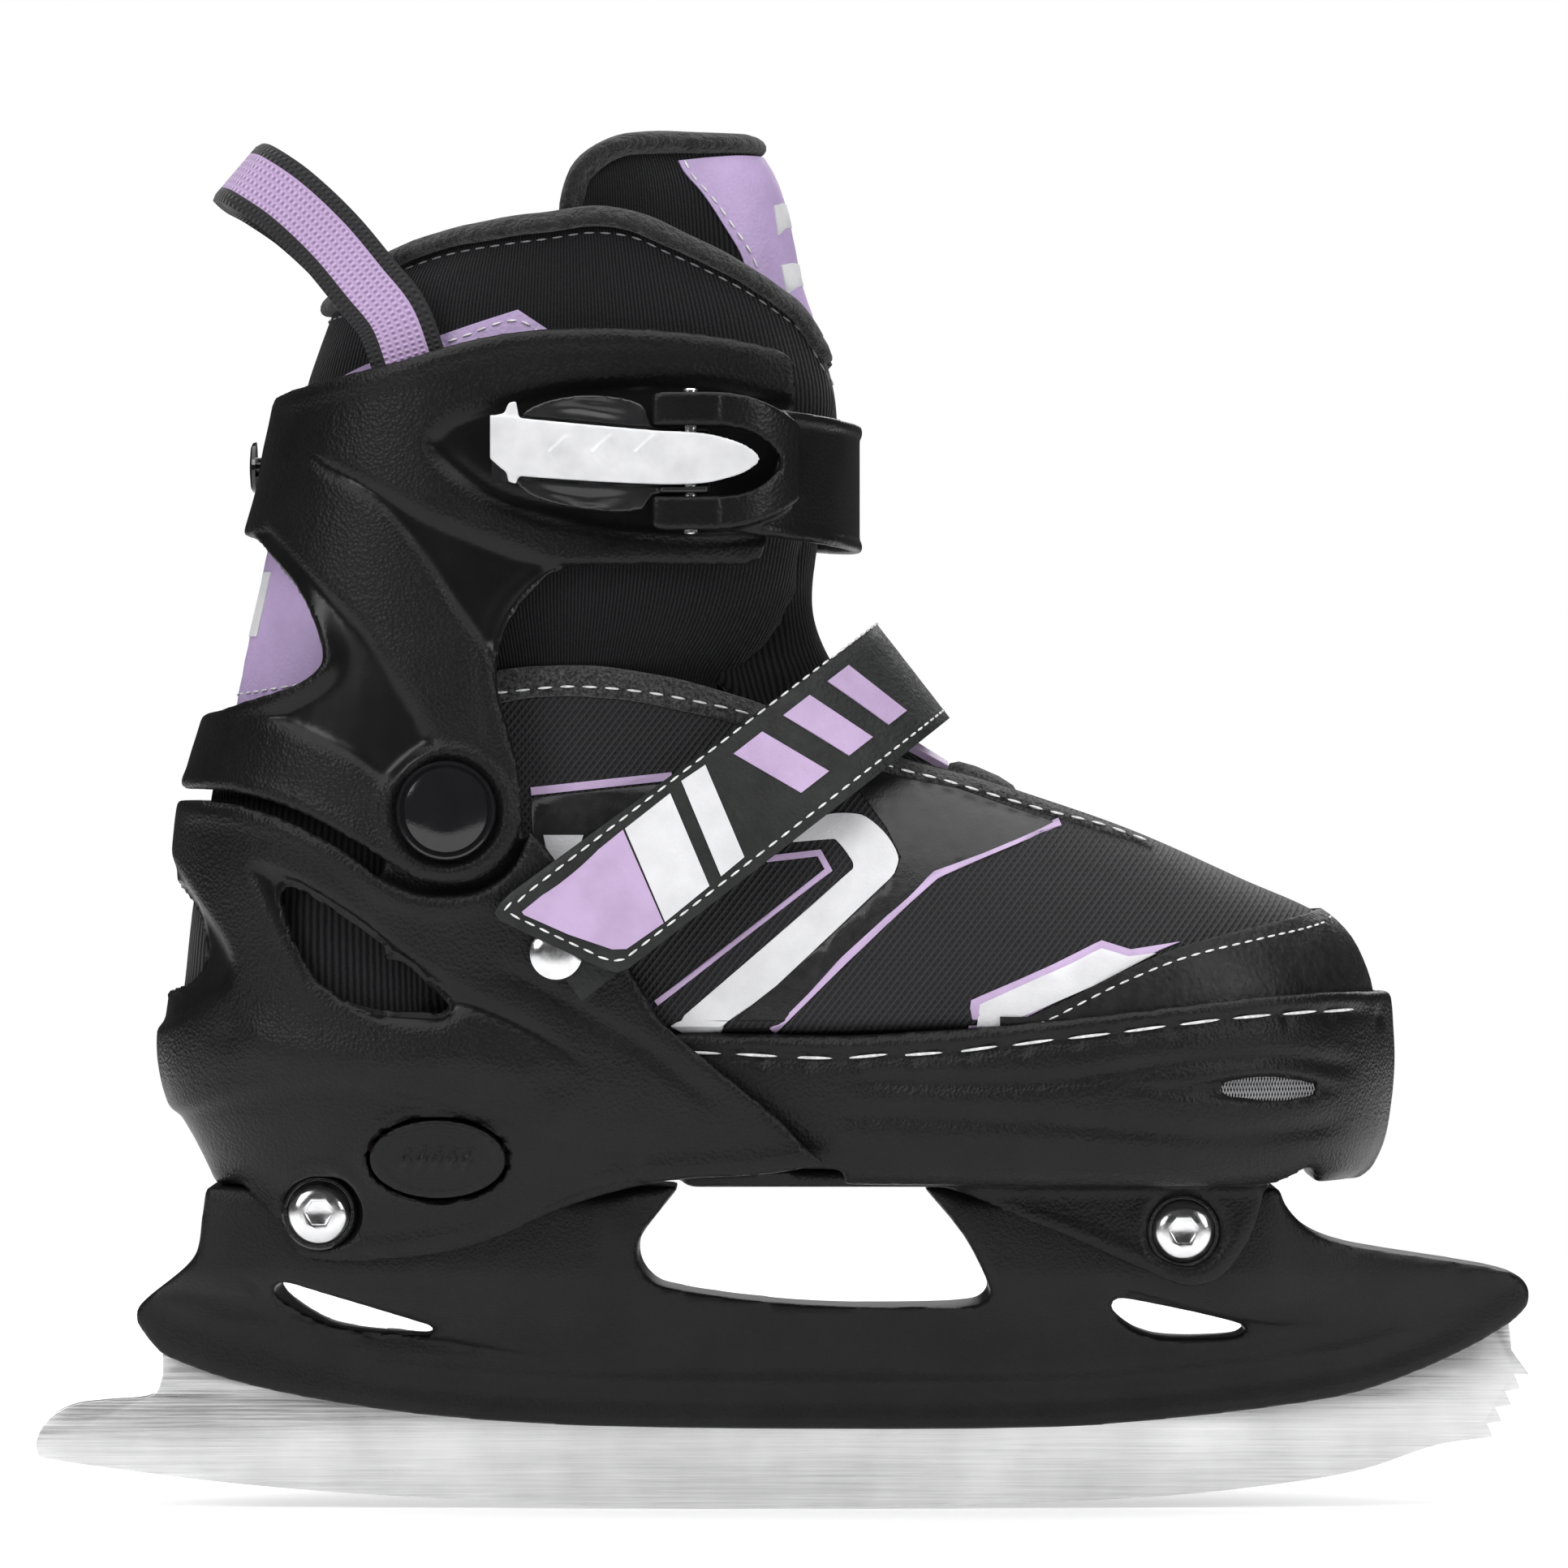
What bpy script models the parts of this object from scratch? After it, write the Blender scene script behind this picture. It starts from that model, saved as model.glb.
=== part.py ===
"""Adjustable children's ice skate, right foot: boot shells, inner boot, buckle, straps, holder and blade.

Frame: metres, +X towards the toe, -Y the outer side of the foot, +Z up. The origin is the lowest point
of the blade's running edge, in the blade's middle plane. Sizes below are in millimetres.
"""

import math

import bmesh
import bpy
from mathutils import Vector
from mathutils.geometry import delaunay_2d_cdt

MM = 0.001

# Driving dimensions
GAP = 0.3                 # clearance between pieces that touch
BLADE_THICKNESS = 3.5
BLADE_SEAT = 5.5          # how far the blade reaches up into its holder
SHELL_WALL = 3.0
TOWER_HALF_WIDTH = 18.2   # holder towers, clamped between the base shell's skirts
SOLE_TOP = 70.0
SOLE_UNDERSIDE = 66.4
PIVOT = (-67.0, 141.9)    # cuff hinge, seen from the side
REAR_BOLT = (-93.4, 61.1)
FRONT_BOLT = (80.2, 57.4)
BOLT_RADIUS = 3.0
BUTTON_CENTRE = (-69.1, 72.3)
BUTTON_SIZE = (27.4, 16.0)
BUCKLE_PIN_X = -18.5
STRAP_ANCHOR = (-22.0, 43.2)   # ankle strap's riveted end, seen from above
STRAP_FLEX = (-10.0, 44.4)     # the line where the ankle strap bends open, seen from above
TRIGGER_PIN = (-12.0, -51.6)   # seen from above
STRAP_START = (-45.0, 117.0)   # instep strap's lower end, seen from the side
STRAP_RISE = math.radians(37.8)
CURVE_STEPS = 3
ROUND = 20                # sides of small turned parts


# ---------------------------------------------------------------- shapes

def clear_scene():
    for old in list(bpy.data.objects):
        bpy.data.objects.remove(old)


def through(points, steps=CURVE_STEPS, closed=False):
    """A smooth curve through the points."""
    pts = [Vector(p) for p in points]
    count = len(pts)
    spans = count if closed else count - 1

    def at(i):
        return pts[i % count] if closed else pts[max(0, min(count - 1, i))]

    def slope(i):
        before, after = at(i - 1), at(i + 1)
        run = (at(i) - before).length + (after - at(i)).length
        return (after - before) / run

    curve = []
    for i in range(spans):
        a, b = at(i), at(i + 1)
        size = (b - a).length
        for k in range(steps):
            t = k / steps
            curve.append(a * (2 * t**3 - 3 * t**2 + 1) + b * (3 * t**2 - 2 * t**3)
                         + slope(i) * size * (t**3 - 2 * t**2 + t)
                         + slope(i + 1) * size * (t**3 - t**2))
    if not closed:
        curve.append(pts[-1])
    return curve


def outline(*runs, steps=CURVE_STEPS):
    """A closed outline of smooth runs that meet at corners."""
    loop = []
    for run in runs:
        points = through(run, steps) if len(run) > 2 else [Vector(p) for p in run]
        for point in points:
            if not loop or (point - loop[-1]).length > 1e-3:
                loop.append(point)
    if (loop[0] - loop[-1]).length < 1e-3:
        loop.pop()
    return loop


def circle(centre, radius, count=ROUND):
    return [Vector((centre[0] + radius * math.cos(math.tau * k / count),
                    centre[1] + radius * math.sin(math.tau * k / count))) for k in range(count)]


def interpolate(table, value):
    """Straight interpolation in a table of (position, result) pairs."""
    if value <= table[0][0]:
        return table[0][1]
    for (a, low), (b, high) in zip(table, table[1:]):
        if value <= b:
            return low + (high - low) * (value - a) / (b - a)
    return table[-1][1]


def smooth_table(table, steps=4):
    return [(p.x, p.y) for p in through(table, steps)]


def new_object(name, verts, faces):
    """A mesh object from millimetre points, with its faces turned outwards."""
    mesh = bpy.data.meshes.new(name)
    mesh.from_pydata([Vector(v) * MM for v in verts], [], faces)
    body = bmesh.new()
    body.from_mesh(mesh)
    bmesh.ops.recalc_face_normals(body, faces=body.faces)
    if body.calc_volume(signed=True) < 0:
        bmesh.ops.reverse_faces(body, faces=body.faces)
    body.to_mesh(mesh)
    body.free()
    mesh.shade_smooth()
    mesh.set_sharp_from_angle(angle=math.radians(35))
    obj = bpy.data.objects.new(name, mesh)
    bpy.context.scene.collection.objects.link(obj)
    return obj


def loft(name, rings):
    """A solid through equal rings of points, with flat ends."""
    size = len(rings[0])
    verts = [point for ring in rings for point in ring]
    faces = [[i * size + k, i * size + (k + 1) % size, (i + 1) * size + (k + 1) % size, (i + 1) * size + k]
             for i in range(len(rings) - 1) for k in range(size)]
    last = (len(rings) - 1) * size
    faces += [list(range(size))[::-1], [last + k for k in range(size)]]
    return new_object(name, verts, faces)


def side_prism(name, loop, y_low, y_high):
    """An outline seen from the side, extruded across the skate."""
    return loft(name, [[(p[0], y, p[1]) for p in loop] for y in (y_low, y_high)])


def plan_prism(name, loop, z_low, z_high):
    """An outline seen from above, extruded upwards."""
    return loft(name, [[(p[0], p[1], z) for p in loop] for z in (z_low, z_high)])


def turned(name, profile, centre, side=1, count=ROUND):
    """A profile of (distance from the middle plane, radius), turned about an axis along Y."""
    return loft(name, [[(p.x, side * out, p.y) for p in circle(centre, radius, count)]
                       for out, radius in profile])


def tube_across(name, centre, outer, inner, y_low, y_high):
    """A tube along Y."""
    tube = turned(name, [(y_low, outer), (y_high, outer)], centre)
    return cut(tube, turned(name + "_bore", [(y_low - 1, inner), (y_high + 1, inner)], centre))


def add_boolean(obj, other, operation):
    modifier = obj.modifiers.new(other.name, "BOOLEAN")
    modifier.operation = operation
    modifier.object = other
    modifier.solver = "EXACT"
    other.hide_render = True
    other.display_type = "WIRE"
    return obj


def cut(obj, *others):
    for other in others:
        add_boolean(obj, other, "DIFFERENCE")
    return obj


def keep(obj, other):
    return add_boolean(obj, other, "INTERSECT")


def join(obj, *others):
    for other in others:
        add_boolean(obj, other, "UNION")
    return obj


def plated(name, loop, half_width, spacing):
    """A plate in the middle plane whose thickness varies over its side view."""
    points = [Vector(p) for p in loop]
    edges = [(k, (k + 1) % len(loop)) for k in range(len(loop))]
    low_x, high_x = min(p.x for p in points), max(p.x for p in points)
    low_z, high_z = min(p.y for p in points), max(p.y for p in points)
    border = list(points)
    for i in range(int((high_x - low_x) / spacing)):
        for k in range(int((high_z - low_z) / spacing)):
            spot = Vector((low_x + (i + 0.5 + 0.5 * (k % 2)) * spacing, low_z + (k + 0.5) * spacing))
            if min((spot - p).length for p in border) > 0.55 * spacing:
                points.append(spot)
    flat, _, faces, *_ = delaunay_2d_cdt(points, edges, [], 1, 1e-4)
    count = len(flat)
    verts = [(p.x, side * half_width(p.x, p.y), p.y) for side in (-1, 1) for p in flat]
    solid = [list(f) for f in faces] + [[v + count for v in reversed(f)] for f in faces]
    used = {}
    for face in faces:
        for a, b in zip(face, list(face[1:]) + [face[0]]):
            used[(a, b)] = True
    solid += [[b, a, a + count, b + count] for a, b in used if (b, a) not in used]
    return new_object(name, verts, solid)


def u_ring(z, x_rear, sides, corners=9):
    """A plan section: a round heel, then straight sides through (x, half width) pairs to a square end."""
    start, width = sides[0]
    reach = start - x_rear
    side = [(x, -half, z) for x, half in reversed(sides)]
    arc = []
    for k in range(1, corners):
        turn = math.pi * k / corners
        arc.append((start - reach * math.sin(turn) ** 0.87, -width * math.copysign(
            abs(math.cos(turn)) ** 0.87, math.cos(turn)), z))
    return side + arc + [(x, half, z) for x, half in sides]


def oval_ring(z, x_rear, x_front, half, power=2.3, count=28):
    middle, reach = (x_rear + x_front) / 2, (x_front - x_rear) / 2
    ring = []
    for k in range(count):
        turn = math.tau * (k + 0.5) / count
        c, s = math.cos(turn), math.sin(turn)
        ring.append((middle + reach * math.copysign(abs(c) ** (2 / power), c),
                     half * math.copysign(abs(s) ** (2 / power), s), z))
    return ring


def ribbon(name, centres, widths, width, thickness):
    """A flat strap along centre points, with its width along the given directions."""
    spots = [Vector(c) for c in centres]
    rings = []
    for i, spot in enumerate(spots):
        along = (spots[min(i + 1, len(spots) - 1)] - spots[max(i - 1, 0)]).normalized()
        across = Vector(widths[i])
        across = (across - along * across.dot(along)).normalized()
        out = along.cross(across)
        rings.append([spot + across * (width / 2) * a + out * (thickness / 2) * b
                      for a, b in ((-1, -1), (1, -1), (1, 1), (-1, 1))])
    return loft(name, rings)


# ---------------------------------------------------------------- materials and bodies

def finish(name, colour, roughness, metallic=0.0):
    material = bpy.data.materials.new(name)
    material.use_nodes = True
    shader = material.node_tree.nodes["Principled BSDF"]
    shader.inputs["Base Color"].default_value = (*colour, 1)
    shader.inputs["Roughness"].default_value = roughness
    shader.inputs["Metallic"].default_value = metallic
    material.diffuse_color = (*colour, 1)
    return material


def axis_empty(name, place):
    empty = bpy.data.objects.new(name, None)
    empty.location = Vector(place) * MM
    bpy.context.scene.collection.objects.link(empty)
    return empty


def assign(material, parent, *objects):
    for obj in objects:
        obj.data.materials.clear()
        obj.data.materials.append(material)
        if parent:
            obj.parent = parent
            obj.matrix_parent_inverse = parent_inverse(parent)


def parent_inverse(parent):
    bpy.context.view_layer.update()
    return parent.matrix_world.inverted()


# ---------------------------------------------------------------- blade and holder

HOLDER_LINE = [(-126.1, 31.4), (-116.7, 27.7), (-106.6, 24.8), (-92.1, 21.9), (-71.0, 19.0), (-40.6, 17.0),
               (6.6, 16.3), (55.1, 16.7), (82.0, 18.8), (102.3, 21.3), (115.5, 23.6), (128.7, 28.2),
               (140.4, 33.7), (147.5, 38.0)]


def seat_line(rise, first, last):
    """The blade's hidden upper edge, or its slot's, a rise above the holder's lower line."""
    inner = [(x, z + rise) for x, z in HOLDER_LINE[1:-1]]
    return [(first, inner[0][1] + 2.8)] + inner + [(last, HOLDER_LINE[-1][1] + rise - 2)]


def make_blade():
    heel_edge = [(-151.5, 10.6), (-142.9, 9.1), (-109.9, 5.0), (-76.9, 2.5), (-32.0, 0.5), (-8.0, 0.0)]
    toe_edge = [(12.0, 0.0), (35.3, 0.7), (75.7, 2.5), (102.3, 5.3), (117.8, 8.1), (132.7, 13.0), (143.9, 14.6)]
    picks = [(143.9, 14.6), (142.7, 17.3), (145.7, 17.7), (144.4, 20.6), (147.7, 21.0), (146.4, 23.9),
             (149.4, 24.3), (148.3, 27.4), (151.3, 27.2), (147.8, 32.2), (147.3, 38.4)]
    tail = [(-126.2, 31.4), (-126.3, 26.5), (-128.2, 23.2), (-137.9, 22.1), (-144.5, 21.1), (-149.5, 18.2),
            (-151.8, 13.7), (-151.5, 10.6)]
    seat = seat_line(BLADE_SEAT, -122.5, 143.5)[::-1]
    loop = outline(heel_edge, toe_edge, *zip(picks, picks[1:]), seat, tail)
    return side_prism("blade", loop, -BLADE_THICKNESS / 2, BLADE_THICKNESS / 2)


def holder_half_width(x, z):
    """Thin where it grips the blade, wide at the towers that the base shell straddles."""
    line = interpolate(HOLDER_LINE, x)
    rise = max(0.0, min(1.0, (z - line - 9) / (48.5 - line - 9)))
    rise = rise * rise * (3 - 2 * rise)
    towers = interpolate([(-131, 0.35), (-112, 1), (-40, 1), (-24, 0.55), (26, 0.55), (40, 1), (97, 1),
                          (112, 0.5), (150, 0.2)], x)
    return 5.6 + (TOWER_HALF_WIDTH - 5.6) * rise * towers


def make_holder():
    rear = [(-116.5, 66.0), (-117.3, 60.0), (-118.5, 52.5), (-122.5, 48.3), (-130.8, 41.5), (-131.4, 38.6),
            (-129.7, 35.6), (-126.1, 31.4)]
    nose = [(147.5, 38.0), (150.6, 41.1), (151.3, 43.9), (149.8, 46.9), (145.9, 48.7), (136.5, 50.5),
            (123.3, 52.5), (113.2, 54.3), (106.9, 56.7), (103.0, 59.9), (100.7, 63.0), (99.8, 66.0)]
    window = [(28.0, 66.0), (36.3, 56.1), (41.1, 46.7), (41.7, 43.9), (38.8, 42.1), (27.4, 41.6),
              (12.9, 41.6), (-3.5, 42.6), (-24.3, 45.7), (-28.1, 48.5), (-29.5, 51.8), (-29.0, 55.6),
              (-26.9, 58.7), (-21.0, 66.0)]
    rear_slot = [(-103.1, 45.9), (-102.3, 47.2), (-94.2, 45.0), (-81.8, 41.1), (-71.0, 37.6), (-68.0, 36.5),
                 (-69.5, 35.6), (-78.2, 35.9), (-90.6, 37.5), (-97.0, 40.4), (-101.8, 43.7)]
    front_slot = [(65.5, 43.4), (66.5, 43.9), (82.0, 40.8), (91.4, 38.4), (94.5, 37.6), (93.4, 36.1),
                  (89.1, 35.3), (78.9, 35.1), (72.6, 36.1), (68.0, 38.8), (66.0, 41.6)]
    loop = outline(rear, HOLDER_LINE, nose, window, [(-21.0, 66.0), (-116.5, 66.0)], steps=2)
    holder = plated("blade_holder", loop, holder_half_width, 6.5)
    for name, slot in (("heel_slot", rear_slot), ("toe_slot", front_slot)):
        cut(holder, side_prism(name, slot, -40, 40))
    low = [(147.8, 8.0), (-126.6, 8.0), (-126.6, 31.9)]
    slot_loop = outline(seat_line(BLADE_SEAT + 0.4, -122.8, 143.9), [(147.8, 38.8), low[0]], *zip(low, low[1:]))
    half = BLADE_THICKNESS / 2 + GAP
    cut(holder, side_prism("blade_slot", slot_loop, -half, half))
    for place, spot in (("rear", REAR_BOLT), ("front", FRONT_BOLT)):
        cut(holder, turned(place + "_tower_hole", [(-25, 4.6), (25, 4.6)], spot))
    return holder


# ---------------------------------------------------------------- base shell

BASE_REAR = [(46, -112), (56, -113.5), (60, -115), (69, -118), (75, -121), (82, -125), (89, -127),
             (96, -127.5), (104, -126.5), (115, -125.5), (132, -124.5), (141, -123.6), (150, -122)]
BASE_HALF = [(46, 23.0), (56, 25.0), (62, 28.0), (66, 31.5), (70, 33.8), (75, 35.4), (80, 36.8), (90, 38.5),
             (100, 39.3), (110, 39.8), (120, 41.0), (130, 42.3), (150, 43.0)]
BASE_LEVELS = (44, 56, 62, 66, 70, 75, 80, 90, 100, 110, 120, 130, 141, 152)


def base_envelope(name, inset, levels):
    rings = []
    for z in levels:
        half = interpolate(BASE_HALF, z) - inset
        rings.append(u_ring(z, interpolate(BASE_REAR, z) + inset, [(-66, half), (-30, half), (20, half + 5)]))
    return loft(name, rings)


def make_base_shell():
    base = base_envelope("base_shell", 0, BASE_LEVELS)
    cut(base, base_envelope("base_inside", SHELL_WALL, (SOLE_TOP, 75, 80, 90, 100, 110, 120, 130, 141, 153)))
    step = [(-124.5, 143.7), (-119.0, 144.0), (-108.2, 142.9), (-97.5, 139.5), (-86.8, 133.6),
            (-80.3, 128.6), (-73.5, 125.7), (-67.0, 125.0), (-60.0, 126.3), (-54.0, 130.5), (-50.4, 138.0)]
    front = [(-50.4, 138.0), (-46.0, 133.0), (-37.3, 120.1), (-29.5, 108.9), (-23.8, 99.5), (-15.8, 92.6),
             (-5.9, 84.6), (-0.2, 80.0), (4.0, 75.2), (8.9, 71.6)]
    skirt = [(8.9, 71.6), (-2.6, 69.5), (-22.4, 68.1), (-33.2, 65.8), (-43.9, 62.4), (-58.1, 55.9),
             (-69.0, 53.0), (-86.8, 51.2), (-104.0, 50.7), (-106.8, 52.0), (-109.7, 55.9), (-114.3, 63.7),
             (-117.5, 69.1)]
    heel = [(-117.5, 69.1), (-130.0, 80.0), (-131.0, 100.0), (-130.0, 125.0), (-124.5, 143.7)]
    side_view = outline(step, front, skirt, heel, steps=2)
    keep(base, side_prism("base_side_view", side_view, -60, 60))
    rear_window = outline([(-135.0, 103.0), (-121.1, 106.8), (-117.0, 111.0), (-117.0, 117.0),
                           (-121.4, 125.4), (-135.0, 131.0)], [(-135.0, 131.0), (-135.0, 103.0)], steps=2)
    side_window = outline([(-100.8, 126.7), (-98.2, 126.7), (-80.2, 115.2), (-65.3, 101.6)],
                          [(-65.3, 101.6), (-84.0, 103.1), (-92.6, 108.1), (-96.9, 114.5), (-100.8, 126.7)],
                          steps=2)
    cut(base, side_prism("base_rear_window", rear_window, -60, 60),
        side_prism("base_side_window", side_window, -60, 60),
        side_prism("skirt_hollow", [(-140, 40), (30, 40), (30, SOLE_UNDERSIDE), (-140, SOLE_UNDERSIDE)],
                   -TOWER_HALF_WIDTH - 0.4, TOWER_HALF_WIDTH + 0.4))
    for side in (-1, 1):
        ear_loop = outline([(-80, 112), (-50, 112)], [(-50, 112), (-51.6, 137), (-55, 151), (-67, 155.5),
                                                     (-77, 151), (-79.6, 137), (-80, 112)], steps=2)
        join(base, side_prism(f"pivot_ear_{side + 1}", ear_loop, side * 35.9, side * 38.4))
    plate = [(-20, SOLE_UNDERSIDE), (97.5, SOLE_UNDERSIDE), (97.5, SOLE_TOP), (-20, SOLE_TOP)]
    bracket = outline([(22, 68.5), (35.5, 65.2), (57, 56.3), (76.7, 47.7), (82, 46.2), (88, 48.2),
                       (93, 54.8), (95.4, 61), (96.5, 68.5)], [(96.5, 68.5), (22, 68.5)], steps=2)
    bracket_body = side_prism("bracket_walls", bracket, -23.6, 23.6)
    cut(bracket_body, side_prism("bracket_hollow", [(0, 40), (120, 40), (120, SOLE_UNDERSIDE),
                                                    (0, SOLE_UNDERSIDE)],
                                 -TOWER_HALF_WIDTH - 0.4, TOWER_HALF_WIDTH + 0.4))
    join(base, side_prism("sole_plate", plate, -26.8, 26.8), bracket_body)
    for place, spot in (("rear", REAR_BOLT), ("front", FRONT_BOLT)):
        cut(base, turned(place + "_bolt_hole", [(-40, BOLT_RADIUS + 0.3), (40, BOLT_RADIUS + 0.3)], spot))
        for side in (-1, 1):
            cut(base, turned(f"{place}_bolt_seat_{side + 1}", [(20.8, 7.6), (45, 7.6)], spot, side))
    cut(base, side_prism("button_hole", button_loop(0.4), -50, -23))
    for side in (-1, 1):
        cut(base, turned(f"ear_hole_{side + 1}", [(30, 3.8), (42, 3.8)], PIVOT, side),
            turned(f"strap_rivet_hole_{side + 1}", [(30, 2.3), (45, 2.3)], (-45.2, 113.6), side))
    return base


def button_loop(grow):
    half_x, half_z = BUTTON_SIZE[0] / 2 + grow, BUTTON_SIZE[1] / 2 + grow
    return [Vector((BUTTON_CENTRE[0] + half_x * math.cos(math.tau * k / 28),
                    BUTTON_CENTRE[1] + half_z * math.sin(math.tau * k / 28))) for k in range(28)]


def make_button():
    button = side_prism("size_button", button_loop(0), -45, -29)
    face = base_envelope("button_face", -1.0, (50, 60, 66, 70, 75, 80, 90))
    return keep(button, face)


def make_bolts():
    made = []
    for place, spot in (("rear", REAR_BOLT), ("front", FRONT_BOLT)):
        bolt = turned(place + "_bolt", [(24.6, BOLT_RADIUS), (-21.1, BOLT_RADIUS), (-21.1, 6.2), (-23.0, 6.2),
                                        (-24.2, 5.2)], spot)
        cut(bolt, turned(place + "_hex_socket", [(-27, 2.6), (-22.0, 2.6)], spot, 1, 6))
        nut = turned(place + "_nut", [(21.1, 5.8), (25.2, 5.8)], spot, 1, 6)
        cut(nut, turned(place + "_nut_bore", [(15, BOLT_RADIUS + 0.3), (30, BOLT_RADIUS + 0.3)], spot))
        bush = tube_across(place + "_bush", spot, 4.2, BOLT_RADIUS + 0.3, -18.2, 18.2)
        made += [bolt, nut, bush]
    return made


# ---------------------------------------------------------------- toe shell

TOE_PLAN = smooth_table([(-25, 34.3), (0, 36.0), (20, 39.5), (40, 43.4), (60, 45.6), (78, 44.6), (94, 40.0),
                         (106, 32.5), (115, 22.5), (121, 11.5), (123.9, 3.5)])
TOE_INSET = [(67, 9.0), (68.4, 6.4), (70.3, 4.8), (75, 2.4), (82, 0.9), (91, 0.0), (99, 0.4), (108, 1.2)]


def toe_ring(z, inset, x_rear, stations=13):
    """A plan section of the toe shell: straight sides to a round toe, pulled in by an inset."""
    side = []
    for k in range(stations):
        x = x_rear + (124.0 - x_rear) * math.sin(math.pi / 2 * k / (stations - 1))
        side.append((x, interpolate(TOE_PLAN, x)))
    ring = []
    for x, half in side:
        slope = (interpolate(TOE_PLAN, x + 1) - interpolate(TOE_PLAN, x - 1)) / 2
        size = math.hypot(1, slope)
        shift = inset * min(1.0, (x - x_rear) / 8)
        ring.append((x + shift * slope / size, max(half - inset / size, 1.0), z))
    return [(x, -y, z) for x, y, z in ring] + [(x, y, z) for x, y, z in reversed(ring)]


def make_toe_shell():
    levels = (67, 68.4, 70.3, 75, 82, 91, 99, 108)
    shell = loft("toe_shell", [toe_ring(z, interpolate(TOE_INSET, z), -25) for z in levels])
    inner_levels = (73.2, 76, 82, 91, 99, 110)
    cut(shell, loft("toe_inside", [toe_ring(z, interpolate(TOE_INSET, z) + SHELL_WALL, -35)
                                   for z in inner_levels]))
    rim = outline([(-40, 60), (-40, 97.8)], [(-40, 97.8), (-2.6, 97.5), (12.2, 97.2), (49.0, 99.8),
                                             (78.5, 103.1), (100.7, 105.3), (130.0, 105.3)],
                  [(130, 105.3), (130, 60)], [(130, 60), (-40, 60)])
    keep(shell, side_prism("toe_rim", rim, -60, 60))
    cut(shell, side_prism("toe_rear_relief", [(-40, 60), (12, 60), (12, SOLE_TOP + GAP), (-40, SOLE_TOP + GAP)],
                          -60, 60),
        side_prism("sole_plate_recess", [(5, 60), (118.5 - 12, 60), (118.5 - 12, SOLE_TOP + GAP),
                                         (5, SOLE_TOP + GAP)], -27.2, 27.2),
        side_prism("toe_vents", vent_loop(0), -60, 60))
    return shell


def vent_loop(grow):
    upper = [(80.4 - 2 * grow, 87.0), (96.9, 88.7 + grow), (111.7 + 2 * grow, 85.8)]
    lower = [(111.7 + 2 * grow, 85.8), (96.9, 84.3 - grow), (80.4 - 2 * grow, 87.0)]
    return outline(upper, lower, steps=4)


def make_vent_mesh(name, side):
    """A strip of mesh inside the toe shell, behind one vent."""
    plate = loft(name, [toe_ring(z, interpolate(TOE_INSET, z) + SHELL_WALL + 0.5, -20) for z in (82, 86, 91)])
    cut(plate, loft(name + "_inside", [toe_ring(z, interpolate(TOE_INSET, z) + SHELL_WALL + 1.0, -30)
                                       for z in (80, 86, 93)]))
    return keep(plate, side_prism(name + "_shape", vent_loop(1.2), side * 15, side * 60))


def make_rail():
    """The toothed rail that the size button's latch holds."""
    teeth = []
    for k in range(9):
        x = -78 + 6 * k
        teeth += [(x, -22.0), (x + 3.5, -22.0), (x + 3.5, -20.0), (x + 6, -20.0)]
    loop = [(-80, -12), (-80, -22)] + teeth + [(-24, -22), (-24, -12)]
    rail = plan_prism("adjuster_rail", loop, 70.5, 73.0)
    return cut(rail, plan_prism("rail_trim", [(-25.4, -30), (-10, -30), (-10, 0), (-25.4, 0)], 60, 80))


# ---------------------------------------------------------------- inner boot

def make_footbed():
    pad = plan_prism("heel_pad", outline([(-30, -11.5), (-30, 26)], [(-30, 26), (-70, 27), (-100, 21),
                                                                     (-112, 6), (-110, -6), (-104, -11.5)],
                                         [(-104, -11.5), (-30, -11.5)]), 70.3, 73.2)
    board_loop = outline([(-114, 0), (-106, 18), (-80, 24.4), (-30, 24.8), (20, 28), (60, 33), (85, 29),
                          (99, 14), (101, 0), (99, -14), (85, -29), (60, -33), (20, -28), (-30, -24.8),
                          (-80, -24.4), (-106, -18), (-114, 0)], steps=2)
    board = plan_prism("footbed_board", board_loop, 73.5, 75.0)
    insole = loft("insole", [[((p.x + 6) * s - 6, p.y * s * 0.79, z) for p in board_loop]
                             for z, s in ((77.6, 0.94), (79.0, 0.95), (81.0, 0.93))])
    return pad, board, insole


def make_liner_foot():
    rings_out, rings_in = [], []
    heel = [(77.6, 25.0), (81, 26.0), (86, 30), (95, 33), (110, 33.8), (130, 33.8), (170, 32.0)]
    fore = [(77.6, 24.8), (81, 26.0), (97, 27.6), (104, 30.6), (125, 31.0), (170, 26.5)]
    for z in (77.6, 81, 86, 95, 104, 115, 130, 150, 170):
        rear = interpolate(BASE_REAR, min(z, 141)) + SHELL_WALL + 1.2
        rear += interpolate([(77, 8), (90, 1), (110, 0.3), (125, 1), (170, 6)], z)
        half_rear, half_front = interpolate(heel, z), interpolate(fore, z)
        rings_out.append(u_ring(z, rear, [(-72, half_rear), (-63.5, half_front), (32, half_front)]))
        rings_in.append(u_ring(z + (4 if z > 160 else -4 if z < 78 else 0), rear + 3.2,
                               [(-72, half_rear - 3.2), (-63.5, half_front - 2.6), (40, half_front - 2.6)]))
    liner = loft("liner_foot", rings_out)
    cut(liner, loft("liner_foot_inside", rings_in))
    top = outline([(-140, 148.6), (-97, 148.6), (-78, 160), (-62, 160), (-40, 150), (0, 132), (31.5, 122)],
                  [(31.5, 122), (31.5, 70)], [(31.5, 70), (-140, 70)], [(-140, 70), (-140, 148.6)], steps=1)
    return keep(liner, side_prism("liner_foot_side_view", top, -60, 60))


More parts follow.
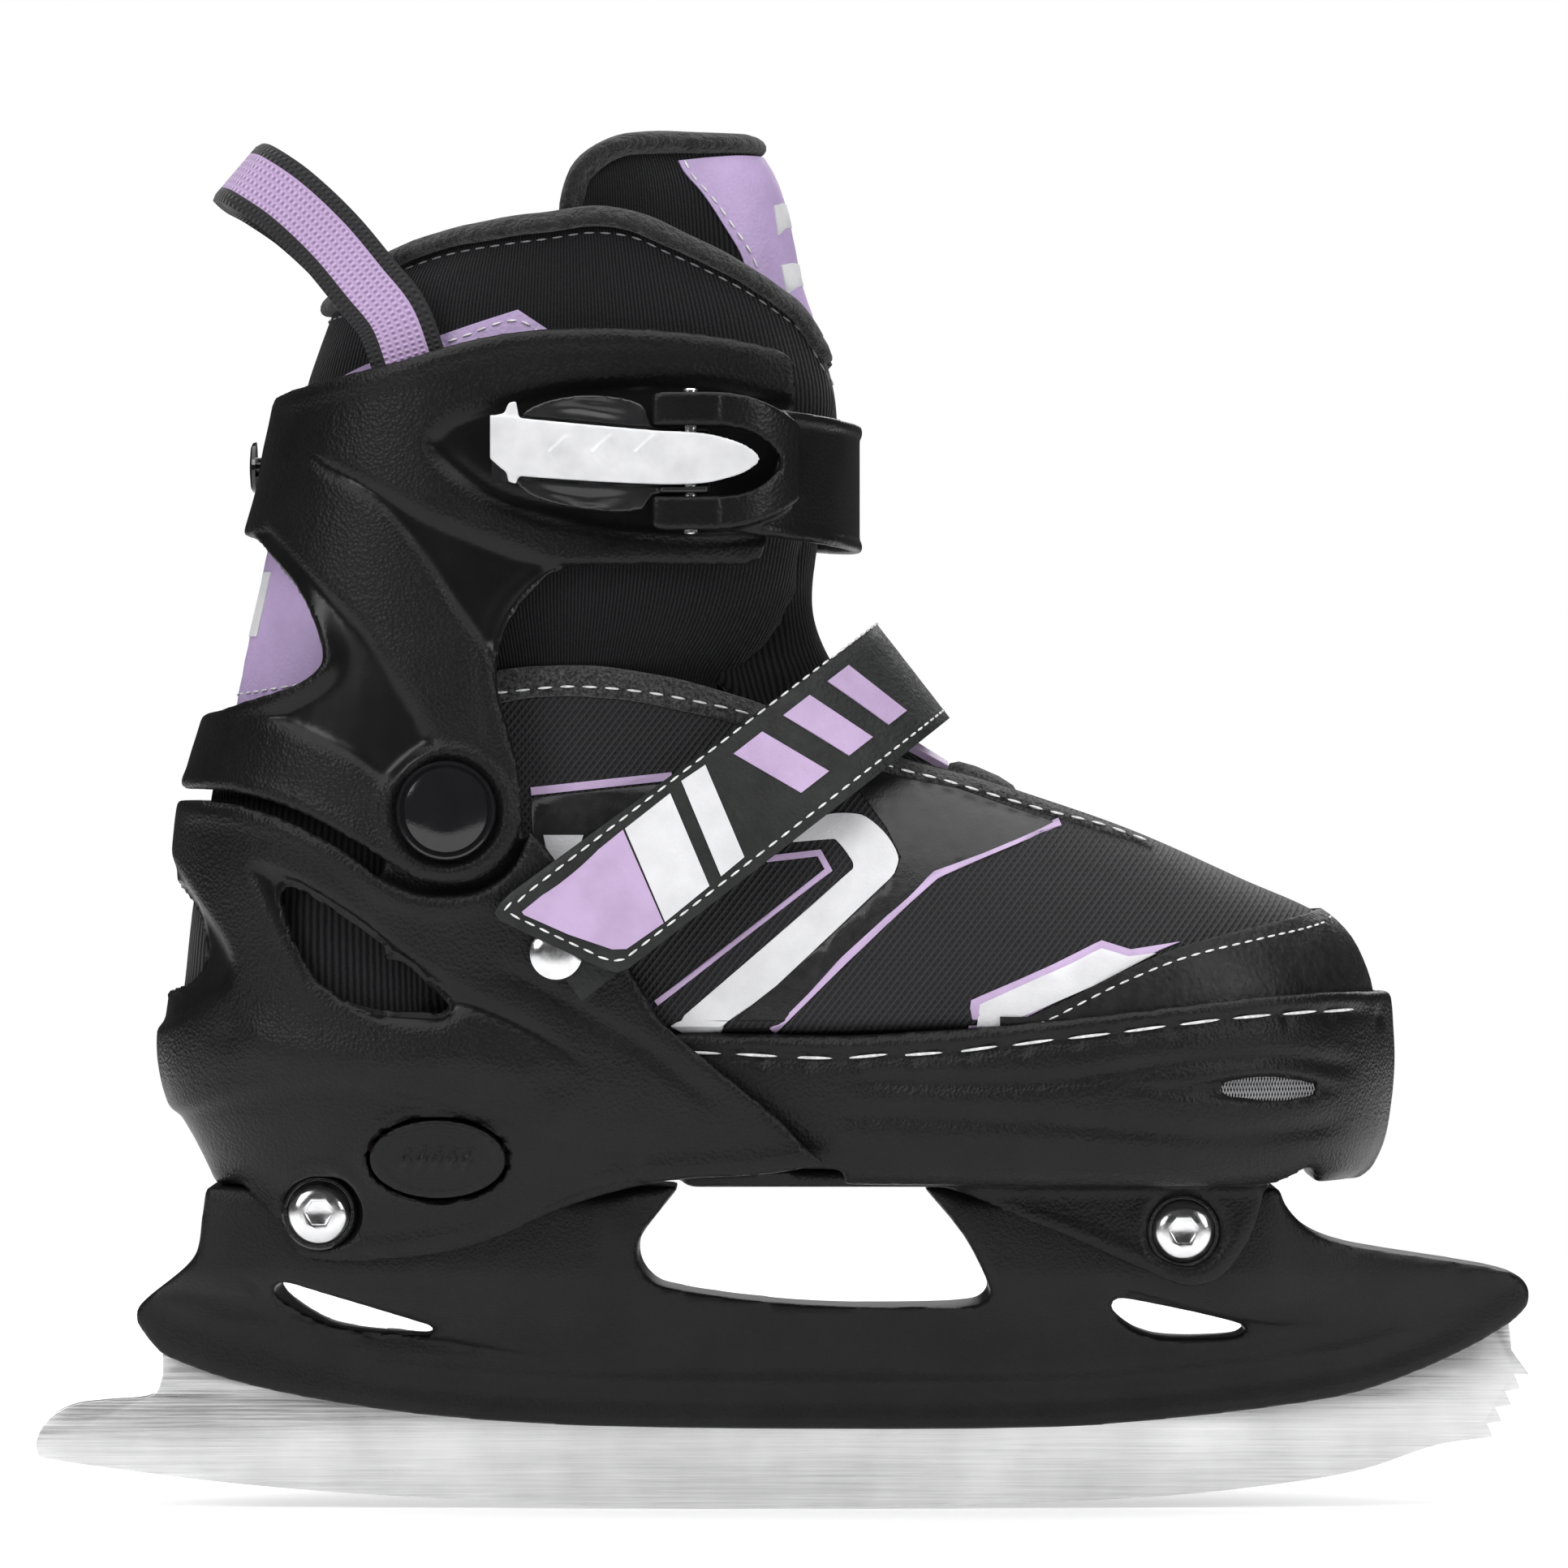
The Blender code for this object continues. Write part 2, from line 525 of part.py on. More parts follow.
def quarter_section(x, inset):
    """The upper's section beside the instep: a floor, two sides, and no roof."""
    wide = interpolate([(-62, 34.8), (-20, 35.0), (0, 36.5), (34, 39.5)], x) - inset
    low = interpolate([(-62, 31.0), (34, 31.0)], x) - inset
    top = interpolate([(-62, 168), (-56, 167.2), (-34, 167.2), (-17, 164.3), (-9, 162), (24, 151.5),
                       (34, 147.5)], x)
    lean = interpolate([(-62, 30), (-20, 28), (0, 22), (34, 15)], x) - inset
    floor = 75.3 + inset * 0.6
    half = [(lean, top), (min(wide - 2, (wide + lean) / 2 + 3), (top + 128) / 2 + 4), (wide, 125),
            (wide, 101.5), (low, 97.5), (low - 0.5, 83), (low - 4, floor)]
    return half + [(-y, z) for y, z in reversed(half)]


def make_quarter():
    stations = (-62, -45, -30, -12, 6, 20, 34)
    quarter = loft("quarter", [[(x, y, z) for y, z in quarter_section(x, 0)] for x in stations])
    inner = []
    for x in (-70,) + stations[1:-1] + (40,):
        section = quarter_section(x, 2.4)
        section[0] = (section[0][0], section[0][1] + 12)
        section[-1] = (section[-1][0], section[-1][1] + 12)
        inner.append([(x, y, z) for y, z in section])
    return cut(quarter, loft("quarter_inside", inner), side_prism("button_travel", button_loop(1.5), -40, -24))


VAMP_TOP = smooth_table([(30, 150.0), (47.5, 147.0), (60, 142.5), (73, 136.5), (93, 128.0), (108, 121.3),
                         (114, 116.0), (117.5, 109.0)])


def vamp_section(x, inset, count=9):
    """The vamp's section: a floor, sides in the toe shell, and an arched roof."""
    half = min(interpolate([(34, 38.6), (60, 41.2), (80, 40.2), (94, 35.3), (104, 27.9), (112, 19), (117.5, 7)], x),
               60) - inset
    half = max(half, 1.5)
    top = interpolate(VAMP_TOP, x) - inset
    shoulder = min(100.0, top - 4)
    side = [(half * math.cos(math.pi / 2 * k / count) ** 0.9,
             shoulder + (top - shoulder) * math.sin(math.pi / 2 * k / count) ** 0.9) for k in range(count)]
    lower = [(max(half - 4.5, 0.8), 75.4 + inset * 0.6), (max(half - 0.8, 1.2), 84.0)]
    right = lower + side
    return right + [(0, top)] + [(-y, z) for y, z in reversed(right)]


def make_vamp():
    stations = (34.5, 48, 60, 73, 86, 97, 106, 112.5, 117.5)
    vamp = loft("vamp", [[(x, y, z) for y, z in vamp_section(x, 0)] for x in stations])
    cut(vamp, loft("vamp_inside", [[(x, y, z) for y, z in vamp_section(x, 2.4)]
                                   for x in (28,) + stations[1:-2] + (110, 114.5)]))
    throat = outline([(20, -13.5), (55, -11), (70, -6), (74, 0), (70, 6), (55, 11), (20, 13.5)],
                     [(20, 13.5), (20, -13.5)])
    return cut(vamp, plan_prism("throat", throat, 110, 170))


def make_toe_cap():
    """The leather rand over the front of the vamp."""
    stations = (42, 55, 68, 82, 94, 104, 111, 115.5, 118.8)
    cap = loft("toe_cap", [[(x, y, z) for y, z in vamp_section(x - 0.6, -1.8)] for x in stations])
    cut(cap, loft("toe_cap_inside", [[(x, y, z) for y, z in vamp_section(x, -0.7)]
                                     for x in (36,) + stations[1:-1] + (118.0,)]))
    edge = outline([(44, 106.6), (53.5, 108.5), (68.3, 113.4), (79.9, 116.7), (96.4, 119.5), (110.4, 121.0)],
                   [(110.4, 121.0), (125, 121.0)], [(125, 121.0), (125, 106.6)], [(125, 106.6), (44, 106.6)])
    return keep(cap, side_prism("toe_cap_side_view", edge, -60, 60))


def make_lower_tongue():
    """The tongue's lower half, from the throat up to the ankle."""
    line = through([(75, 127.5), (60, 133.5), (44, 140.5), (30, 149.5), (18, 160.5), (8.5, 172.5), (3.5, 184.0)], 2)
    centres = [(p.x, 0, p.y) for p in line]
    return ribbon("tongue_lower", centres, [(0, 1, 0)] * len(centres), 24, 4.0)


SHAFT_REAR = [(150, -113.5), (161, -111.5), (180, -107), (197, -103.8), (213, -99.5), (227, -97.5),
              (238, -93.8), (246, -90.5), (255, -80), (262, -70)]
SHAFT_FRONT = [(150, -10), (180, 3), (195, 5.5), (208, 9.5), (220, 12.0), (227, 11.6), (235, 7.8),
               (245, 3.0), (262, -12)]
SHAFT_HALF = [(150, 38.0), (170, 38.0), (200, 37.4), (220, 36.6), (240, 34.6), (262, 30.0)]
SHAFT_LEVELS = (150, 161, 180, 197, 208, 220, 229, 238, 246, 255, 262)


def shaft_envelope(name, inset, levels, rings=28):
    return loft(name, [oval_ring(z, interpolate(SHAFT_REAR, z) + inset, interpolate(SHAFT_FRONT, z) - inset,
                                 interpolate(SHAFT_HALF, z) - inset, 2.25, rings) for z in levels])


def make_liner_shaft():
    shaft = shaft_envelope("liner_shaft", 0, SHAFT_LEVELS)
    cut(shaft, shaft_envelope("shaft_inside", 5.5, (140, 161, 180, 197, 208, 220, 229, 238, 246, 255, 270)))
    collar = outline([(-130, 152), (-97, 152)], [(-97, 152), (-67, 180)], [(-67, 180), (-25, 190)],
                     [(-25, 190), (13, 206)], [(13, 206), (13, 226)],
                     [(13, 226), (3.1, 243.5), (-5.9, 249.6), (-17.5, 256.0), (-29.0, 259.6), (-42.7, 260.8),
                      (-53.8, 259.6), (-67.0, 257.4), (-78.5, 253.6), (-92, 246.5), (-104, 238)],
                     [(-104, 238), (-130, 230)], [(-130, 230), (-130, 152)], steps=2)
    keep(shaft, side_prism("shaft_side_view", collar, -60, 60))
    return cut(shaft, plan_prism("tongue_opening", [(-19, -17.4), (30, -15), (30, 15), (-19, 17.4)], 140, 280))


TONGUE_WRAP = [(0, 0), (7, 1.0), (12.8, 6.0), (16.6, 18), (20.5, 29), (22, 40)]


def make_upper_tongue():
    """The tongue's upper half, wrapped round the shin inside the collar."""
    centre = Vector((-45, 0))
    rings = []
    for z, x_front, size, thickness in ((207, 10.6, 1.0, 6), (216, 11.6, 1.0, 6), (228, 10.8, 1.0, 7),
                                        (240, 5.0, 1.0, 8), (250, 2.0, 1.0, 8), (260, 0.4, 1.0, 9),
                                        (268, -1.2, 1.0, 9), (274, -4.0, 0.93, 8), (277, -8.0, 0.8, 6)):
        front = [Vector((x_front - back * size, y * size)) for y, back in TONGUE_WRAP]
        front = [Vector((p.x, -p.y)) for p in reversed(front[1:])] + front
        inside = [centre + (p - centre) * (1 - thickness / (p - centre).length) for p in reversed(front)]
        rings.append([(p.x, p.y, z) for p in front + inside])
    return loft("tongue_upper", rings)


def patch(name, inset, thickness, levels, shape, side=0):
    """A thin patch on the shaft's outer face, cut to a side-view shape."""
    piece = shaft_envelope(name, inset, levels)
    cut(piece, shaft_envelope(name + "_inside", inset + thickness, (levels[0] - 2,) + levels[1:-1]
                              + (levels[-1] + 2,)))
    low, high = (-60, 60) if side == 0 else (side * 12, side * 60)
    return keep(piece, side_prism(name + "_shape", shape, low, high))


def make_patches():
    heel = outline([(-130, 197.0), (-104.0, 196.0), (-99.0, 189.0), (-93.0, 179.5), (-91.0, 171.0),
                    (-94.5, 167.0), (-105.0, 163.0), (-130.0, 159.0)], [(-130, 159), (-130, 197)], steps=2)
    collar = outline([(-92, 227.0), (-73.6, 234.2), (-51.8, 241.9)], [(-51.8, 241.9), (-45.5, 236.0)],
                     [(-45.5, 236.0), (-45.5, 222.0)], [(-45.5, 222.0), (-92.0, 222.0)], [(-92, 222), (-92, 227)])
    return [patch("heel_patch", -0.9, 0.6, (158, 170, 180, 190, 198), heel),
            patch("collar_patch_lateral", -0.9, 0.6, (222, 229, 238, 244), collar, -1),
            patch("collar_patch_medial", -0.9, 0.6, (222, 229, 238, 244), collar, 1)]


def make_pull_loop():
    """A webbing loop from the outer side of the collar, round the back, to the inner side."""
    run = [(-74.6, -34.3, 234.6), (-78.0, -34.2, 240), (-83.5, -33.2, 247), (-91.0, -31.6, 256),
           (-99.5, -29.6, 264.0), (-106.5, -25.8, 268.8), (-109.6, -17.5, 270.2), (-110.4, 0.0, 270.6)]
    mirrored = [(x, -y, z) for x, y, z in reversed(run[:-1])]
    centres = through(run + mirrored, 2)
    widths = []
    for spot in centres:
        lean = min(1.0, max(0.0, (-74 - spot.x) / 30))
        widths.append((0.97 - 0.32 * lean, 0.0, 0.24 + 0.52 * lean))
    return ribbon("pull_loop", centres, widths, 15.0, 1.6)


# ---------------------------------------------------------------- cuff

CUFF_REAR = [(125, -119), (146, -122), (161, -118.2), (180, -113.5), (197, -110.0), (207, -107.2),
             (215, -105.8), (225, -103.4), (240, -100.0)]
CUFF_HALF = [(125, 43.0), (161, 43.0), (180, 42.4), (225, 42.0), (240, 41.0)]


def cuff_envelope(name, inset, levels):
    rings = []
    for z in levels:
        half = interpolate(CUFF_HALF, z) - inset
        rings.append(u_ring(z, interpolate(CUFF_REAR, z) + inset, [(-66, half), (-40, half - 0.6),
                                                                   (-20, half - 2.2), (8, half - 6.5)], 11))
    return loft(name, rings)


def make_cuff():
    cuff = cuff_envelope("cuff", 0, (124, 146, 161, 180, 197, 207, 215, 225, 240))
    cut(cuff, cuff_envelope("cuff_inside", SHELL_WALL, (122, 146, 161, 180, 197, 207, 215, 225, 242)))
    rim = [(-106, 224.5), (-88.8, 228.4), (-76.2, 231.3), (-63.5, 235.1), (-51.0, 237.3), (-34.2, 237.9),
           (-17.3, 236.8), (-4.6, 234.6), (0.8, 232.7), (2.4, 228.9), (1.5, 215.0), (-3.5, 197.2),
           (-4.3, 192.6), (-7.3, 190.9), (-20, 190.8), (-34.2, 190.7), (-42.6, 190.1), (-48.5, 186.8),
           (-53.5, 180.8), (-56.4, 174.1), (-56.9, 166.5), (-54.8, 158.1), (-52.6, 149.7), (-52.0, 143.0)]
    lobe = [(-52.0, 143.0), (-52.6, 137.5), (-55.8, 131.8), (-61.0, 128.2), (-67.0, 127.3), (-73.6, 128.7),
            (-81.8, 133.9), (-93.4, 140.4), (-103.3, 144.2), (-113.2, 146.0), (-128.0, 146.4)]
    side_view = outline(rim, lobe, [(-128.0, 146.4), (-128.0, 225)], [(-128.0, 225), (-106, 224.5)], steps=2)
    keep(cuff, side_prism("cuff_side_view", side_view, -60, 60))
    window = outline([(-130, 198.0), (-108.6, 197.5), (-102.3, 191.7), (-96.9, 185.1), (-93.1, 178.0),
                      (-91.7, 172.0), (-93.6, 168.6), (-100.2, 165.5), (-116.5, 161.5), (-130, 160.0)],
                     [(-130, 160), (-130, 198)], steps=2)
    cut(cuff, side_prism("cuff_window", window, -60, 60))
    for side in (-1, 1):
        cut(cuff, turned(f"pivot_hole_{side + 1}", [(35, 4.1), (50, 4.1)], PIVOT, side))
    cut(cuff, turned("anchor_hole", [(30, 2.3), (50, 2.3)], (STRAP_ANCHOR[0], 209.0)),
        turned("catch_hole", [(30, 2.3), (50, 2.3)], (-50.0, 212.0), -1),
        loft("stud_hole", [[(x, p.x, p.y) for p in circle((0, 211.5), 2.3)] for x in (-112, -95)]))
    return cuff


def make_rear_stud():
    """The stud at the back of the cuff."""
    rings = [[(x, p.x, p.y) for p in circle((0, 211.5), radius)]
             for x, radius in ((-101.8, 2.0), (-107.4, 2.0), (-107.4, 5.2), (-108.4, 4.6))]
    return loft("cuff_rear_stud", rings)


def make_pivots():
    made = []
    for label, side in (("lateral", -1), ("medial", 1)):
        made.append(turned("pivot_rivet_" + label, [(34.3, 6.0), (35.6, 6.0), (35.6, 3.5), (43.2, 3.5)],
                           PIVOT, side))
        made.append(turned("pivot_cap_" + label, [(43.5, 9.9), (45.0, 9.9), (46.2, 8.6), (46.6, 6.0)],
                           PIVOT, side, 28))
    return made


# ---------------------------------------------------------------- buckle and ankle strap

def make_ankle_strap():
    path = [(-25.0, -48.4), (-16.0, -48.2), (-6.0, -46.6), (2.0, -41.6), (9.0, -32.5), (13.2, -18.0), (14.6, 0.0),
            (13.0, 18.0), (8.2, 31.4), (0.4, 39.8), (-10.0, 43.1), (-25.5, 43.8)]
    curve = through(path, 2)
    centres = [(p.x, p.y, interpolate([(-25, 211.6), (15, 206.8)], p.x)) for p in curve]
    strap, root = [ribbon(name, centres, [(0, 0, 1)] * len(curve), 25.5, 2.6)
                   for name in ("ankle_strap", "strap_root")]
    split = STRAP_FLEX[0]
    cut(strap, side_prism("root_space", [(-40, 180), (split + GAP, 180), (split + GAP, 240), (-40, 240)], 34, 50))
    keep(root, side_prism("root_length", [(-40, 180), (split - GAP, 180), (split - GAP, 240), (-40, 240)], 34, 50))
    fork = outline([(-40, 204.4), (-12, 204.4), (-5, 206.2), (-1, 211.0), (-5, 215.8), (-12, 217.6),
                    (-40, 217.6)], [(-40, 217.6), (-40, 204.4)], steps=2)
    arms = [side_prism(f"fork_arm_{k}", [(-24.4, low), (-8.0, low), (-8.0, low + 6.2), (-24.4, low + 6.2)],
                       -51.6, -47.4) for k, low in enumerate((197.4, 218.4))]
    join(strap, *arms)
    cut(strap, side_prism("fork_opening", fork, -60, -38))
    pin_hole = loft("fork_pin_hole", [[(p.x, p.y, z) for p in circle((BUCKLE_PIN_X, -48.9), 1.8)]
                                      for z in (190, 232)])
    cut(strap, pin_hole)
    cut(root, turned("strap_anchor_hole", [(30, 2.3), (50, 2.3)], (STRAP_ANCHOR[0], 209.0)))
    pin = loft("lever_pin", [[(p.x, p.y, z) for p in circle((BUCKLE_PIN_X, -48.9), 1.5)]
                             for z in (196.6, 225.4)])
    return strap, root, pin


def make_lever():
    body = outline([(-14.5, 205.6), (-26.0, 204.6)], [(-26.0, 204.6), (-28.5, 201.2), (-40.0, 201.6),
                                                      (-50.0, 204.8), (-54.2, 208.2)],
                   [(-54.2, 208.2), (-54.2, 213.8)], [(-54.2, 213.8), (-50.0, 219.0), (-40.0, 221.8),
                                                      (-28.5, 221.6), (-26.0, 217.4)],
                   [(-26.0, 217.4), (-14.5, 216.4)], [(-14.5, 216.4), (-14.5, 205.6)], steps=2)
    lever = side_prism("lever", body, -50.6, -46.4)
    cut(lever, loft("lever_pin_hole", [[(p.x, p.y, z) for p in circle((BUCKLE_PIN_X, -48.9), 1.8)]
                                       for z in (190, 232)]),
        side_prism("trigger_groove", trigger_loop(0.4), -55, -49.6))
    return lever


def trigger_loop(grow):
    low, high = 206.9 - grow, 215.6 + grow
    return outline([(-60.0 - grow, low), (-26, low + 0.4), (-12.5, low + 1.8)],
                   [(-12.5, low + 1.8), (-7.6, low + 3.0), (-5.2 + grow, 211.2), (-7.6, high - 3.0),
                    (-12.5, high - 1.8)], [(-12.5, high - 1.8), (-26, high - 0.4), (-60.0 - grow, high)],
                   [(-60.0 - grow, high), (-60.0 - grow, low)], steps=2)


def make_trigger():
    trigger = side_prism("trigger", trigger_loop(0), -53.6, -51.0)
    ears = side_prism("trigger_ears", [(-59.4, 203.8), (-56.2, 203.8), (-56.2, 218.6), (-59.4, 218.6)],
                      -53.0, -48.8)
    join(trigger, ears)
    cut(trigger, loft("trigger_pin_hole", [[(p.x, p.y, z) for p in circle(TRIGGER_PIN, 0.9)]
                                           for z in (200, 222)]))
    pin = loft("trigger_pin", [[(p.x, p.y, z) for p in circle(TRIGGER_PIN, 0.6, 12)] for z in (208.6, 213.9)])
    return trigger, pin


def make_buckle_catch():
    """The toothed catch on the cuff, under the lever."""
    teeth = [(-56.0, -45.7)]
    for k in range(5):
        x = -53 + 5.0 * k
        teeth += [(x, -45.7), (x + 3.6, -44.6), (x + 5, -45.7)]
    loop = [(-58.0, -43.4)] + teeth + [(-26.0, -45.5), (-26.0, -43.0)]
    catch = plan_prism("buckle_catch", loop, 207.0, 216.4)
    cut(catch, turned("catch_rivet_hole", [(35, 2.3), (50, 2.3)], (-50.0, 212.0), -1))
    rivet = turned("catch_rivet", [(37.3, 3.6), (38.2, 3.6), (38.2, 2.0), (45.4, 2.0)], (-50.0, 212.0), -1)
    return catch, rivet


def make_anchor_rivet():
    spot = (STRAP_ANCHOR[0], 209.0)
    return turned("strap_anchor_rivet", [(35.4, 3.4), (36.4, 3.4), (36.4, 2.0), (45.5, 2.0), (45.5, 4.4),
                                         (46.4, 4.0)], spot)


# ---------------------------------------------------------------- instep strap

def arch_strap(name, path, width, thickness, shift=0.0):
    """A strap across the instep: its path is given as (distance up the slope, offset across)."""
    rise = Vector((math.cos(STRAP_RISE), 0, math.sin(STRAP_RISE)))
    across = Vector((-math.sin(STRAP_RISE), 0, math.cos(STRAP_RISE)))
    start = Vector((STRAP_START[0], 0, STRAP_START[1])) + across * shift
    curve = through([(s, y) for s, y in path], 2)
    centres = [start + rise * p.x + Vector((0, p.y, 0)) for p in curve]
    return ribbon(name, centres, [across] * len(centres), width, thickness)


def make_instep_strap():
    leg = [(-14, -46.4), (6, -46.2), (28, -44.4), (50, -40.6), (66, -34.5), (78, -24.5), (85.6, -12.0), (88, 0)]
    path = leg + [(s, -y) for s, y in reversed(leg[:-1])]
    strap = arch_strap("instep_strap", path, 26.4, 2.0)
    landing = arch_strap("strap_landing", [(-4, -42.8), (10, -42.9), (28, -41.8), (44, -39.4)], 20.0, 1.0, -3.2)
    spot = (-45.2, 113.6)
    cut(landing, turned("landing_hole", [(30, 2.3), (60, 2.3)], spot, -1))
    cut(strap, turned("strap_hole_medial", [(30, 2.3), (60, 2.3)], spot, 1))
    lateral = turned("strap_rivet_lateral", [(35.4, 3.8), (36.4, 3.8), (36.4, 2.0), (43.7, 2.0), (43.7, 5.2),
                                             (44.5, 4.8), (44.9, 3.0)], spot, -1)
    medial = turned("strap_rivet_medial", [(35.4, 3.8), (36.4, 3.8), (36.4, 2.0), (47.7, 2.0), (47.7, 5.2),
                                           (48.5, 4.8), (48.9, 3.0)], spot, 1)
    return strap, landing, lateral, medial


def make_springs():
    button_spring = turned("button_spring", [(-28.7, 2.6), (-23.4, 2.6)], (BUTTON_CENTRE[0], 68.6), 1, 14)
    trigger_spring = side_prism("trigger_spring", [(-50, 209.4), (-40, 209.4), (-40, 213.0), (-50, 213.0)],
                                -50.7, -50.0)
    return button_spring, trigger_spring


# ---------------------------------------------------------------- assembly

def build_skate():
    shell = finish("black_shell", (0.018, 0.018, 0.02), 0.45)
    gloss = finish("gloss_black", (0.01, 0.01, 0.011), 0.12)
    holder_plastic = finish("holder_plastic", (0.022, 0.022, 0.024), 0.5)
    blade_steel = finish("blade_steel", (0.62, 0.62, 0.63), 0.35, 1.0)
    chrome = finish("bolt_chrome", (0.75, 0.75, 0.76), 0.15, 1.0)
    sleeve = finish("sleeve_aluminium", (0.7, 0.7, 0.7), 0.4, 1.0)
    white = finish("white_trigger", (0.85, 0.85, 0.86), 0.2)
    knit = finish("black_knit", (0.012, 0.012, 0.013), 0.9)
    mesh_cloth = finish("black_mesh_cloth", (0.014, 0.014, 0.015), 0.85)
    leather = finish("black_leather", (0.02, 0.02, 0.021), 0.5)
    strap_skin = finish("strap_leather", (0.025, 0.026, 0.026), 0.6)
    lilac = finish("lilac_patch", (0.52, 0.38, 0.6), 0.5)
    webbing = finish("lilac_webbing", (0.5, 0.36, 0.58), 0.8)
    foam = finish("grey_foam", (0.2, 0.2, 0.2), 0.9)
    board_fibre = finish("board_fibre", (0.25, 0.22, 0.18), 0.9)
    vent_wire = finish("vent_mesh", (0.3, 0.3, 0.31), 0.6)

    cuff_axis = axis_empty("cuff_axis", (PIVOT[0], 0, PIVOT[1]))
    toe_axis = axis_empty("toe_slide_axis", (0, 0, SOLE_TOP))
    button_axis = axis_empty("size_button_axis", (BUTTON_CENTRE[0], -36, BUTTON_CENTRE[1]))
    strap_axis = axis_empty("ankle_strap_axis", (*STRAP_FLEX, 209.0))
    lever_axis = axis_empty("lever_axis", (BUCKLE_PIN_X, -48.9, 211.5))
    trigger_axis = axis_empty("trigger_axis", (*TRIGGER_PIN, 211.2))

    assign(blade_steel, None, make_blade())
    assign(holder_plastic, None, make_holder())
    assign(shell, None, make_base_shell())
    for part in make_bolts():
        assign(sleeve if part.name.endswith("bush") else chrome, None, part)
    assign(shell, button_axis, make_button())
    button_spring, trigger_spring = make_springs()
    assign(chrome, None, button_spring)
    assign(chrome, lever_axis, trigger_spring)

    assign(shell, toe_axis, make_toe_shell(), make_rail())
    assign(vent_wire, toe_axis, make_vent_mesh("vent_mesh_lateral", -1), make_vent_mesh("vent_mesh_medial", 1))
    assign(mesh_cloth, toe_axis, make_vamp())
    assign(leather, toe_axis, make_toe_cap())

    heel_pad, board, insole = make_footbed()
    assign(foam, None, heel_pad, insole)
    assign(board_fibre, None, board)
    assign(knit, None, make_liner_foot(), make_lower_tongue())
    assign(mesh_cloth, None, make_quarter())

    assign(shell, cuff_axis, make_cuff())
    for part in make_pivots():
        assign(gloss if "cap" in part.name else chrome, None, part)
    assign(knit, cuff_axis, make_liner_shaft(), make_upper_tongue())
    assign(lilac, cuff_axis, *make_patches())
    assign(webbing, cuff_axis, make_pull_loop())
    catch, catch_rivet = make_buckle_catch()
    assign(shell, cuff_axis, catch)
    assign(chrome, cuff_axis, catch_rivet, make_anchor_rivet())
    assign(gloss, cuff_axis, make_rear_stud())

    strap, root, lever_pin = make_ankle_strap()
    assign(shell, strap_axis, strap)
    assign(shell, cuff_axis, root)
    assign(chrome, strap_axis, lever_pin)
    assign(shell, lever_axis, make_lever())
    trigger, trigger_pin = make_trigger()
    assign(white, trigger_axis, trigger)
    assign(chrome, trigger_axis, trigger_pin)

    instep, landing, rivet_lateral, rivet_medial = make_instep_strap()
    assign(strap_skin, None, instep, landing)
    assign(chrome, None, rivet_lateral, rivet_medial)


clear_scene()
build_skate()
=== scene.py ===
"""Finished look of an adjustable children's ice skate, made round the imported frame.

Moulded shells, padded inner boot, printed upper, straps, buckle, blade holder and blade. Sizes and places
are in millimetres in the frame's own axes: +X towards the toe, -Y the outer side of the foot, +Z up.
"""
import math

import bmesh
import bpy
import numpy as np
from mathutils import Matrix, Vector
from mathutils.bvhtree import BVHTree
from mathutils.geometry import delaunay_2d_cdt


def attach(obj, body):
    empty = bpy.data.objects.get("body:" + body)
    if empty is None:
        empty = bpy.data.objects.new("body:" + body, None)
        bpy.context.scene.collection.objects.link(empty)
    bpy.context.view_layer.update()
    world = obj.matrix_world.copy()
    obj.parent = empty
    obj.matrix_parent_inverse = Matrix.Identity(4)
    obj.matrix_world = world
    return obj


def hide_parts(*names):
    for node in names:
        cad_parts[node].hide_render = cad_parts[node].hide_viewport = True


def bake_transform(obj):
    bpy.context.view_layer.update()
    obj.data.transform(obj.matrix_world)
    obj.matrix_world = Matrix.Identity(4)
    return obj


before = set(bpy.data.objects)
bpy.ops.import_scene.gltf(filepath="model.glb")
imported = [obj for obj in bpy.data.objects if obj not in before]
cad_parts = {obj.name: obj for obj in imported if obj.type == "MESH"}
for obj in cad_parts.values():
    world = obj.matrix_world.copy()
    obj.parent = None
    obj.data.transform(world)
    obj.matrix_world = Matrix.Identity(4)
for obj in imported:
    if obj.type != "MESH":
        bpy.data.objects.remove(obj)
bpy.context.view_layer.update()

MM = 0.001
OUTER, INNER = -1, 1            # the foot's outer side, seen first, and its inner side
SHELL_WALL = 3.0
BLADE_THICKNESS = 3.5
TOWER_HALF_WIDTH = 18.2
SOLE_TOP = 70.0
SOLE_UNDERSIDE = 66.4
PIVOT = (-67.0, 141.9)
REAR_BOLT = (-93.4, 61.1)
FRONT_BOLT = (80.2, 57.4)
BUTTON_CENTRE = (-69.1, 72.3)
BUTTON_SIZE = (27.4, 16.0)
BUCKLE_PIN_X = -18.5
STRAP_ANCHOR = (-22.0, 43.2)
STRAP_RIVET = (-45.2, 113.6)
STRAP_START = (-45.0, 117.0)
STRAP_RISE = math.radians(37.8)
TOE_BLEND = ((0.0, 0.0, 0.11), (0.055, 0.0, 0.11))
ANKLE_BLEND = ((-0.03, 0.0, 0.152), (-0.03, 0.0, 0.196))


# ---------------------------------------------------------------- curves and tables

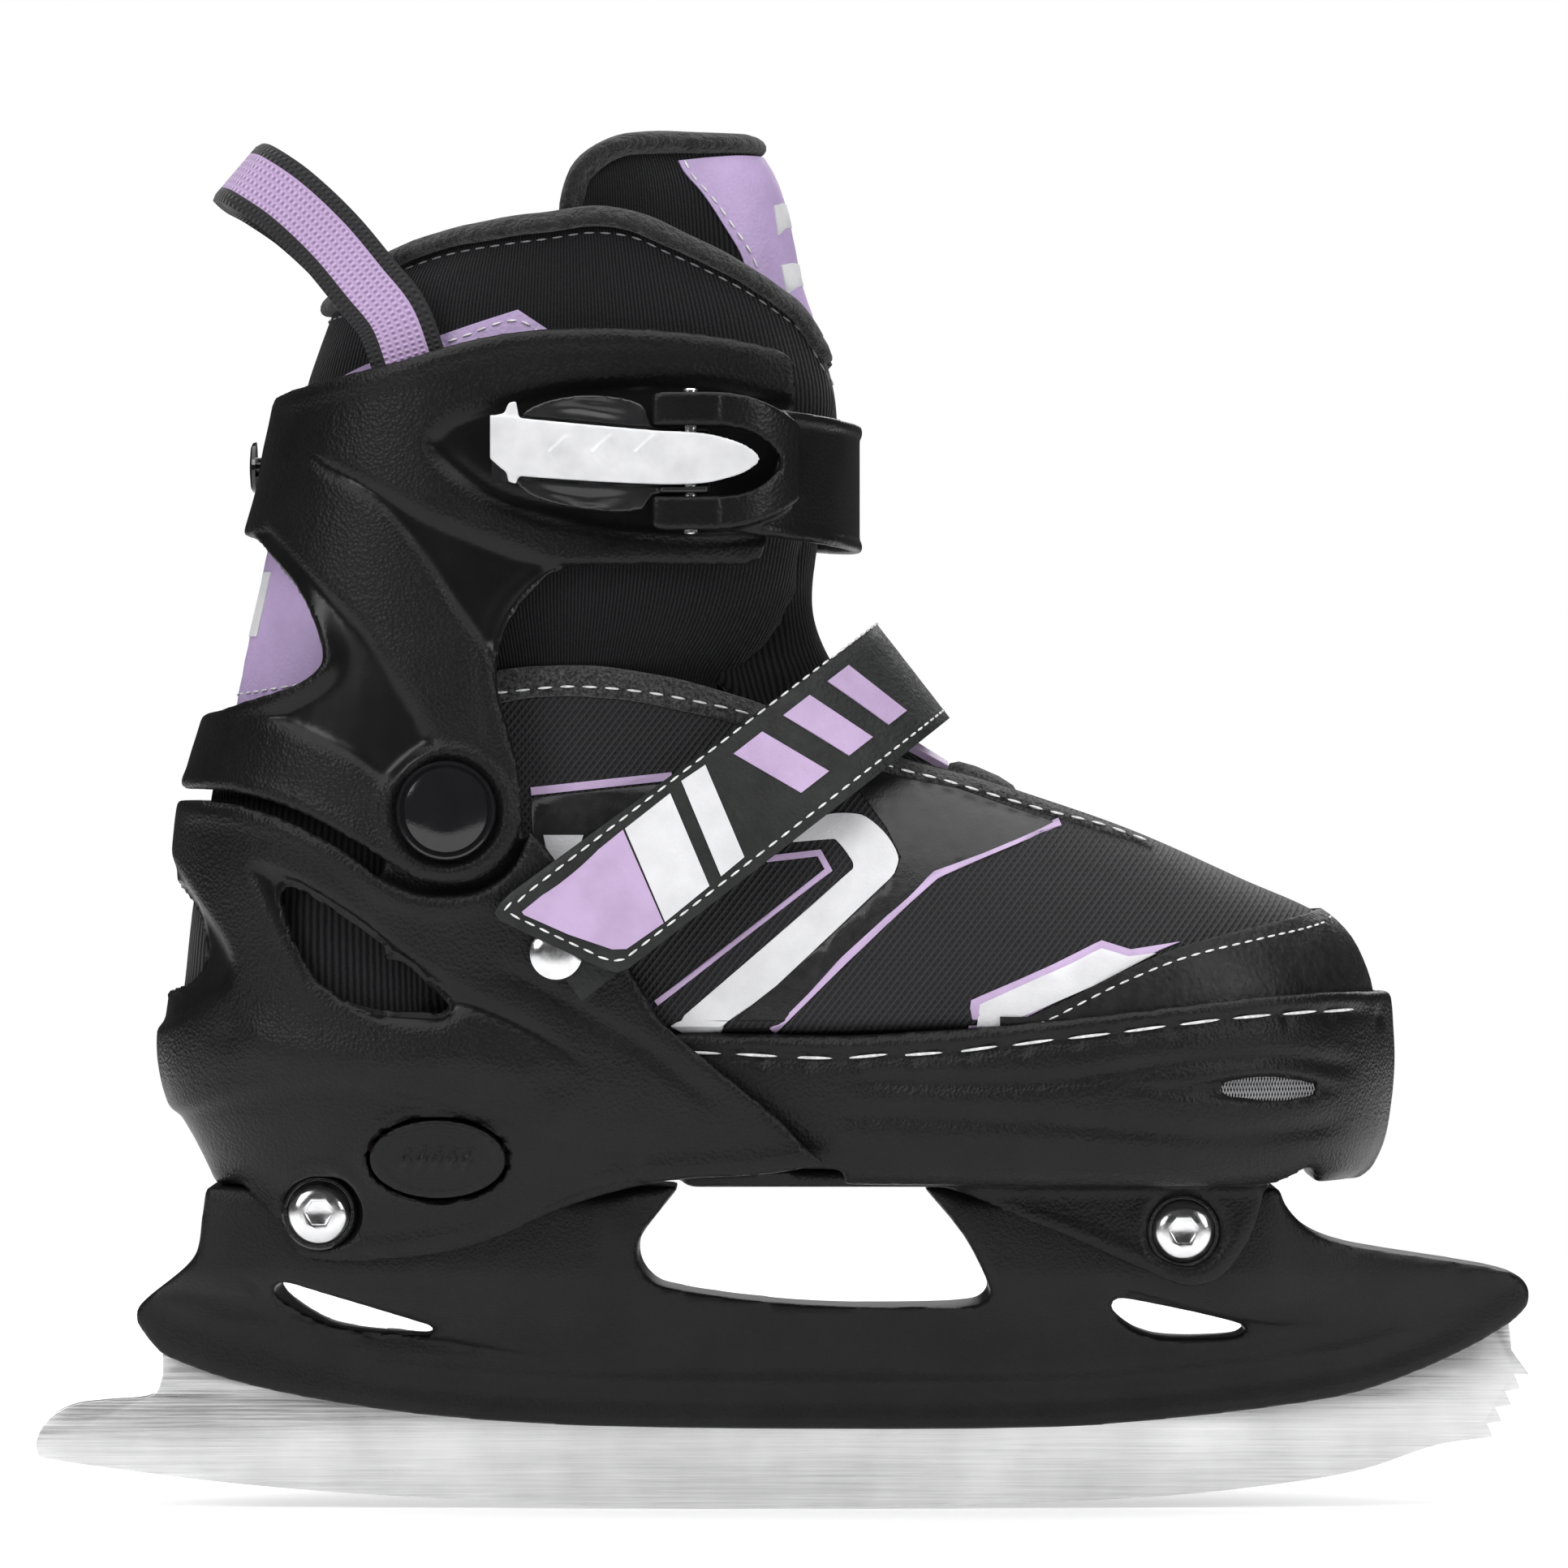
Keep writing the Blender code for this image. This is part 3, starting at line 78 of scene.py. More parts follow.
def through(points, steps=6, closed=False):
    """A smooth curve through the points."""
    pts = [Vector(p) for p in points]
    count = len(pts)

    def at(i):
        return pts[i % count] if closed else pts[max(0, min(count - 1, i))]

    def slope(i):
        run = (at(i) - at(i - 1)).length + (at(i + 1) - at(i)).length
        return (at(i + 1) - at(i - 1)) / run

    curve = []
    for i in range(count if closed else count - 1):
        a, b = at(i), at(i + 1)
        size = (b - a).length
        for k in range(steps):
            t = k / steps
            curve.append(a * (2 * t**3 - 3 * t**2 + 1) + b * (3 * t**2 - 2 * t**3)
                         + slope(i) * size * (t**3 - 2 * t**2 + t)
                         + slope(i + 1) * size * (t**3 - t**2))
    return curve if closed else curve + [pts[-1]]


def outline(*runs, steps=6):
    """A closed outline of smooth runs that meet at corners."""
    loop = []
    for run in runs:
        for point in through(run, steps) if len(run) > 2 else [Vector(p) for p in run]:
            if not loop or (point - loop[-1]).length > 1e-3:
                loop.append(point)
    if (loop[0] - loop[-1]).length < 1e-3:
        loop.pop()
    return loop


def profile(*pairs):
    """A smooth function through (position, value) pairs, which also takes arrays."""
    curve = through(pairs, 8)
    places, values = [p.x for p in curve], [p.y for p in curve]
    return lambda at: np.interp(at, places, values)


def steps_between(low, high, spacing):
    return np.linspace(low, high, max(2, round(abs(high - low) / spacing) + 1))


def soft(t):
    """A smooth step from 0 to 1."""
    t = np.clip(t, 0, 1)
    return t * t * (3 - 2 * t)


def distance_to(line, x, z, closed=False):
    """Distance of each (x, z) to a line of points."""
    best = np.full(np.shape(x), 1e9)
    ends = line[1:] + line[:1] if closed else line[1:]
    for a, b in zip(line, ends):
        along = np.array((b[0] - a[0], b[1] - a[1]))
        size = max(along @ along, 1e-9)
        t = np.clip(((x - a[0]) * along[0] + (z - a[1]) * along[1]) / size, 0, 1)
        best = np.minimum(best, np.hypot(x - a[0] - t * along[0], z - a[1] - t * along[1]))
    return best


def inside(loop, x, z):
    crossed = np.zeros(np.shape(x), bool)
    for a, b in zip(loop, loop[1:] + loop[:1]):
        if a[1] != b[1]:
            between = (a[1] > z) != (b[1] > z)
            crossed ^= between & (x < (b[0] - a[0]) * (z - a[1]) / (b[1] - a[1]) + a[0])
    return crossed


def pocket(loop, depth, edge):
    """A relief that sinks by depth inside the loop, over a sloping edge."""
    return lambda x, z: np.where(inside(loop, x, z), -depth * soft(distance_to(loop, x, z, True) / edge), 0)


def groove(line, depth, width):
    """A relief that sinks along a line, or rises where depth is negative, and fades at the line's ends."""
    start, end = line[0], line[-1]

    def height(x, z):
        fade = soft(np.minimum(np.hypot(x - start[0], z - start[1]), np.hypot(x - end[0], z - end[1])) / 8)
        return -depth * fade * np.exp(-(distance_to(line, x, z) / width) ** 2)
    return height


# ---------------------------------------------------------------- meshes

def piece(name, verts, faces, sharp=40):
    """A mesh object from millimetre points, its faces turned outwards where it is closed."""
    mesh = bpy.data.meshes.new(name)
    mesh.from_pydata((np.array(verts, float) * MM).tolist(), [], faces)
    body = bmesh.new()
    body.from_mesh(mesh)
    bmesh.ops.remove_doubles(body, verts=body.verts, dist=1e-6)
    bmesh.ops.recalc_face_normals(body, faces=body.faces)
    body.to_mesh(mesh)
    body.free()
    obj = bpy.data.objects.new(name, mesh)
    bpy.context.scene.collection.objects.link(obj)
    return shaded(obj, sharp)


def shaded(obj, sharp=40):
    obj.data.shade_smooth()
    obj.data.set_sharp_from_angle(angle=math.radians(sharp))
    return obj


def baked(obj):
    """The object with its modifiers made part of its mesh."""
    made = bpy.data.meshes.new_from_object(obj.evaluated_get(bpy.context.evaluated_depsgraph_get()))
    obj.modifiers.clear()
    obj.data = made
    return obj


def modified(obj, kind, **settings):
    modifier = obj.modifiers.new(kind, kind)
    for key, value in settings.items():
        setattr(modifier, key, value)
    return modifier


def combined(obj, operation, others):
    for other in others:
        modified(obj, "BOOLEAN", operation=operation, object=other, solver="EXACT")
        baked(obj)
        bpy.data.objects.remove(other)
    return obj


def cut(obj, *others):
    return combined(obj, "DIFFERENCE", others)


def keep(obj, other):
    return combined(obj, "INTERSECT", [other])


def join(obj, *others):
    return combined(obj, "UNION", others)


def moulded(obj, voxel, rounds=3):
    """Gives a solid the even skin and rounded edges of an injection moulding."""
    modified(obj, "REMESH", mode="VOXEL", voxel_size=voxel * MM, use_smooth_shade=True)
    modified(obj, "SMOOTH", factor=0.5, iterations=rounds)
    return shaded(baked(obj), 60)


def eased(obj, width, segments=2, angle=35):
    """Bevels the edges."""
    modified(obj, "BEVEL", width=width * MM, segments=segments, limit_method="ANGLE",
             angle_limit=math.radians(angle), use_clamp_overlap=True)
    return shaded(baked(obj), 35)


def coordinates(mesh, key="vertices"):
    values = np.empty(len(mesh.vertices) * 3, np.float32)
    if key == "vertices":
        mesh.vertices.foreach_get("co", values)
    else:
        mesh.vertex_normals.foreach_get("vector", values)
    return values.reshape(-1, 3).astype(float)


def relief(obj, *heights, heel=-66.0, grain=None):
    """Moves the outer skin in and out by the sum of the heights, given over the side view."""
    mesh = obj.data
    spots, normals = coordinates(mesh) / MM, coordinates(mesh, "normals")
    away = np.stack([np.minimum(spots[:, 0] - heel, 0), spots[:, 1]], 1)
    away /= np.maximum(np.linalg.norm(away, axis=1), 1e-6)[:, None]
    facing = soft((normals[:, 0] * away[:, 0] + normals[:, 1] * away[:, 1] - 0.1) / 0.4)
    x, z = spots[:, 0], spots[:, 2]
    height = sum(h(x, z) for h in heights) * facing
    mesh.vertices.foreach_set("co", ((spots + normals * height[:, None]) * MM).astype(np.float32).ravel())
    amount = np.ones(len(x)) if grain is None else grain(x, z)
    amount = 1 - facing + amount * facing
    mesh.attributes.new("grain", "FLOAT", "POINT").data.foreach_set("value", amount.astype(np.float32))
    mesh.update()
    modified(obj, "SMOOTH", factor=0.5, iterations=2)
    return shaded(baked(obj), 60)


def loft(name, rings, sharp=40):
    """A skin through equal rings of points, with flat ends."""
    size = len(rings[0])
    verts = [point for ring in rings for point in ring]
    faces = [[i * size + k, i * size + (k + 1) % size, (i + 1) * size + (k + 1) % size, (i + 1) * size + k]
             for i in range(len(rings) - 1) for k in range(size)]
    last = (len(rings) - 1) * size
    faces += [list(range(size))[::-1], [last + k for k in range(size)]]
    return piece(name, verts, faces, sharp)


def side_prism(name, loop, y_low, y_high):
    return loft(name, [[(p[0], y, p[1]) for p in loop] for y in (y_low, y_high)])


def plan_prism(name, loop, z_low, z_high):
    return loft(name, [[(p[0], p[1], z) for p in loop] for z in (z_low, z_high)])


def circle(centre, radius, count=48):
    return [Vector((centre[0] + radius * math.cos(math.tau * k / count),
                    centre[1] + radius * math.sin(math.tau * k / count))) for k in range(count)]


def turned(name, rings, centre, side=1, count=56):
    """A profile of (distance from the middle plane, radius), turned about an axis along Y."""
    return loft(name, [[(p.x, side * out, p.y) for p in circle(centre, radius, count)]
                       for out, radius in rings], sharp=30)


HEEL_STEPS = 30
HEEL_SQUARENESS = 0.87


def u_ring(z, x_rear, sides):
    """A plan section: a round heel, then straight sides through (x, half width) pairs to a square end."""
    start, width = sides[0]
    reach = start - x_rear
    side = [(x, -half, z) for x, half in reversed(sides)]
    arc = []
    for k in range(1, HEEL_STEPS):
        turn = math.pi * k / HEEL_STEPS
        arc.append((start - reach * math.sin(turn) ** HEEL_SQUARENESS,
                    -width * math.copysign(abs(math.cos(turn)) ** HEEL_SQUARENESS, math.cos(turn)), z))
    return side + arc + [(x, half, z) for x, half in sides]


def oval_ring(z, x_rear, x_front, half, power, count=72):
    """A plan section: a rounded box between two places along the foot."""
    middle, reach = (x_rear + x_front) / 2, (x_front - x_rear) / 2
    ring = []
    for k in range(count):
        turn = math.tau * (k + 0.5) / count
        c, s = math.cos(turn), math.sin(turn)
        ring.append((middle + reach * math.copysign(abs(c) ** (2 / power), c),
                     half * math.copysign(abs(s) ** (2 / power), s), z))
    return ring


def filled(loop, spacing):
    """Points and triangles that fill a flat loop."""
    points = [Vector(p) for p in loop]
    border = np.array([(p.x, p.y) for p in points])
    low, high = border.min(0), border.max(0)
    for i in range(int((high[0] - low[0]) / spacing) + 1):
        for k in range(int((high[1] - low[1]) / spacing) + 1):
            spot = low + ((i + 0.5 * (k % 2)) * spacing, k * spacing)
            if np.hypot(*(border - spot).T).min() > 0.6 * spacing:
                points.append(Vector(spot))
    edges = [(k, (k + 1) % len(loop)) for k in range(len(loop))]
    flat, _, faces, *_ = delaunay_2d_cdt(points, edges, [], 1, 1e-4)
    return flat, faces


def two_skins(name, flat, faces, lower, upper):
    """A closed plate between two placings of the same flat net."""
    count = len(flat)
    verts = [lower(p) for p in flat] + [upper(p) for p in flat]
    solid = [list(f) for f in faces] + [[v + count for v in reversed(f)] for f in faces]
    used = {(a, b) for f in faces for a, b in zip(f, list(f[1:]) + [f[0]])}
    solid += [[b, a, a + count, b + count] for a, b in used if (b, a) not in used]
    return piece(name, verts, solid, 40)


def plated(name, loop, half_width, spacing):
    """A plate in the middle plane whose thickness varies over its side view."""
    flat, faces = filled(loop, spacing)
    return two_skins(name, flat, faces, lambda p: (p.x, -half_width(p.x, p.y), p.y),
                     lambda p: (p.x, half_width(p.x, p.y), p.y))


def swept(name, spots, normals, shape):
    """A closed section, given as (along the surface, out of it) points, swept along spots."""
    rings = []
    pts = [Vector(s) for s in spots]
    for i, spot in enumerate(pts):
        along = (pts[min(i + 1, len(pts) - 1)] - pts[max(i - 1, 0)]).normalized()
        out = Vector(normals[i])
        out = (out - along * out.dot(along)).normalized()
        across = along.cross(out)
        section = shape(i / (len(pts) - 1)) if callable(shape) else shape
        rings.append([spot + across * a + out * b for a, b in section])
    return loft(name, rings, sharp=50)


def oval(half_width, half_height, count=14):
    return [(half_width * math.cos(math.tau * k / count), half_height * math.sin(math.tau * k / count))
            for k in range(count)]


class Skin:
    """The finished surface of a piece, for laying films, trims and seams on it."""

    def __init__(self, obj):
        graph = bpy.context.evaluated_depsgraph_get()
        self.tree = BVHTree.FromObject(obj, graph)

    def beside(self, x, z, side=OUTER, lift=0.0):
        """(place, normal) of the surface seen from one side at (x, z)."""
        hit, normal, _, _ = self.tree.ray_cast(Vector((x, side * 200, z)) * MM, Vector((0, -side, 0)))
        if hit is None:
            hit, normal, _, _ = self.tree.find_nearest(Vector((x, side * 45, z)) * MM)
        if normal.y * side < 0:
            normal = -normal
        return hit / MM + normal * lift, normal

    def above(self, x, y, lift=0.0):
        hit, normal, _, _ = self.tree.ray_cast(Vector((x, y, 400)) * MM, Vector((0, 0, -1)))
        if hit is None:
            hit, normal, _, _ = self.tree.find_nearest(Vector((x, y, 160)) * MM)
        return hit / MM + normal * lift, normal

    def around(self, centre, direction, z, lift=0.0):
        """The surface met from outside at height z, along a plan direction towards a centre."""
        way = Vector((math.cos(direction), math.sin(direction), 0))
        start = Vector((centre[0], centre[1], z)) + way * 150
        hit, normal, _, _ = self.tree.ray_cast(start * MM, -way)
        if hit is None:
            hit, normal, _, _ = self.tree.find_nearest(start * MM)
        return hit / MM + normal * lift, normal


def film(name, loop, place, thickness=0.3, sunk=0.15, spacing=2.2):
    """A thin layer laid on a surface: place(u, v) gives the surface's point and normal there."""
    flat, faces = filled(loop, spacing)
    spots = [place(p.x, p.y) for p in flat]
    index = {(p.x, p.y): k for k, p in enumerate(flat)}

    def layer(rise):
        return lambda p: spots[index[(p.x, p.y)]][0] + spots[index[(p.x, p.y)]][1] * rise
    return two_skins(name, flat, faces, layer(-sunk), layer(thickness))


def band(line, width):
    """The outline of a stripe of a width along a line."""
    pts = [Vector(p) for p in line]
    left, right = [], []
    for i, spot in enumerate(pts):
        before = (spot - pts[i - 1]).normalized() if i else None
        after = (pts[i + 1] - spot).normalized() if i < len(pts) - 1 else None
        along = ((before or after) + (after or before)).normalized()
        reach = width / 2 / max(0.4, along.dot(after or before))
        across = Vector((-along.y, along.x)) * reach
        left.append(spot + across)
        right.append(spot - across)
    return left + right[::-1]


# ---------------------------------------------------------------- finishes

class Finish:
    """A material whose look comes from patterns in the object's own space."""

    def __init__(self, name, colour, roughness, metallic=0.0, **sockets):
        self.made = bpy.data.materials.new(name)
        self.made.use_nodes = True
        self.made.diffuse_color = (*colour, 1)
        self.tree = self.made.node_tree
        self.shader = self.tree.nodes["Principled BSDF"]
        self.colour = colour
        self.roughness = roughness
        for key, value in {"Base Color": (*colour, 1), "Roughness": roughness, "Metallic": metallic,
                           **{k.replace("_", " "): v for k, v in sockets.items()}}.items():
            self.shader.inputs[key].default_value = value
        self.place = self.node("ShaderNodeTexCoord").outputs["Object"]
        self.bump = None

    def node(self, kind, links=None, **settings):
        made = self.tree.nodes.new(kind)
        for key, value in settings.items():
            if hasattr(made, key):
                setattr(made, key, value)
            else:
                made.inputs[key.replace("_", " ")].default_value = value
        for key, source in (links or {}).items():
            self.tree.links.new(source, made.inputs[key])
        return made

    def turned_place(self, turn=(0, 0, 0), scale=(1, 1, 1)):
        mapping = self.node("ShaderNodeMapping", {"Vector": self.place})
        mapping.inputs["Rotation"].default_value = [math.radians(a) for a in turn]
        mapping.inputs["Scale"].default_value = scale
        return mapping.outputs["Vector"]

    def noise(self, size, place=None, detail=3.0, rough=0.55):
        return self.node("ShaderNodeTexNoise", {"Vector": place or self.place}, Scale=1000 / size,
                         Detail=detail, Roughness=rough).outputs["Fac"]

    def cells(self, size, feature="F1"):
        return self.node("ShaderNodeTexVoronoi", {"Vector": self.place}, feature=feature,
                         Scale=1000 / size).outputs["Distance"]

    def bands(self, pitch, place, direction, distortion):
        """Level waves across one direction, with a pitch in millimetres."""
        return self.node("ShaderNodeTexWave", {"Vector": place}, bands_direction=direction,
                         wave_profile="SIN", Scale=math.tau / 20 * 1000 / pitch, Distortion=distortion,
                         Detail=0.0).outputs["Fac"]

    def attribute(self, name):
        return self.node("ShaderNodeAttribute", attribute_name=name).outputs["Fac"]

    def math(self, operation, a, b=None):
        node = self.node("ShaderNodeMath", operation=operation)
        for socket, value in zip(node.inputs, (a, b)):
            if isinstance(value, (int, float)):
                socket.default_value = value
            elif value is not None:
                self.tree.links.new(value, socket)
        return node.outputs[0]

    def ramp(self, value, *stops):
        """Colours or levels along a value, from (position, colour) stops."""
        node = self.node("ShaderNodeValToRGB", {"Fac": value})
        elements = node.color_ramp.elements
        while len(elements) < len(stops):
            elements.new(0.5)
        for element, (at, level) in zip(elements, stops):
            element.position = at
            element.color = (*level, 1) if isinstance(level, tuple) else (level, level, level, 1)
        return node.outputs["Color"]

    def colour_by(self, value, *stops):
        self.tree.links.new(self.ramp(value, *stops), self.shader.inputs["Base Color"])
        return self

    def shades(self, value, low, high, start=0.3, end=0.7):
        """The colour, darker and lighter by these shares along a value."""
        return self.colour_by(value, (start, tuple(c * low for c in self.colour)),
                              (end, tuple(min(1.0, c * high) for c in self.colour)))

    def rough_by(self, value, low, high, start=0.3, end=0.7):
        self.tree.links.new(self.ramp(value, (start, low), (end, high)), self.shader.inputs["Roughness"])
        return self

    def raised_by(self, value, height, strength=None):
        """Adds a bump of this height in millimetres."""
        bump = self.node("ShaderNodeBump", {"Height": value}, Distance=height * MM)
        if strength is not None:
            self.tree.links.new(strength, bump.inputs["Strength"])
        if self.bump:
            self.tree.links.new(self.bump, bump.inputs["Normal"])
        self.bump = bump.outputs["Normal"]
        self.tree.links.new(self.bump, self.shader.inputs["Normal"])
        return self


def shell_finish(name, colour, low, high, size=0.75, height=0.12):
    """Black moulded plastic with a leather-like grain where the grain attribute is up."""
    made = Finish(name, colour, (low + high) / 2, Specular_IOR_Level=0.2)
    grain = made.attribute("grain")
    made.raised_by(made.cells(size), height, grain)
    made.raised_by(made.noise(size * 0.45), height * 0.5, grain)
    made.raised_by(made.noise(45.0, detail=1.0), 0.5)
    made.rough_by(made.math("ADD", made.math("MULTIPLY", grain, 0.55), made.math(
        "MULTIPLY", made.noise(6.0), 0.4)), low, high, 0.1, 0.9)
    made.shades(made.noise(14.0), 0.8, 1.25)
    return made.made


def plain_plastic(name, colour, roughness, wear=0.06):
    made = Finish(name, colour, roughness, Specular_IOR_Level=0.5)
    made.rough_by(made.noise(4.0, detail=5.0), max(0.03, roughness - wear), roughness + wear)
    made.shades(made.noise(9.0), 0.88, 1.12)
    made.raised_by(made.noise(0.5), 0.015)
    return made.made


def polished_metal(name, colour, roughness):
    made = Finish(name, colour, roughness, 1.0)
    made.rough_by(made.noise(1.6, detail=6.0), roughness * 0.6, roughness * 1.7)
    made.shades(made.noise(5.0), 0.85, 1.05)
    made.raised_by(made.noise(0.35, made.turned_place(scale=(1, 1, 8))), 0.008)
    return made.made


def blade_finish():
    made = Finish("brushed_steel", (0.68, 0.68, 0.685), 0.36, 1.0)
    grain = made.noise(0.42, made.turned_place(scale=(0.012, 1, 1)), 6.0, 0.7)
    made.rough_by(grain, 0.24, 0.46)
    made.shades(made.math("ADD", made.math("MULTIPLY", grain, 0.6), made.math(
        "MULTIPLY", made.noise(26.0), 0.4)), 0.72, 1.2, 0.35, 0.65)
    made.raised_by(grain, 0.02)
    return made.made


def film_finish(name, colour, roughness=0.42, grain=0.55, height=0.05):
    """Printed or laminated synthetic leather."""
    made = Finish(name, colour, roughness, Specular_IOR_Level=0.4)
    made.raised_by(made.cells(grain), height)
    made.raised_by(made.noise(8.0), 0.25)
    made.rough_by(made.noise(3.0), roughness - 0.06, roughness + 0.1)
    made.shades(made.noise(10.0), 0.9, 1.08)
    return made.made


def leather_finish(name, colour, roughness, size=1.1, height=0.16):
    made = Finish(name, colour, roughness, Specular_IOR_Level=0.26)
    made.raised_by(made.cells(size, feature="SMOOTH_F1"), height)
    made.raised_by(made.noise(0.35), height * 0.35)
    made.raised_by(made.noise(16.0), 0.6)
    made.rough_by(made.noise(2.2, detail=6.0), roughness - 0.1, roughness + 0.14)
    made.shades(made.noise(7.0), 0.75, 1.3)
    return made.made


LEG_AXIS_X = 0.045        # metres back to the axis that the ribs run round
RIBS_ROUND = 320


def rib_knit_finish():
    """Knitted lining cloth with fine upright ribs."""
    made = Finish("rib_knit", (0.01, 0.01, 0.011), 0.85, Sheen_Weight=0.12, Sheen_Roughness=0.4,
                  Specular_IOR_Level=0.12)
    axes = made.node("ShaderNodeSeparateXYZ", {"Vector": made.place}).outputs
    round_leg = made.math("ARCTAN2", axes["Y"], made.math("ADD", axes["X"], LEG_AXIS_X))
    phase = made.math("ADD", made.math("MULTIPLY", round_leg, RIBS_ROUND), made.math("MULTIPLY", made.noise(2.5), 1.5))
    ribs = made.math("ADD", made.math("MULTIPLY", made.math("SINE", phase), 0.5), 0.5)
    loops = made.noise(0.5)
    made.raised_by(ribs, 0.2)
    made.raised_by(loops, 0.18)
    made.colour_by(made.math("ADD", made.math("MULTIPLY", ribs, 0.7), made.math("MULTIPLY", loops, 0.4)),
                   (0.25, (0.003, 0.003, 0.0035)), (0.85, (0.016, 0.016, 0.0175)))
    return made.made


def mesh_cloth_finish():
    """Woven upper cloth: two crossing sets of slanted ribs."""
    made = Finish("mesh_cloth", (0.012, 0.012, 0.014), 0.7, Sheen_Weight=0.12, Sheen_Roughness=0.4,
                  Specular_IOR_Level=0.3)
    up = made.bands(1.15, made.turned_place((0, 38, 0)), "X", distortion=0.35)
    down = made.bands(1.15, made.turned_place((0, -38, 0)), "X", distortion=0.35)
    weave = made.math("MAXIMUM", made.math("MULTIPLY", up, 0.5), down)
    made.raised_by(weave, 0.32)
    made.raised_by(made.noise(0.3), 0.06)
    made.raised_by(made.noise(14.0), 0.5)
    made.colour_by(weave, (0.3, (0.004, 0.004, 0.005)), (0.95, (0.021, 0.021, 0.023)))
    return made.made


def pile_finish(name, dark, light, size=0.55, height=0.6):
    """Fleece binding: short fibres, dark with pale flecks."""
    made = Finish(name, dark, 0.95, Sheen_Weight=0.3, Sheen_Roughness=0.5, Specular_IOR_Level=0.15)
    fibre = made.noise(size, detail=6.0, rough=0.7)
    tuft = made.noise(size * 3.2, detail=3.0)
    made.raised_by(fibre, height)
    made.raised_by(tuft, height * 1.5)
    made.colour_by(fibre, (0.42, dark), (0.62, tuple((a + b) / 2 for a, b in zip(dark, light))), (0.74, light))
    return made.made


def webbing_finish():
    """Lilac webbing with black selvedges, by the across attribute from -1 to 1, ribbed along its run."""
    made = Finish("lilac_webbing", (0.40, 0.28, 0.47), 0.75, Sheen_Weight=0.2, Specular_IOR_Level=0.25)
    across, run = made.attribute("across"), made.attribute("run")
    rib = made.math("SINE", made.math("MULTIPLY", run, math.tau / 1.15))
    yarn = made.math("SINE", made.math("MULTIPLY", across, math.tau * 5))
    weave = made.math("ADD", made.math("MULTIPLY", made.math("MULTIPLY", rib, yarn), 0.25), made.math(
        "ADD", made.math("MULTIPLY", rib, 0.2), 0.5))
    made.raised_by(weave, 0.4)
    lilac = made.ramp(weave, (0.2, (0.25, 0.17, 0.31)), (0.75, (0.52, 0.38, 0.6)))
    black = made.ramp(weave, (0.2, (0.004, 0.004, 0.005)), (0.8, (0.02, 0.02, 0.022)))
    edge = made.math("GREATER_THAN", made.math("ABSOLUTE", across), 0.6)
    mix = made.node("ShaderNodeMix", data_type="RGBA")
    made.tree.links.new(edge, mix.inputs[0])
    made.tree.links.new(lilac, mix.inputs[6])
    made.tree.links.new(black, mix.inputs[7])
    made.tree.links.new(mix.outputs[2], made.shader.inputs["Base Color"])
    return made.made


def foam_finish(name, colour):
    made = Finish(name, colour, 0.92, Specular_IOR_Level=0.2)
    made.raised_by(made.noise(0.9, detail=5.0), 0.3)
    made.shades(made.noise(1.2), 0.7, 1.2)
    return made.made


SHELL = shell_finish("moulded_shell", (0.0055, 0.0055, 0.006), 0.24, 0.42)
HOLDER = shell_finish("holder_shell", (0.007, 0.007, 0.0075), 0.3, 0.46, 0.6, 0.08)
SATIN = plain_plastic("satin_black", (0.012, 0.012, 0.013), 0.33)
GLOSS = plain_plastic("glossy_black", (0.008, 0.008, 0.009), 0.10, 0.04)
STEEL = blade_finish()
CHROME = polished_metal("bright_chrome", (0.72, 0.72, 0.73), 0.16)
ALUMINIUM = polished_metal("turned_aluminium", (0.6, 0.6, 0.6), 0.4)
WHITE_PLASTIC = plain_plastic("white_trigger_plastic", (0.6, 0.6, 0.615), 0.22, 0.05)
LILAC = film_finish("lilac_film", (0.45, 0.335, 0.52))
LILAC_PATCH = film_finish("lilac_patch", (0.40, 0.30, 0.50), 0.5, 0.8, 0.09)
WHITE_FILM = film_finish("white_film", (0.62, 0.62, 0.64), 0.45)
BLACK_FILM = film_finish("black_film", (0.011, 0.011, 0.012), 0.34, 0.5, 0.03)
RAND = leather_finish("rand_leather", (0.0095, 0.0095, 0.01), 0.42)
STRAP_SKIN = leather_finish("strap_leather", (0.014, 0.0155, 0.0145), 0.52, 0.8, 0.12)
KNIT = rib_knit_finish()
CLOTH = mesh_cloth_finish()
PILE = pile_finish("fleck_pile", (0.005, 0.005, 0.0055), (0.15, 0.15, 0.155), 0.7)
FLEECE = pile_finish("dark_fleece", (0.004, 0.004, 0.0045), (0.022, 0.022, 0.024), 0.8, 0.8)
WEBBING = webbing_finish()
THREAD = foam_finish("white_thread", (0.72, 0.72, 0.72))
GREY_THREAD = foam_finish("grey_thread", (0.22, 0.22, 0.23))
FOAM = foam_finish("grey_foam", (0.2, 0.2, 0.2))
BOARD = foam_finish("board_fibre", (0.25, 0.22, 0.18))
VENT_WIRE = plain_plastic("vent_wire", (0.35, 0.35, 0.36), 0.45)

NODE_FINISHES = {
    "front_bush": ALUMINIUM, "rear_bush": ALUMINIUM, "front_nut": CHROME, "rear_nut": CHROME,
    "trigger_spring": CHROME, "adjuster_rail": SATIN, "heel_pad": FOAM,
    "insole": FOAM, "footbed_board": BOARD, "buckle_catch": SATIN, "catch_rivet": CHROME,
    "trigger_pin": CHROME, "lever_pin": CHROME, "strap_landing": STRAP_SKIN,
    "pivot_rivet_lateral": CHROME, "pivot_rivet_medial": CHROME,
}


def dress(obj, finish, body, *nodes):
    """Gives a finished piece its material, its body and the nodes it stands for."""
    obj.data.materials.clear()
    obj.data.materials.append(finish)
    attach(obj, body)
    if nodes:
        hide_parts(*nodes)
    return obj


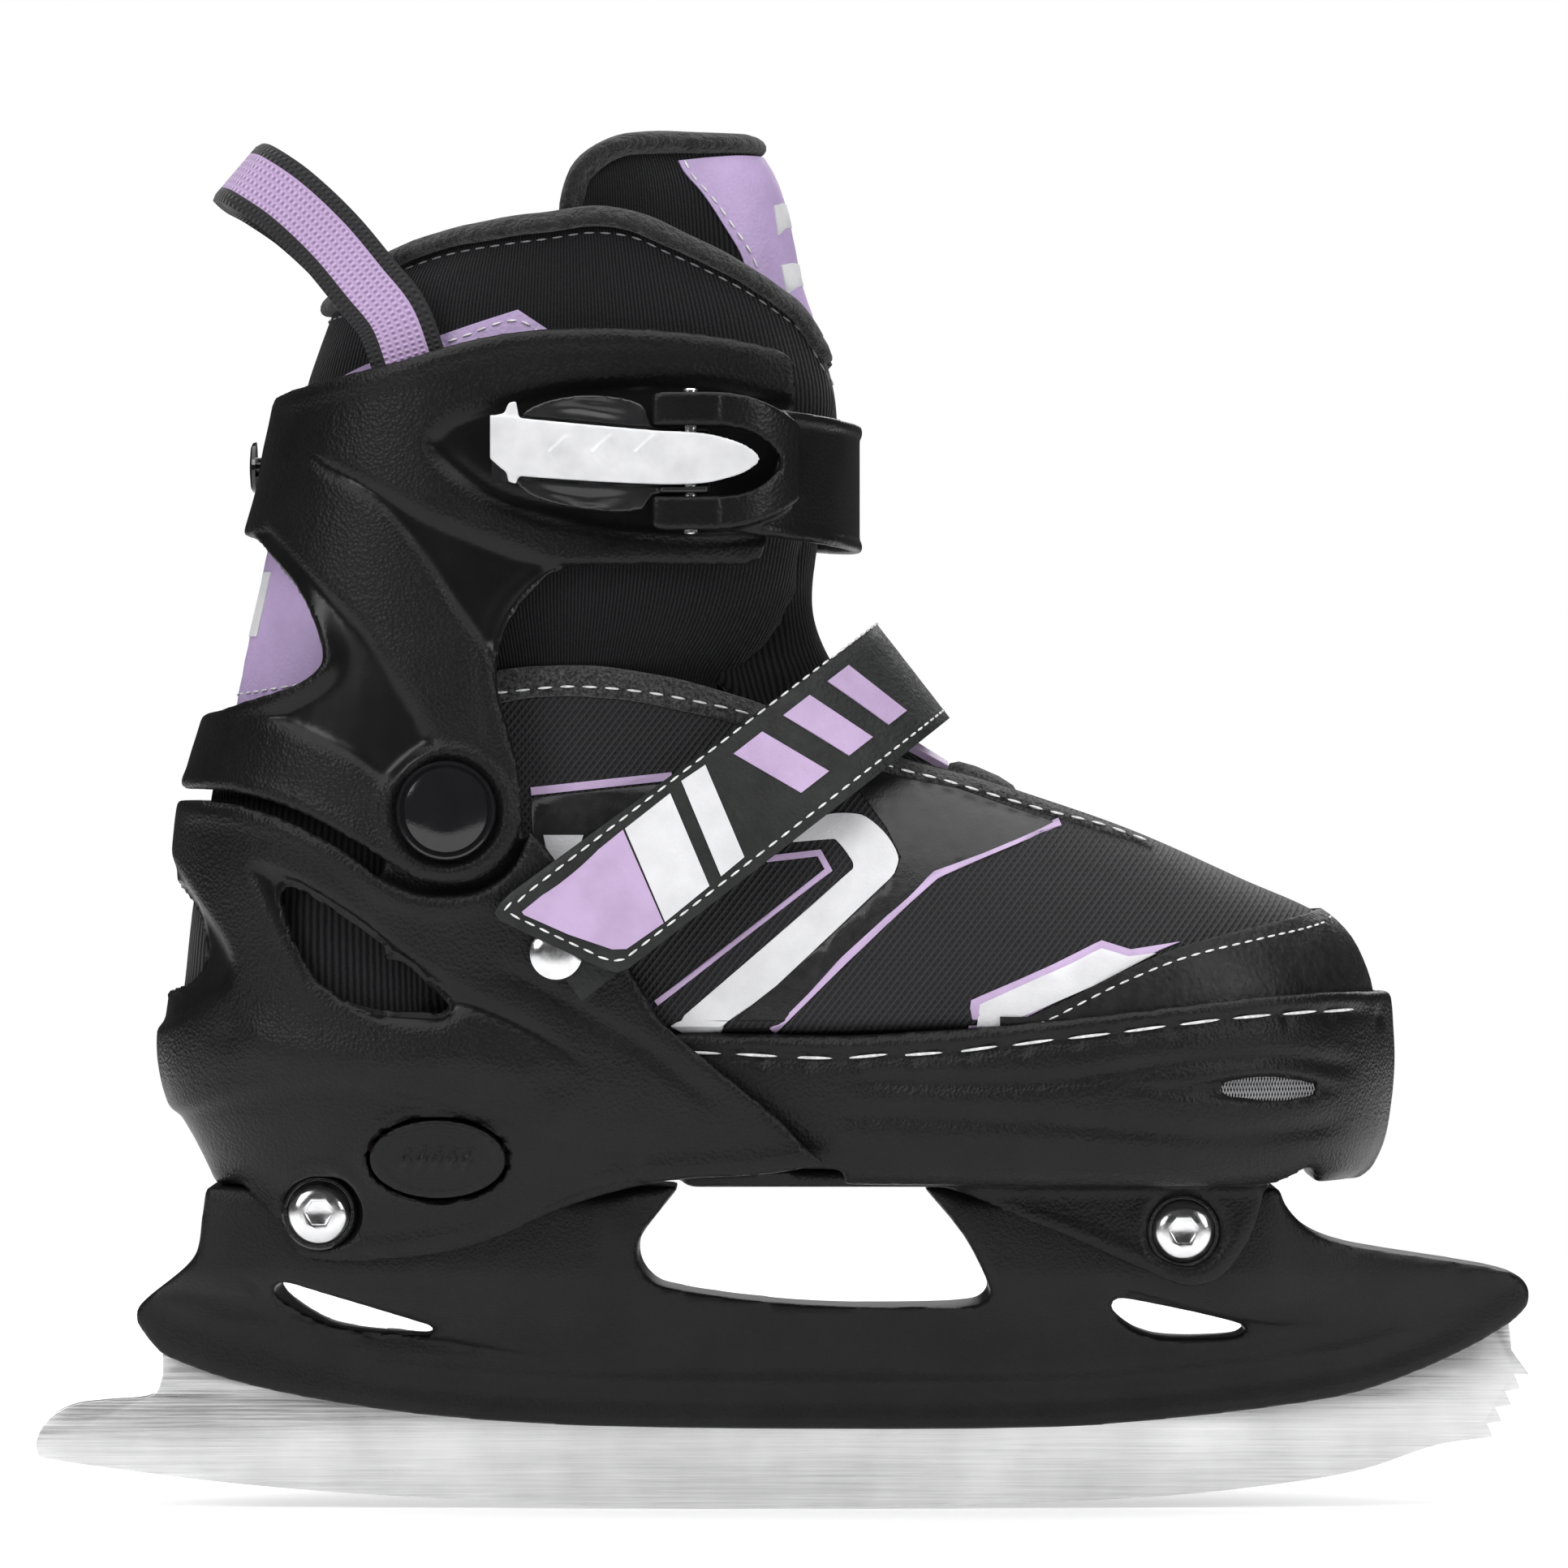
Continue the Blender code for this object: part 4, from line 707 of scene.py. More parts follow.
def dress_bent(obj, finish, bodies, ends, *nodes):
    """Gives a piece its material, bakes its placing into its mesh and hides the nodes it stands for."""
    obj.data.materials.clear()
    obj.data.materials.append(finish)
    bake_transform(obj)
    if nodes:
        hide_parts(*nodes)
    return obj


def repaint(name, finish):
    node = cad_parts[name]
    if not node.material_slots:
        node.data.materials.append(finish)
    for slot in node.material_slots:
        slot.material = finish


# ---------------------------------------------------------------- blade and holder

HOLDER_LINE = [(-126.1, 31.4), (-116.7, 27.7), (-106.6, 24.8), (-92.1, 21.9), (-71.0, 19.0), (-40.6, 17.0),
               (6.6, 16.3), (55.1, 16.7), (82.0, 18.8), (102.3, 21.3), (115.5, 23.6), (128.7, 28.2),
               (140.4, 33.7), (147.5, 38.0)]
HOLDER_LOW = profile(*HOLDER_LINE)
HOLDER_TOWERS = profile((-131, 0.35), (-112, 1), (-40, 1), (-24, 0.55), (26, 0.55), (40, 1), (97, 1),
                        (112, 0.5), (150, 0.2))


def make_blade():
    heel_edge = [(-151.5, 10.6), (-142.9, 9.1), (-109.9, 5.0), (-76.9, 2.5), (-32.0, 0.5), (-8.0, 0.0)]
    toe_edge = [(12.0, 0.0), (35.3, 0.7), (75.7, 2.5), (102.3, 5.3), (117.8, 8.1), (132.7, 13.0), (143.9, 14.6)]
    picks = [(143.9, 14.6), (142.7, 17.3), (145.7, 17.7), (144.4, 20.6), (147.7, 21.0), (146.4, 23.9),
             (149.4, 24.3), (148.3, 27.4), (151.3, 27.2), (147.8, 32.2), (147.3, 38.4)]
    tail = [(-126.2, 31.4), (-126.3, 26.5), (-128.2, 23.2), (-137.9, 22.1), (-144.5, 21.1), (-149.5, 18.2),
            (-151.8, 13.7), (-151.5, 10.6)]
    seat = [(x, z + 5.5) for x, z in HOLDER_LINE[1:-1]]
    seat = [(-122.5, seat[0][1] + 2.8)] + seat + [(143.5, HOLDER_LINE[-1][1] + 3.5)]
    loop = outline(heel_edge, toe_edge, *zip(picks, picks[1:]), seat[::-1], tail)
    blade = side_prism("blade_runner", loop, -BLADE_THICKNESS / 2, BLADE_THICKNESS / 2)
    dress(eased(blade, 0.22, 2, 50), STEEL, "chassis", "blade")


def holder_half_width(x, z):
    """Thin where it grips the blade, wide at the towers that the base shell straddles."""
    line = float(HOLDER_LOW(x))
    rise = float(soft((z - line - 9) / (48.5 - line - 9)))
    return 5.6 + (TOWER_HALF_WIDTH - 5.6) * rise * float(HOLDER_TOWERS(x))


REAR_RECESS = outline([(-110.2, 49.5), (-107.2, 42.6), (-96.4, 34.6), (-85.5, 32.3), (-60.1, 30.5),
                       (-40.6, 30.0)], [(-40.6, 30.0), (-68.0, 35.4), (-90.6, 40.6), (-110.2, 49.5)])
FRONT_RECESS = outline([(57.1, 50.0), (66.7, 44.2), (68.3, 36.8), (81.5, 34.3), (128.7, 38.4)],
                       [(128.7, 38.4), (95.0, 39.0), (57.1, 50.0)])


def make_holder():
    rear = [(-116.5, 66.0), (-117.3, 60.0), (-118.5, 52.5), (-122.5, 48.3), (-130.8, 41.5), (-131.4, 38.6),
            (-129.7, 35.6), (-126.1, 31.4)]
    nose = [(147.5, 38.0), (150.6, 41.1), (151.3, 43.9), (149.8, 46.9), (145.9, 48.7), (136.5, 50.5),
            (123.3, 52.5), (113.2, 54.3), (106.9, 56.7), (103.0, 59.9), (100.7, 63.0), (99.8, 66.0)]
    window = [(28.0, 66.0), (36.3, 56.1), (41.1, 46.7), (41.7, 43.9), (38.8, 42.1), (27.4, 41.6),
              (12.9, 41.6), (-3.5, 42.6), (-24.3, 45.7), (-28.1, 48.5), (-29.5, 51.8), (-29.0, 55.6),
              (-26.9, 58.7), (-21.0, 66.0)]
    rear_slot = through([(-103.1, 45.9), (-102.3, 47.2), (-94.2, 45.0), (-81.8, 41.1), (-71.0, 37.6), (-68.0, 36.5),
                         (-69.5, 35.6), (-78.2, 35.9), (-90.6, 37.5), (-97.0, 40.4), (-101.8, 43.7)], 4, True)
    front_slot = through([(65.5, 43.4), (66.5, 43.9), (82.0, 40.8), (91.4, 38.4), (94.5, 37.6), (93.4, 36.1),
                          (89.1, 35.3), (78.9, 35.1), (72.6, 36.1), (68.0, 38.8), (66.0, 41.6)], 4, True)
    loop = outline(rear, HOLDER_LINE, nose, window, [(-21.0, 66.0), (-116.5, 66.0)], steps=3)
    holder = plated("blade_holder_body", loop, holder_half_width, 3.6)
    cut(holder, side_prism("rear_slot", rear_slot, -40, 40), side_prism("front_slot", front_slot, -40, 40))
    for place in (REAR_BOLT, FRONT_BOLT):
        cut(holder, turned("tower_hole", [(-25, 4.6), (25, 4.6)], place))
    moulded(holder, 1.15, 3)
    line = [(p.x, p.y) for p in through(HOLDER_LINE, 3)]
    bead = groove([(x, z + 9.5) for x, z in line[4:-6]], -0.7, 1.6)
    shelf = groove([(x, z + 5.2) for x, z in line[2:-3]], 0.6, 2.0)
    relief(holder, pocket(REAR_RECESS, 2.2, 3.0), pocket(FRONT_RECESS, 2.2, 3.0), bead, shelf)
    dress(holder, HOLDER, "chassis", "blade_holder")


# ---------------------------------------------------------------- base shell

BASE_REAR = profile((46, -112), (56, -113.5), (60, -115), (69, -118), (75, -121), (82, -125), (89, -127),
                    (96, -127.5), (104, -126.5), (115, -125.5), (132, -124.5), (141, -123.6), (150, -122))
BASE_HALF = profile((46, 23.0), (56, 25.0), (62, 28.0), (66, 31.5), (70, 33.8), (75, 35.4), (80, 36.8),
                    (90, 38.5), (100, 39.3), (110, 39.8), (120, 41.0), (130, 42.3), (150, 43.0))


def base_envelope(name, inset, low, high):
    rings = []
    for z in steps_between(low, high, 3.0):
        half = float(BASE_HALF(z)) - inset
        rings.append(u_ring(z, float(BASE_REAR(z)) + inset,
                            [(-66, half), (-48, half), (-30, half), (-5, half + 2.5), (20, half + 5)]))
    return loft(name, rings)


WINDOW_EDGE = through([(-107.5, 130.4), (-106.1, 132), (-102.8, 131.7), (-97.4, 129.7), (-89.3, 125.3),
                       (-82.6, 120.6), (-72.5, 112.5), (-62.4, 106.4), (-48.9, 99.7), (-35.4, 88.3),
                       (-48.9, 95), (-62.4, 100.4), (-69, 98), (-78.5, 98.4), (-86.6, 101.7), (-93.3, 106.4),
                       (-98, 111.8), (-102.8, 119.9), (-106.8, 128)], 4, True)
BASE_LEDGE = outline([(-123, 82.2), (-99.4, 87.9), (-88, 88.9), (-62.4, 83.6), (-45.5, 78.2), (-27.4, 73.4)],
                     [(-27.4, 73.4), (-27.4, 40.0), (-135.0, 40.0), (-135.0, 80.0), (-123.0, 82.2)])
REAR_EDGE = outline([(-124.6, 134.4), (-116.9, 124.6), (-109.5, 113.2), (-110.2, 106.4), (-117.6, 101.0),
                     (-125.0, 97.4)], [(-125.0, 97.4), (-140.0, 96.0), (-140.0, 136.0), (-124.6, 134.4)])
SKIRT = [(8.9, 71.6), (-2.6, 69.5), (-22.4, 68.1), (-33.2, 65.8), (-43.9, 62.4), (-58.1, 55.9), (-69.0, 53.0),
         (-86.8, 51.2), (-104.0, 50.7), (-106.8, 52.0), (-109.7, 55.9), (-114.3, 63.7), (-117.5, 69.1)]


BUTTON_POINTS = 56


def button_loop(grow):
    half_x, half_z = BUTTON_SIZE[0] / 2 + grow, BUTTON_SIZE[1] / 2 + grow
    return [Vector((BUTTON_CENTRE[0] + half_x * math.cos(math.tau * k / BUTTON_POINTS),
                    BUTTON_CENTRE[1] + half_z * math.sin(math.tau * k / BUTTON_POINTS)))
            for k in range(BUTTON_POINTS)]


def make_base_shell():
    base = base_envelope("base_shell_body", 0, 44, 152)
    cut(base, base_envelope("base_inside", SHELL_WALL, SOLE_TOP, 153))
    step = [(-124.5, 143.7), (-119.0, 144.0), (-108.2, 142.9), (-97.5, 139.5), (-86.8, 133.6),
            (-80.3, 128.6), (-73.5, 125.7), (-67.0, 125.0), (-60.0, 126.3), (-54.0, 130.5), (-50.4, 138.0)]
    front = [(-50.4, 138.0), (-46.0, 133.0), (-37.3, 120.1), (-29.5, 108.9), (-23.8, 99.5), (-15.8, 92.6),
             (-5.9, 84.6), (-0.2, 80.0), (4.0, 75.2), (8.9, 71.6)]
    heel = [(-117.5, 69.1), (-130.0, 80.0), (-131.0, 100.0), (-130.0, 125.0), (-124.5, 143.7)]
    keep(base, side_prism("base_side_view", outline(step, front, SKIRT, heel, steps=4), -60, 60))
    rear_window = outline([(-135.0, 103.0), (-121.1, 106.8), (-117.0, 111.0), (-117.0, 117.0),
                           (-121.4, 125.4), (-135.0, 131.0)], [(-135.0, 131.0), (-135.0, 103.0)])
    side_window = outline([(-100.8, 126.7), (-98.2, 126.7), (-80.2, 115.2), (-65.3, 101.6)],
                          [(-65.3, 101.6), (-84.0, 103.1), (-92.6, 108.1), (-96.9, 114.5), (-100.8, 126.7)])
    cut(base, side_prism("base_rear_window", rear_window, -60, 60),
        side_prism("base_side_window", side_window, -60, 60),
        side_prism("skirt_hollow", [(-140, 40), (30, 40), (30, SOLE_UNDERSIDE), (-140, SOLE_UNDERSIDE)],
                   -TOWER_HALF_WIDTH - 0.4, TOWER_HALF_WIDTH + 0.4))
    ear = outline([(-80, 112), (-50, 112)], [(-50, 112), (-51.6, 137), (-55, 151), (-67, 155.5),
                                             (-77, 151), (-79.6, 137), (-80, 112)])
    for side in (OUTER, INNER):
        join(base, side_prism("pivot_ear", ear, side * 35.9, side * 38.4))
    plate = [(-20, SOLE_UNDERSIDE), (97.5, SOLE_UNDERSIDE), (97.5, SOLE_TOP), (-20, SOLE_TOP)]
    bracket = outline([(22, 68.5), (35.5, 65.2), (57, 56.3), (76.7, 47.7), (82, 46.2), (88, 48.2),
                       (93, 54.8), (95.4, 61), (96.5, 68.5)], [(96.5, 68.5), (22, 68.5)])
    walls = side_prism("bracket_walls", bracket, -23.6, 23.6)
    cut(walls, side_prism("bracket_hollow", [(0, 40), (120, 40), (120, SOLE_UNDERSIDE), (0, SOLE_UNDERSIDE)],
                          -TOWER_HALF_WIDTH - 0.4, TOWER_HALF_WIDTH + 0.4))
    join(base, side_prism("sole_plate", plate, -26.8, 26.8), walls)
    for place in (REAR_BOLT, FRONT_BOLT):
        for side in (OUTER, INNER):
            cut(base, turned("bolt_seat", [(20.8, 7.6), (45, 7.6)], place, side))
        cut(base, turned("bolt_hole", [(-40, 3.3), (40, 3.3)], place))
    cut(base, side_prism("button_hole", button_loop(0.5), -50, -23))
    moulded(base, 1.05, 3)
    around_bolts = [groove([(p.x, p.y) for p in circle(place, 9.2, 40)][:39], -0.5, 1.3)
                    for place in (REAR_BOLT, FRONT_BOLT)]
    skirt_bead = groove([(p.x, p.y + 2.6) for p in through(SKIRT, 3)], -0.9, 2.0)
    bracket_bead = groove([(p.x, p.y) for p in through([(30, 64.4), (56, 58.4), (76.2, 50.4), (82, 48.9),
                                                        (86.4, 50.6), (90.6, 56.0), (93.0, 62.0)], 4)], -0.7, 1.3)
    flow = groove([(-112.0, 97.0), (-98.0, 93.6), (-80.0, 92.0), (-62.0, 92.4), (-45.0, 87.0)], -1.0, 4.5)
    step_bead = groove([(p.x, p.y - 2.4) for p in through(step[:-1], 3)], -0.6, 1.8)
    crease = groove([(-59.0, 111.8), (-45.0, 104.5), (-27.4, 94.3), (-12.0, 82.5)], 0.8, 1.7)
    button_rim = groove([(p.x, p.y) for p in button_loop(1.6)][:BUTTON_POINTS - 1], -0.5, 1.2)
    ledge = pocket(BASE_LEDGE, 1.3, 3.2)
    smooth = [pocket(WINDOW_EDGE, 1.9, 3.5), pocket(REAR_EDGE, 1.4, 3.0)]

    def grain(x, z):
        hidden = sum(np.minimum(1, -edge(x, z) / 1.2) for edge in smooth)
        return np.clip(1.0 - hidden, 0.0, 1.0)
    relief(base, *smooth, ledge, skirt_bead, bracket_bead, flow, step_bead, crease, button_rim, *around_bolts,
           grain=grain)
    dress(base, SHELL, "chassis", "base_shell")


def make_button():
    """The domed size button, with plain grip ribs."""
    button = side_prism("size_button_body", button_loop(-0.1), -45, -29)
    keep(button, base_envelope("button_face", -0.6, 50, 92))
    moulded(button, 0.5, 2)
    ribs = [groove([(BUTTON_CENTRE[0] + dx - 1.5, BUTTON_CENTRE[1] - 3.4),
                    (BUTTON_CENTRE[0] + dx + 1.5, BUTTON_CENTRE[1] + 3.4)], -3.2, 0.7)
            for dx in (-6.0, -3.0, 0.0, 3.0, 6.0)]

    def ring(x, z):
        out = np.hypot((x - BUTTON_CENTRE[0]) / BUTTON_SIZE[0] * 2, (z - BUTTON_CENTRE[1]) / BUTTON_SIZE[1] * 2)
        return -0.5 * soft((0.86 - out) / 0.08)
    relief(button, ring, *ribs)
    dress(button, SHELL, "size_button", "size_button")


def make_button_coil():
    """The coil behind the size button."""
    turns, steps, coil_radius, wire_radius, middle_z = 4, 16, 2.1, 0.34, 68.6
    front, length = -28.5, 4.9
    spots, normals = [], []
    for k in range(turns * steps + 1):
        way = Vector((math.cos(math.tau * k / steps), 0, math.sin(math.tau * k / steps)))
        spots.append(Vector((BUTTON_CENTRE[0], front + length * k / (turns * steps), middle_z)) + way * coil_radius)
        normals.append(way)
    dress_bent(swept("button_coil", spots, normals, oval(wire_radius, wire_radius, 8)), CHROME,
               ("size_button", "chassis"), ((-0.0691, -0.0286, 0.0686), (-0.0691, -0.0236, 0.0686)), "button_spring")


def bolt_head(name, place, body, *nodes):
    """A button-head screw with a hexagon socket, in a seat washer."""
    head = turned(name, [(24.6, 3.0), (-20.9, 3.0), (-20.9, 6.25), (-22.3, 6.25), (-23.2, 5.7), (-23.9, 4.7),
                         (-24.2, 3.4)], place)
    cut(head, turned("hex_socket", [(-27, 2.7), (-21.9, 2.7)], place, 1, 6))
    eased(head, 0.15, 2, 25)
    dress(head, CHROME, body, *nodes)


def make_bolts():
    bolt_head("rear_bolt_screw", REAR_BOLT, "chassis", "rear_bolt")
    bolt_head("front_bolt_screw", FRONT_BOLT, "chassis", "front_bolt")
    for label, place in (("rear", REAR_BOLT), ("front", FRONT_BOLT)):
        seat = turned(label + "_seat_ring", [(20.9, 6.5), (20.9, 7.4), (21.7, 7.5), (22.2, 7.1), (22.2, 6.7)],
                      place, OUTER)
        cut(seat, turned("seat_bore", [(18, 6.4), (26, 6.4)], place, OUTER))
        dress(seat, GLOSS, "chassis")


# ---------------------------------------------------------------- toe shell

TOE_PLAN = profile((-25, 34.3), (0, 36.0), (20, 39.5), (40, 43.4), (60, 45.6), (78, 44.6), (94, 40.0),
                   (106, 32.5), (115, 22.5), (121, 11.5), (123.9, 3.5))
TOE_INSET = profile((67, 9.0), (68.4, 6.4), (70.3, 4.8), (75, 2.4), (82, 0.9), (91, 0.0), (99, 0.4), (108, 1.2))
TOE_RIM = [(-16.7, 93.6), (-0.4, 93.1), (9.5, 92.8), (20.4, 93.4), (31.3, 94.0), (42.2, 95.2), (53.0, 96.5),
           (72.8, 98.9), (91.6, 100.9), (109.4, 101.9), (120.3, 101.2)]
TOE_TOP = [(-40, 97.8), (-2.6, 97.5), (12.2, 97.2), (49.0, 99.8), (78.5, 103.1), (100.7, 105.3), (130.0, 105.3)]


TOE_STATION_COUNT = 44


def toe_ring(z, inset, x_rear):
    """A plan section of the toe shell: straight sides to a round toe, pulled in by an inset."""
    side = []
    for k in range(TOE_STATION_COUNT):
        x = x_rear + (124.0 - x_rear) * math.sin(math.pi / 2 * k / (TOE_STATION_COUNT - 1))
        slope = (float(TOE_PLAN(x + 1)) - float(TOE_PLAN(x - 1))) / 2
        size = math.hypot(1, slope)
        shift = inset * min(1.0, (x - x_rear) / 8)
        side.append((x + shift * slope / size, max(float(TOE_PLAN(x)) - inset / size, 1.0)))
    return [(x, -y, z) for x, y in side] + [(x, y, z) for x, y in reversed(side)]


def vent_loop(grow):
    upper = [(80.4 - 2 * grow, 87.0), (96.9, 88.7 + grow), (111.7 + 2 * grow, 85.8)]
    lower = [(111.7 + 2 * grow, 85.8), (96.9, 84.3 - grow), (80.4 - 2 * grow, 87.0)]
    return outline(upper, lower, steps=8)


def make_toe_shell():
    shell = loft("toe_shell_body", [toe_ring(z, float(TOE_INSET(z)), -25) for z in steps_between(67, 108, 2.0)])
    cut(shell, loft("toe_inside", [toe_ring(z, float(TOE_INSET(z)) + SHELL_WALL, -35)
                                   for z in steps_between(73.2, 110, 3.0)]))
    rim = outline([(-40, 60), (-40, 97.8)], TOE_TOP, [(130, 105.3), (130, 60)], [(130, 60), (-40, 60)])
    keep(shell, side_prism("toe_rim", rim, -60, 60))
    cut(shell, side_prism("toe_rear_relief", [(-40, 60), (12, 60), (12, SOLE_TOP + 0.3), (-40, SOLE_TOP + 0.3)],
                          -60, 60),
        side_prism("sole_plate_recess", [(5, 60), (106.5, 60), (106.5, SOLE_TOP + 0.3), (5, SOLE_TOP + 0.3)],
                   -27.2, 27.2),
        side_prism("toe_vents", vent_loop(0), -60, 60))
    moulded(shell, 0.95, 3)
    shoulder = [(p.x, p.y) for p in through(TOE_RIM, 4)]
    roll = groove([(x, z + 1.9) for x, z in shoulder], -0.7, 1.6)
    valley = groove([(x, z - 0.2) for x, z in shoulder], 0.75, 1.1)
    notches = []
    along, step = 0.0, 10.5
    for a, b in zip(shoulder, shoulder[1:]):
        along += math.hypot(b[0] - a[0], b[1] - a[1])
        if along > step:
            along -= step
            notches.append(lambda x, z, b=b: -0.8 * np.exp(-(((x - b[0]) / 0.9) ** 2 + ((z - b[1] + 1) / 1.6) ** 2)))
    upper = groove([(p.x, p.y) for p in through([(11.5, 88.3), (35.2, 87.6), (55.0, 88.3), (74.8, 91.3),
                                                 (93.6, 92.8), (106.0, 92.0), (117.0, 90.0)], 4)], 0.9, 1.6)
    lower = groove([(p.x, p.y) for p in through([(8.5, 80.9), (25.3, 80.9), (55.0, 79.7), (74.8, 77.9),
                                                 (89.6, 77.1), (114.4, 79.4)], 4)], 0.8, 1.8)
    lens = pocket(outline([(60, 87.6), (79.7, 87.9), (84.7, 88.8), (99.5, 89.8), (113.5, 86.0)],
                          [(113.5, 86.0), (99.5, 83.8), (84.7, 84.2), (60, 87.6)]), 1.3, 1.6)
    relief(shell, roll, valley, upper, lower, lens, *notches, heel=60.0)
    dress(shell, SHELL, "toe", "toe_shell")


# ---------------------------------------------------------------- cuff

CUFF_REAR = profile((125, -119), (146, -122), (161, -118.2), (180, -113.5), (197, -110.0), (207, -107.2),
                    (215, -105.8), (225, -103.4), (240, -100.0))
CUFF_HALF = profile((125, 43.0), (161, 43.0), (180, 42.4), (225, 42.0), (240, 41.0))


def cuff_envelope(name, inset, low, high):
    """The cuff's outside, or its inside when inset by the wall."""
    rings = []
    for z in steps_between(low, high, 3.0):
        half = float(CUFF_HALF(z)) - inset
        rings.append(u_ring(z, float(CUFF_REAR(z)) + inset,
                            [(-66, half), (-53, half - 0.2), (-40, half - 0.6), (-20, half - 2.2),
                             (-6, half - 4.3), (8, half - 6.5)]))
    return loft(name, rings)


UPPER_PANEL = outline([(-97, 215), (-92.9, 208.9), (-85.9, 205), (-79.7, 199.6), (-71.9, 190.2), (-66.5, 181.7),
                       (-61.8, 175.4), (-58.5, 170)],
                      [(-58.5, 170), (-50, 175), (-40, 185), (-40.8, 191), (-48.6, 193.5), (-59.5, 197.5),
                       (-70.4, 202), (-79.7, 207), (-88, 211), (-97, 215)])
LOWER_PANEL = outline([(-104, 200.5), (-100.7, 197.2), (-95.3, 191.8), (-89.1, 185.5), (-82.8, 179.3),
                       (-76.6, 170), (-71.9, 163), (-68, 155.2)],
                      [(-68, 155.2), (-78.2, 146.3), (-87.5, 151.3), (-95.3, 155.2), (-102.3, 158.3), (-108, 160)],
                      [(-108, 160), (-91.7, 172), (-108.6, 197.5)], [(-108.6, 197.5), (-104, 200.5)])
BUCKLE_RECESS = outline([(-72.9, 216), (-67, 221), (-56, 225), (-40, 228.2), (-19, 229), (0, 226), (4, 226)],
                        [(4, 226), (4, 194)],
                        [(4, 194), (0, 195), (-19, 194.5), (-40.8, 196.6), (-52.5, 199.6), (-60.3, 202.7),
                         (-68.8, 208.9), (-72, 212.8), (-72.9, 216)])
CUFF_WINDOW = [(-130, 198.0), (-108.6, 197.5), (-102.3, 191.7), (-96.9, 185.1), (-93.1, 178.0),
               (-91.7, 172.0), (-93.6, 168.6), (-100.2, 165.5), (-116.5, 161.5), (-130, 160.0)]


def make_cuff():
    cuff = cuff_envelope("cuff_body", 0, 124, 240)
    cut(cuff, cuff_envelope("cuff_inside", SHELL_WALL, 122, 242))
    rim = [(-106, 224.5), (-88.8, 228.4), (-76.2, 231.3), (-63.5, 235.1), (-51.0, 237.3), (-34.2, 237.9),
           (-17.3, 236.8), (-4.6, 234.6), (0.8, 232.7), (2.4, 228.9), (1.5, 215.0), (-3.5, 197.2),
           (-4.3, 192.6), (-7.3, 190.9), (-20, 190.8), (-34.2, 190.7), (-42.6, 190.1), (-48.5, 186.8),
           (-53.5, 180.8), (-56.4, 174.1), (-56.9, 166.5), (-54.8, 158.1), (-52.6, 149.7), (-52.0, 143.0)]
    lobe = [(-52.0, 143.0), (-52.6, 137.5), (-55.8, 131.8), (-61.0, 128.2), (-67.0, 127.3), (-73.6, 128.7),
            (-81.8, 133.9), (-93.4, 140.4), (-103.3, 144.2), (-113.2, 146.0), (-128.0, 146.4)]
    loop = outline(rim, lobe, [(-128.0, 146.4), (-128.0, 225)], [(-128.0, 225), (-106, 224.5)], steps=4)
    keep(cuff, side_prism("cuff_side_view", loop, -60, 60))
    cut(cuff, side_prism("cuff_window", outline(CUFF_WINDOW, [(-130, 160), (-130, 198)]), -60, 60))
    for side in (OUTER, INNER):
        cut(cuff, turned("pivot_hole", [(35, 4.1), (50, 4.1)], PIVOT, side))
    moulded(cuff, 0.95, 3)
    panels = [pocket(UPPER_PANEL, 1.5, 3.0), pocket(LOWER_PANEL, 1.5, 3.0)]
    recess = pocket(BUCKLE_RECESS, 1.8, 3.2)
    inner_step = groove([(p.x, p.y) for p in through([(-66.1, 217.4), (-66.4, 212.8), (-60.5, 207.0),
                                                      (-52.0, 203.4), (-36, 200.8)], 4)], 0.6, 1.8)
    window_lip = groove([(p.x, p.y) for p in through([(x + 2.0, z + 0.4) for x, z in CUFF_WINDOW[1:-1]], 4)],
                        -0.7, 1.8)
    top_roll = groove([(p.x, p.y - 2.2) for p in through(rim[:9], 3)], -0.8, 2.0)
    lobe_roll = groove([(p.x, p.y + 1.6) for p in through(lobe, 3)], -0.6, 1.8)
    under_roll = groove([(p.x, p.y) for p in through([(-4.6, 194.8), (-20.0, 193.2), (-36.0, 192.8),
                                                      (-47.0, 190.4), (-56.6, 182.0), (-59.4, 171.0),
                                                      (-58.6, 160.0), (-55.4, 149.0)], 3)], -0.5, 1.8)

    def ring(x, z):
        out = np.hypot(x - PIVOT[0], z - PIVOT[1])
        return 1.1 * np.exp(-((out - 11.9) / 1.2) ** 2) - 0.7 * soft((11.0 - out) / 1.0)

    def grain(x, z):
        hidden = sum(np.minimum(1, -edge(x, z) / 1.0) for edge in panels) + np.minimum(1, -recess(x, z) / 1.5)
        return np.clip(1.0 - hidden, 0.0, 1.0)
    relief(cuff, *panels, recess, inner_step, window_lip, top_roll, lobe_roll, under_roll, ring, grain=grain)
    dress(cuff, SHELL, "cuff", "cuff")


def make_pivots():
    for label, side in (("lateral", OUTER), ("medial", INNER)):
        cap = turned("pivot_cap_disc_" + label, [(43.0, 9.9), (45.1, 9.9), (45.7, 9.6), (45.75, 9.2), (45.3, 8.8),
                                                 (45.3, 8.6), (45.9, 8.2), (46.3, 6.8), (46.55, 4.0),
                                                 (46.6, 0.6)], PIVOT, side)
        dress(cap, GLOSS, "chassis", "pivot_cap_" + label)
    rings = [[(x, p.x, p.y) for p in circle((0, 211.5), r, 40)]
             for x, r in ((-101.8, 2.0), (-107.2, 2.0), (-107.2, 5.2), (-107.9, 5.0), (-108.3, 4.2), (-108.5, 2.0))]
    dress(loft("rear_stud_disc", rings, sharp=30), GLOSS, "cuff", "cuff_rear_stud")


